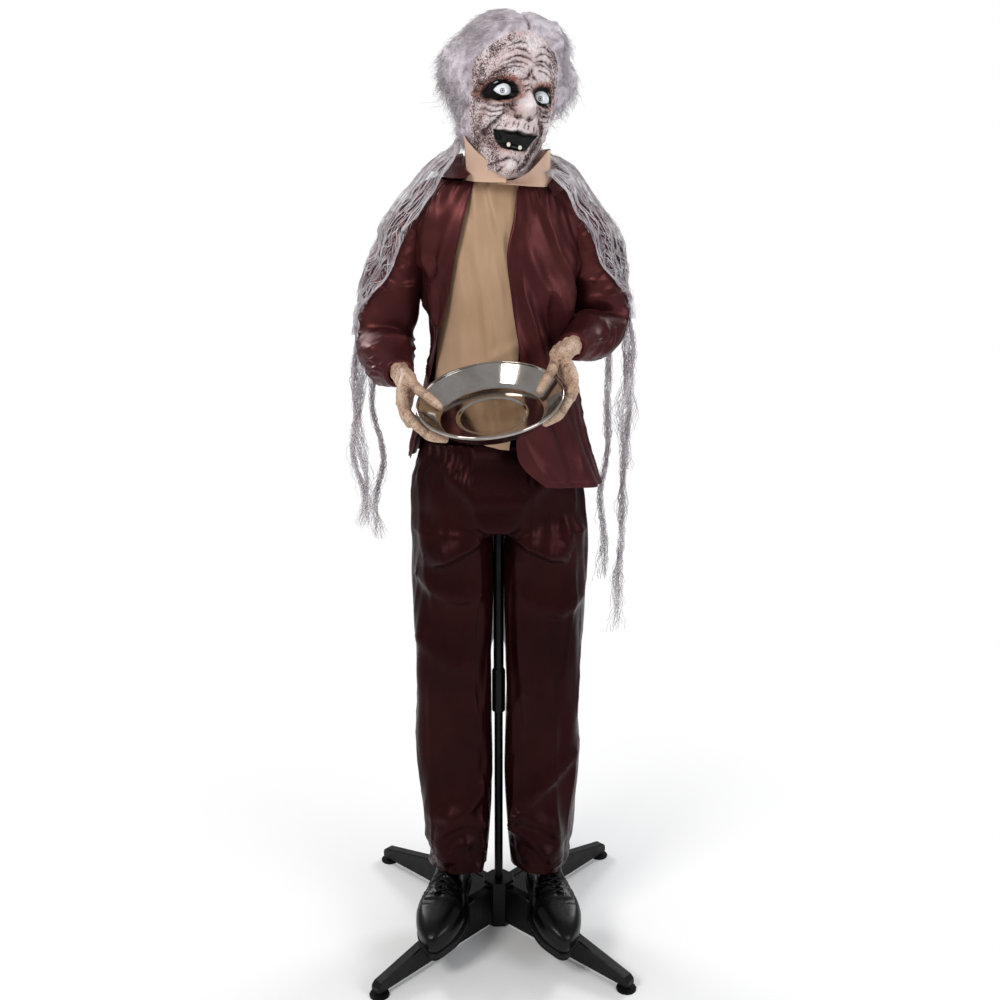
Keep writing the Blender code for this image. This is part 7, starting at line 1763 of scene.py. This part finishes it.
def limb_rings(points, radii, side, count):
    """Rings along a smooth path, with rounded ends. radii are (sideways, upright) pairs."""
    shares = np.linspace(0, 1, 12 * (len(points) - 1) + 1)
    path = through(points, shares)
    sizes = through(radii, np.linspace(0, 1, len(shares)))
    heading = np.gradient(path, axis=0)
    heading /= np.linalg.norm(heading, axis=1, keepdims=True)
    across = np.asarray(side, float) - heading * (heading @ np.asarray(side, float))[:, None]
    across /= np.linalg.norm(across, axis=1, keepdims=True)
    upright = np.cross(heading, across)
    turn = np.linspace(0, math.tau, count, endpoint=False)

    def ring(place, step, share):
        middle = path[place] + heading[place] * step * sizes[place].min()
        wide = across[place] * np.cos(turn)[:, None] * sizes[place, 0] * share
        return middle + wide + upright[place] * np.sin(turn)[:, None] * sizes[place, 1] * share

    end = ((0.5, 0.88), (0.8, 0.68), (0.95, 0.45), (1.0, 0.20))
    rings = [ring(0, -step, share) for step, share in reversed(end)]
    rings += [ring(place, 0.0, 1.0) for place in range(len(path))]
    rings += [ring(-1, step, share) for step, share in end]
    return np.array(rings), path, upright


def capped_cells(rows, columns, start):
    """A closed tube's cells: its sides, and the two ends closed by pairs of opposite points."""
    sides = grid_cells(rows, columns, True, start)
    half = np.arange(columns // 2 - 1)
    far = start + columns - 1 - half
    low = np.stack([start + half, far, far - 1, start + half + 1], axis=-1)
    high = low[:, ::-1] + (rows - 1) * columns
    return np.concatenate([sides, low, high])


def hand_limbs(side):
    """Palm, heel, thumb and four fingers as paths, sizes and a side, with knuckles thicker than bones."""
    arm = ARMS[side]
    sign, base, rim, size = arm["sign"], arm["base_deg"], DISH_RIM_RADIUS, 0.0075
    under = -DISH_DEPTH - DISH_WALL - size + 0.0015

    def at(radius, lead_deg, height):
        return dish_point(radius, base - sign * lead_deg, height)

    up = np.array(dish_frame().to_3x3() @ Vector((0, 0, 1)))
    radial = at(rim, -20, 0) - at(0, 0, 0)
    palm = [np.array(arm["inside"]), np.array(arm["wrist"]), at(rim + 0.036, -36, 0.0),
            at(rim + 0.026, -20, -0.012), at(rim + 0.018, -7, -0.022)]
    palm_sizes = [(0.0150, 0.0150), (0.0162, 0.0168), (0.0140, 0.0232), (0.0114, 0.0270), (0.0080, 0.0240)]
    limbs = [(palm, palm_sizes, radial)]
    heel = [np.array(arm["inside"]), np.array(arm["wrist"]), np.array(arm["heel"])]
    limbs.append((heel, [(0.0150, 0.0150), (0.0155, 0.0155), (0.0140, 0.0140)], radial))
    thumb = [at(rim + 0.026, -34, 0.014), at(rim + 0.001, -24, 0.008), at(rim - 0.020, -13, 0.006),
             at(rim - 0.038, 0, -0.002)]
    thumb_sizes = [(0.0118, 0.0118), (0.0082, 0.0082), (0.0094, 0.0090), (0.0080, 0.0078), (0.0090, 0.0080),
                   (0.0082, 0.0070), (0.0064, 0.0056)]
    limbs.append((thumb, thumb_sizes, up))
    for k in range(4):
        finger = [
            at(rim + 0.022 - 0.003 * k, -9 - 3 * k, -0.006 - 0.011 * k),
            at(rim + 0.006 - 0.004 * k, 4 - 5 * k, -0.020 - 0.009 * k),
            at(rim - 0.010 - 0.005 * k, 14 - 8 * k, -0.035 - 0.005 * k),
            at(rim - 0.030 - 0.005 * k, 23 - 12 * k, under),
        ]
        thick = size - 0.0003 * k
        sizes = [(thick * swell, thick * swell) for swell in (1.08, 0.96, 1.12, 0.94, 1.08, 0.92)]
        limbs.append((finger, sizes + [(thick * 0.8, thick * 0.75)], up))
    return limbs


def dress_hands(settings):
    """Both moulded hands: bony fingers, tendons on the back, wrinkles and hollows darkened brown."""
    finish = hand_finish()
    around = 40
    for side in ("right", "left"):
        points, cells, limbs = [], [], []
        start = 0
        for number, (path, sizes, way) in enumerate(hand_limbs(side)):
            rings, spine, upright = limb_rings(path, sizes, way, around)
            points.append(rings.reshape(-1, 3))
            cells.append(capped_cells(len(rings), around, start))
            start += len(rings) * around
            limbs.append((number, spine, upright))
        rough = make_object(f"hand_rough_{side}", np.concatenate(points), np.concatenate(cells), finish)
        joined = rough.modifiers.new("one_skin", "REMESH")
        joined.mode = "VOXEL"
        joined.voxel_size = settings.hand_grain
        evaluated = rough.evaluated_get(bpy.context.evaluated_depsgraph_get())
        mesh = bpy.data.meshes.new_from_object(evaluated)
        mesh.calc_loop_triangles()
        place = np.empty(len(mesh.vertices) * 3, np.float32)
        mesh.vertices.foreach_get("co", place)
        place = place.reshape(-1, 3).astype(float)
        quads = np.empty(len(mesh.loops), np.int32)
        mesh.loops.foreach_get("vertex_index", quads)
        quads = quads.reshape(-1, 4)
        bpy.data.objects.remove(rough)
        for _ in range(3):
            place = eased(place, quads, 0.5)
        depth, crease = hand_relief(place, limbs)
        moved = pushed(place, quads, depth)
        # Hollows darken by how far they lie below their neighbours
        crease = np.clip(crease + 0.8 * hollowness(eased(moved, quads, 0.5), quads, 0.00016), 0, 1)
        hand = make_object(f"hand_skin_{side}", moved, quads, finish, fields={"crease": crease})
        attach(hand, "frame")
        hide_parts(f"hand_{side}")


def hand_relief(points, limbs):
    """Wrinkles round the knuckles, tendons along the palm and folds of skin: depth and darkness."""
    best = np.full(len(points), 1.0)
    along = np.zeros(len(points))
    limb = np.zeros(len(points), int)
    over = np.zeros(len(points))
    for number, spine, upright in limbs:
        for step in range(len(spine)):
            apart = points - spine[step]
            gap = np.linalg.norm(apart, axis=1)
            nearer = gap < best
            best[nearer] = gap[nearer]
            along[nearer] = step / (len(spine) - 1)
            limb[nearer] = number
            over[nearer] = (apart[nearer] @ upright[step]) / np.maximum(gap[nearer], 1e-6)
    wobble = 0.010 * ripples(points, 0.006, 301)
    depth = np.zeros(len(points))
    crease = np.zeros(len(points))
    finger = limb > 1
    for centre in (0.30, 0.60):
        for offset in (-0.030, -0.012, 0.008, 0.028):
            line = ridge(along + wobble, centre + offset, 0.006) * finger
            depth -= 0.00045 * line
            crease = np.maximum(crease, 0.75 * line)
    tendon = np.maximum(ripples(points, 0.014, 302), 0)
    depth += 0.0009 * tendon * (limb < 2)
    skin = folded(points, 0.0075, 303, (1.0, 2.2, 1.0))
    depth -= 0.00045 * smoothstep(skin, 0.2, 0.95)
    crease = np.maximum(crease, 0.80 * smoothstep(skin, 0.40, 0.95))
    depth -= 0.0006 * smoothstep(-tendon, -0.08, 0.0) * (limb < 2)
    return depth, crease


# The dish


def dress_dish(settings):
    """The steel dish as one turned surface, polished so that it mirrors the clothes behind it."""
    rim = np.radians(range(150, -91, -20))
    bead = DISH_BEAD_CENTRE + DISH_BEAD_RADIUS * np.stack([np.cos(rim), np.sin(rim)], axis=-1)
    chains = ((DISH_INSIDE, 0.0016), (bead, 0.0), (DISH_OUTSIDE, 0.0010))
    profile = np.concatenate([rounded_line(np.array(chain), reach) for chain, reach in chains])
    turn = np.linspace(0, math.tau, settings.dish_steps, endpoint=False)
    rings = np.stack(
        [profile[:, :1] * np.cos(turn), profile[:, :1] * np.sin(turn), profile[:, 1:] + 0 * turn], axis=-1
    )
    cells = grid_cells(len(profile), len(turn), wrap=True)
    dish = make_object("dish_steel_bowl", turned(dish_frame(), rings), cells, dish_finish())
    tidy_mesh(dish)
    turn_faces_out(dish)
    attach(dish, "frame")
    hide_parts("dish")


def rounded_line(chain, reach):
    """The chain's points at about 0.8 mm steps, with its corners rounded over a reach."""
    if reach <= 0:
        return chain
    lengths = np.concatenate([[0], np.cumsum(np.linalg.norm(np.diff(chain, axis=0), axis=1))])
    even = np.linspace(0, lengths[-1], max(int(lengths[-1] / 0.0008), 4))
    total = np.zeros((len(even), 2))
    room = np.minimum(1, np.minimum(even, lengths[-1] - even) / reach)
    offsets = np.linspace(-reach, reach, 9)
    for offset in offsets:
        place = np.clip(even + offset * room, 0, lengths[-1])
        total += np.stack([np.interp(place, lengths, chain[:, k]) for k in (0, 1)], axis=1)
    return total / len(offsets)


# Boots


def boot_placement(sign):
    """Sets the boot's sole on the sloping top edge of a front leg, toe out and toe down."""
    angle = math.radians((225 if sign < 0 else 315) + STAND_TURN_DEG)
    along = Vector((math.cos(angle), math.sin(angle), -LEG_SLOPE)).normalized()
    level = Vector((0, 0, 1)).cross(Vector((math.cos(angle), math.sin(angle), 0)))
    up = along.cross(level).normalized()
    toe_out = math.radians(BOOT_TOE_OUT_DEG) * sign
    toe = Vector((math.sin(toe_out), -math.cos(toe_out), 0))
    toe = (toe - up * toe.dot(up)).normalized()
    side = up.cross(toe)
    x = sign * LEG_TUBE_X
    reach = x * math.cos(angle) + LEG_TUBE_Y * math.sin(angle)
    ground = Vector((x, LEG_TUBE_Y, LEG_TOP_Z - LEG_SLOPE * reach))
    turn = Matrix((side, -toe, up)).transposed().to_4x4()
    return Matrix.Translation(ground + up * 0.0003) @ turn


def boot_outline(heel, toe, angles):
    """X and Y round the boot at full width, between a heel and a toe."""
    half = (heel - toe) / 2
    y = (heel + toe) / 2 + half * np.sin(angles)
    share = np.clip((BOOT_HEEL_Y - y) / BOOT_LENGTH, 0, 1)
    half_width = np.maximum(through(SOLE_WIDTHS, share)[..., 0] * BOOT_WIDTH / 2, 0.001)
    return np.sign(np.cos(angles)) * np.abs(np.cos(angles)) ** 0.75 * half_width, y


def boot_upper(shares, angles):
    """Rings of the upper from the sole to the ankle, in the boot's own frame."""
    height, heel, toe, wide = levels(BOOT_STATIONS, shares)
    x, y = boot_outline(heel, toe, angles)
    return np.stack([x * wide, y, BOOT_SOLE_THICKNESS + height + 0 * y], axis=-1)


def dress_boots():
    """Black laced boots: a creased upper with a toe cap and facings, laces, a sole with a welt."""
    leather = boot_finish("boot_leather", 0.30)
    rubber = boot_finish("boot_rubber", 0.55)
    lace = boot_finish("boot_lace", 0.75)
    rows, columns = 110, 140
    angles = np.linspace(0, math.tau, columns, endpoint=False)[None, :]
    for side, sign in (("right", -1), ("left", 1)):
        place = boot_placement(sign)
        upper = boot_upper(np.linspace(0, 1, rows), angles)
        x, y, z = (upper[..., k] for k in range(3))
        # The instep bends in creases, the toe cap stands proud, and the ankle slouches
        bend = ridge(y, -0.085, 0.030) * smoothstep(z, 0.030, 0.055)
        lift = 0.0014 * folded(upper, 0.018, 401 + sign, (3.0, 0.6, 1.0)) * bend
        lift += 0.0022 * folded(upper, 0.040, 403 + sign, (2.0, 2.0, 0.6)) * smoothstep(z, 0.060, 0.085)
        cap = smoothstep(-(y + 0.128), -0.0015, 0.0015)
        lift += 0.0010 * cap * smoothstep(z, 0.014, 0.018)
        front = smoothstep(-y, 0.030, 0.034)
        facing = smoothstep(0.030 - np.abs(x), -0.0008, 0.0008) * front * smoothstep(-y, 0.118, 0.112)
        slit = ridge(x, 0, 0.0028) * front * smoothstep(0.112 + y, 0, 0.004)
        lift += (0.0012 * facing - 0.0016 * slit) * smoothstep(z, 0.045, 0.05)
        cells = grid_cells(rows, columns, wrap=True)
        moved = pushed(upper.reshape(-1, 3), cells, lift.ravel())
        piece = make_object(f"boot_upper_{side}", turned(place, moved), cells, leather)
        thicken(piece, BOOT_UPPER_THICKNESS)
        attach(piece, "frame")
        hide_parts(f"boot_{side}")
        x, y = boot_outline(BOOT_HEEL_Y, BOOT_HEEL_Y - BOOT_LENGTH, angles[0])
        middle = BOOT_HEEL_Y - BOOT_LENGTH / 2
        rings = np.array([
            np.stack([1.04 * x * share, middle + (y - middle) * share, 0 * x + height], axis=-1)
            for share, height in SOLE_LEVELS
        ])
        cells = grid_cells(len(rings), columns, wrap=True)
        sole = make_object(f"boot_sole_{side}", turned(place, rings), cells, rubber)
        tidy_mesh(sole)
        turn_faces_out(sole)
        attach(sole, "frame")
        laces = boot_laces(place)
        points, faces = strands(laces, np.full(laces.shape[1], LACE_RADIUS), sides=8)
        cords = make_object(f"boot_laces_{side}", points, faces, lace)
        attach(cords, "frame")


def boot_laces(place):
    """Crossing laces over the instep, each from one facing to the next one up."""
    table = boot_upper(np.linspace(0, 1, 200), np.array([[-math.pi / 2]]))[:, 0]
    ways = []
    share = np.linspace(0, 1, 16)
    for level in range(LACE_CROSSINGS):
        for mirror in (-1, 1):
            x = mirror * (-0.013 + 0.026 * share)
            y = -0.106 + 0.012 * (level + share)
            z = np.interp(-y, -table[:, 1][::-1], table[:, 2][::-1])
            rise = 0.0018 + 0.0022 * np.sin(math.pi * share) + (0.0006 if mirror > 0 else 0.0)
            ways.append(np.stack([x, y, z + rise - 6.0 * x**2], axis=-1))
    return turned(place, np.array(ways))


# The rest of the figure


def dress_frame():
    """Better finishes for the stand, pole, mechanism and control box, and rounded edges."""
    black = paint_finish("stand_black", (9, 8, 11), 0.42, grain=420.0, worn=(26, 25, 28))
    rubber = paint_finish("pad_rubber", (10, 10, 11), 0.75, grain=200.0, worn=(28, 27, 26))
    grey = paint_finish("shell_grey", (112, 112, 116), 0.55, worn=(150, 150, 152))
    white = paint_finish("gear_white", (220, 218, 210), 0.40, worn=(236, 234, 230))
    steel = drawn_metal("bright_steel", (190, 190, 194), 0.28)
    brass = drawn_metal("worn_brass", (200, 160, 90), 0.32)
    dark = drawn_metal("dark_metal", (120, 118, 116), 0.30)
    box = paint_finish("box_black", (34, 34, 37), 0.5, worn=(64, 64, 68))
    finishes = (
        (("foot_pad",), rubber),
        (BLACK_METAL, black),
        (("neck_gear", "motor_pinion"), white),
        (BRIGHT_METAL, steel),
        (GREY_PLASTIC, grey),
        (BOX_PARTS, box),
        (("neck_bush", "battery"), brass),
        (("dish_tie",), dark),
    )
    for name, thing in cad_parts.items():
        for starts, finish in finishes:
            if name.startswith(starts):
                refinish(thing, finish)
                break
        if name.startswith(BLACK_METAL + ("foot_pad", "control_box", "battery_door")):
            soften = thing.modifiers.new("worn_edges", "BEVEL")
            soften.width = 0.0006
            soften.segments = 2
            soften.limit_method = "ANGLE"
            soften.angle_limit = math.radians(35)


# The stage


def area_light(name, place, target, size, power, tint):
    """A square lamp at a place, turned towards a target."""
    light = bpy.data.lights.new(name, "AREA")
    light.size = size
    light.energy = power
    light.color = tint
    lamp = bpy.data.objects.new(name, light)
    lamp.location = place
    lamp.rotation_euler = (Vector(target) - Vector(place)).to_track_quat("-Z", "Y").to_euler()
    bpy.context.scene.collection.objects.link(lamp)
    return lamp


def dress_stage(settings):
    """A white studio: pale floor, white surround, soft lamps, and the photograph's camera."""
    camera = bpy.data.cameras.new("photo_camera")
    camera.lens = settings.lens
    camera.sensor_width = CAMERA_SENSOR_MM
    view = bpy.data.objects.new("photo_camera", camera)
    view.location = CAMERA_PLACE
    view.rotation_euler = (math.radians(90 - CAMERA_PITCH_DEG), 0, 0)
    bpy.context.scene.collection.objects.link(view)
    bpy.context.scene.camera = view
    world = bpy.data.worlds.new("studio_world")
    bpy.context.scene.world = world
    world.use_nodes = True
    tree = world.node_tree
    tree.nodes.clear()
    path = node(tree, "ShaderNodeLightPath")
    seen = maths(tree, "MAXIMUM", path.outputs["Is Camera Ray"], path.outputs["Is Transmission Ray"])
    white = node(tree, "ShaderNodeBackground", Color=(1, 1, 1, 1), Strength=1.0)
    soft = node(tree, "ShaderNodeBackground", Color=(0.97, 0.98, 1.0, 1), Strength=settings.world_strength)
    both = node(tree, "ShaderNodeMixShader", i0=seen, i1=soft.outputs[0], i2=white.outputs[0])
    node(tree, "ShaderNodeOutputWorld", Surface=both.outputs[0])
    corners = [(x * FLOOR_HALF_SIZE, y * FLOOR_HALF_SIZE, 0) for x, y in ((-1, -1), (1, -1), (1, 1), (-1, 1))]
    floor = make_object("studio_floor", corners, [(0, 1, 2, 3)], floor_finish())
    power = settings.lamp_power
    lamps = [
        area_light(name, place, (0, 0, target_z), size, power * share, tint)
        for name, place, target_z, size, share, tint in LAMPS
    ]
    bpy.context.scene.view_settings.view_transform = "Standard"


def floor_finish():
    """White floor that keeps the figure's shadow and melts into the backdrop further out."""
    finish, tree, shader = new_finish("studio_floor", 0.9)
    shader.inputs["Base Color"].default_value = (0.97, 0.97, 0.97, 1)
    place = node(tree, "ShaderNodeTexCoord").outputs["Object"]
    reach = node(tree, "ShaderNodeVectorMath", {"operation": "LENGTH"}, i0=place).outputs["Value"]
    fade = between(tree, reach, FLOOR_FADE_START, FLOOR_FADE_END)
    seen = node(tree, "ShaderNodeLightPath").outputs["Is Camera Ray"]
    glow = node(tree, "ShaderNodeEmission", Color=(1, 1, 1, 1), Strength=1.0)
    both = node(
        tree, "ShaderNodeMixShader", i0=maths(tree, "MULTIPLY", fade, seen),
        i1=shader.outputs[0], i2=glow.outputs[0],
    )
    out = next(made for made in tree.nodes if made.type == "OUTPUT_MATERIAL")
    tree.links.new(both.outputs[0], out.inputs["Surface"])
    return finish


# The add-on: settings, one operator for each piece, a panel


class FigureHeadSettings(PropertyGroup):
    skin_rows: IntProperty(name="Skin rows", description="Rings down the mask", default=330, min=60)
    skin_columns: IntProperty(name="Skin columns", description="Points round the mask", default=250, min=60)
    strand_count: IntProperty(name="Strands", description="Hair strands in each group", default=3200, min=100)
    strand_radius: FloatProperty(
        name="Strand radius", description="Half the thickness of a strand", default=0.00042, unit="LENGTH"
    )


class FigureClothSettings(PropertyGroup):
    cloth_thickness: FloatProperty(
        name="Cloth thickness", description="Thickness of the satin", default=0.0012, unit="LENGTH"
    )
    jacket_colour: FloatVectorProperty(
        name="Jacket colour", description="Colour of the jacket in the light", subtype="COLOR",
        default=(0.100, 0.025, 0.026),
    )
    shirt_colour: FloatVectorProperty(
        name="Shirt colour", description="Colour of the shirt in the light", subtype="COLOR",
        default=(0.480, 0.320, 0.215),
    )
    trouser_colour: FloatVectorProperty(
        name="Trouser colour", description="Colour of the trousers in the light", subtype="COLOR",
        default=(0.026, 0.0040, 0.0043),
    )
    gauze_cover: FloatProperty(
        name="Gauze cover", description="Share of the light stopped by the thin gauze", default=0.08,
        subtype="FACTOR",
    )
    warp_count: IntProperty(name="Warp threads", description="Threads along the gauze", default=66)
    weft_count: IntProperty(name="Weft threads", description="Threads across the gauze", default=70)
    strip_threads: IntProperty(name="Strip threads", description="Threads in each hanging strip", default=44)


class FigureLimbSettings(PropertyGroup):
    hand_grain: FloatProperty(
        name="Hand grain", description="Step of the hands' surface", default=0.0013, unit="LENGTH"
    )
    dish_steps: IntProperty(name="Dish steps", description="Points round the dish", default=128)


class FigureStageSettings(PropertyGroup):
    lens: FloatProperty(name="Lens", description="Focal length in millimetres", default=CAMERA_LENS_MM)
    lamp_power: FloatProperty(
        name="Lamp power", description="Power of the key lamp", default=58.0, unit="POWER"
    )
    world_strength: FloatProperty(name="Surround", description="Light from all around", default=0.44)


class OBJECT_OT_figure_mask(Operator):
    """Lays the wrinkled mask skin over the head, with its eyes and teeth"""

    bl_idname = "object.figure_mask"
    bl_label = "Dress mask"

    def execute(self, context):
        dress_mask(context.scene.figure_head)
        return {"FINISHED"}


class OBJECT_OT_figure_hair(Operator):
    """Grows the combed hair with its strands and wisps"""

    bl_idname = "object.figure_hair"
    bl_label = "Dress hair"

    def execute(self, context):
        dress_hair(context.scene.figure_head)
        return {"FINISHED"}


class OBJECT_OT_figure_jacket(Operator):
    """Makes the jacket's body, collar and sleeves"""

    bl_idname = "object.figure_jacket"
    bl_label = "Dress jacket"

    def execute(self, context):
        dress_jacket(context.scene.figure_cloth)
        dress_sleeves(context.scene.figure_cloth)
        return {"FINISHED"}


class OBJECT_OT_figure_shirt(Operator):
    """Makes the shirt front, its yoke and its collar"""

    bl_idname = "object.figure_shirt"
    bl_label = "Dress shirt"

    def execute(self, context):
        dress_shirt(context.scene.figure_cloth)
        return {"FINISHED"}


class OBJECT_OT_figure_trousers(Operator):
    """Makes the trousers"""

    bl_idname = "object.figure_trousers"
    bl_label = "Dress trousers"

    def execute(self, context):
        dress_trousers(context.scene.figure_cloth)
        return {"FINISHED"}


class OBJECT_OT_figure_gauze(Operator):
    """Lays the torn gauze over both arms"""

    bl_idname = "object.figure_gauze"
    bl_label = "Dress gauze"

    def execute(self, context):
        dress_gauze(context.scene.figure_cloth)
        return {"FINISHED"}


class OBJECT_OT_figure_hands(Operator):
    """Moulds both hands"""

    bl_idname = "object.figure_hands"
    bl_label = "Dress hands"

    def execute(self, context):
        dress_hands(context.scene.figure_limbs)
        return {"FINISHED"}


class OBJECT_OT_figure_dish(Operator):
    """Turns the steel dish"""

    bl_idname = "object.figure_dish"
    bl_label = "Dress dish"

    def execute(self, context):
        dress_dish(context.scene.figure_limbs)
        return {"FINISHED"}


class OBJECT_OT_figure_boots(Operator):
    """Makes both laced boots"""

    bl_idname = "object.figure_boots"
    bl_label = "Dress boots"

    def execute(self, context):
        dress_boots()
        return {"FINISHED"}


class OBJECT_OT_figure_frame(Operator):
    """Finishes the stand, the pole, the mechanism and the control box"""

    bl_idname = "object.figure_frame"
    bl_label = "Dress frame"

    def execute(self, context):
        dress_frame()
        return {"FINISHED"}


class OBJECT_OT_figure_stage(Operator):
    """Sets up the studio: floor, surround, lamps and camera"""

    bl_idname = "object.figure_stage"
    bl_label = "Set up studio"

    def execute(self, context):
        dress_stage(context.scene.figure_stage)
        return {"FINISHED"}


class VIEW3D_PT_figure(Panel):
    """The figure's settings and its operators, in the order they are run"""

    bl_label = "Halloween Butler Figure"
    bl_idname = "VIEW3D_PT_figure"
    bl_space_type = "VIEW_3D"
    bl_region_type = "UI"
    bl_category = "Figure"

    def draw(self, context):
        layout = self.layout
        for holder, group in (
            (context.scene.figure_head, FigureHeadSettings),
            (context.scene.figure_cloth, FigureClothSettings),
            (context.scene.figure_limbs, FigureLimbSettings),
            (context.scene.figure_stage, FigureStageSettings),
        ):
            box = layout.box()
            for name in group.__annotations__:
                box.prop(holder, name)
        for operator in OPERATORS:
            layout.operator(operator.bl_idname)


OPERATORS = (
    OBJECT_OT_figure_frame,
    OBJECT_OT_figure_mask,
    OBJECT_OT_figure_hair,
    OBJECT_OT_figure_jacket,
    OBJECT_OT_figure_shirt,
    OBJECT_OT_figure_trousers,
    OBJECT_OT_figure_gauze,
    OBJECT_OT_figure_hands,
    OBJECT_OT_figure_dish,
    OBJECT_OT_figure_boots,
    OBJECT_OT_figure_stage,
)
GROUPS = (
    ("figure_head", FigureHeadSettings),
    ("figure_cloth", FigureClothSettings),
    ("figure_limbs", FigureLimbSettings),
    ("figure_stage", FigureStageSettings),
)


def register():
    for name, group in GROUPS:
        bpy.utils.register_class(group)
        setattr(bpy.types.Scene, name, PointerProperty(type=group))
    for operator in OPERATORS:
        bpy.utils.register_class(operator)
    bpy.utils.register_class(VIEW3D_PT_figure)


def unregister():
    bpy.utils.unregister_class(VIEW3D_PT_figure)
    for operator in reversed(OPERATORS):
        bpy.utils.unregister_class(operator)
    for name, group in reversed(GROUPS):
        delattr(bpy.types.Scene, name)
        bpy.utils.unregister_class(group)


def main():
    """Registers the add-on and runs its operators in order."""
    register()
    bpy.ops.object.figure_frame()
    bpy.ops.object.figure_mask()
    bpy.ops.object.figure_hair()
    bpy.ops.object.figure_jacket()
    bpy.ops.object.figure_shirt()
    bpy.ops.object.figure_trousers()
    bpy.ops.object.figure_gauze()
    bpy.ops.object.figure_hands()
    bpy.ops.object.figure_dish()
    bpy.ops.object.figure_boots()
    bpy.ops.object.figure_stage()


if __name__ == "__main__":
    main()
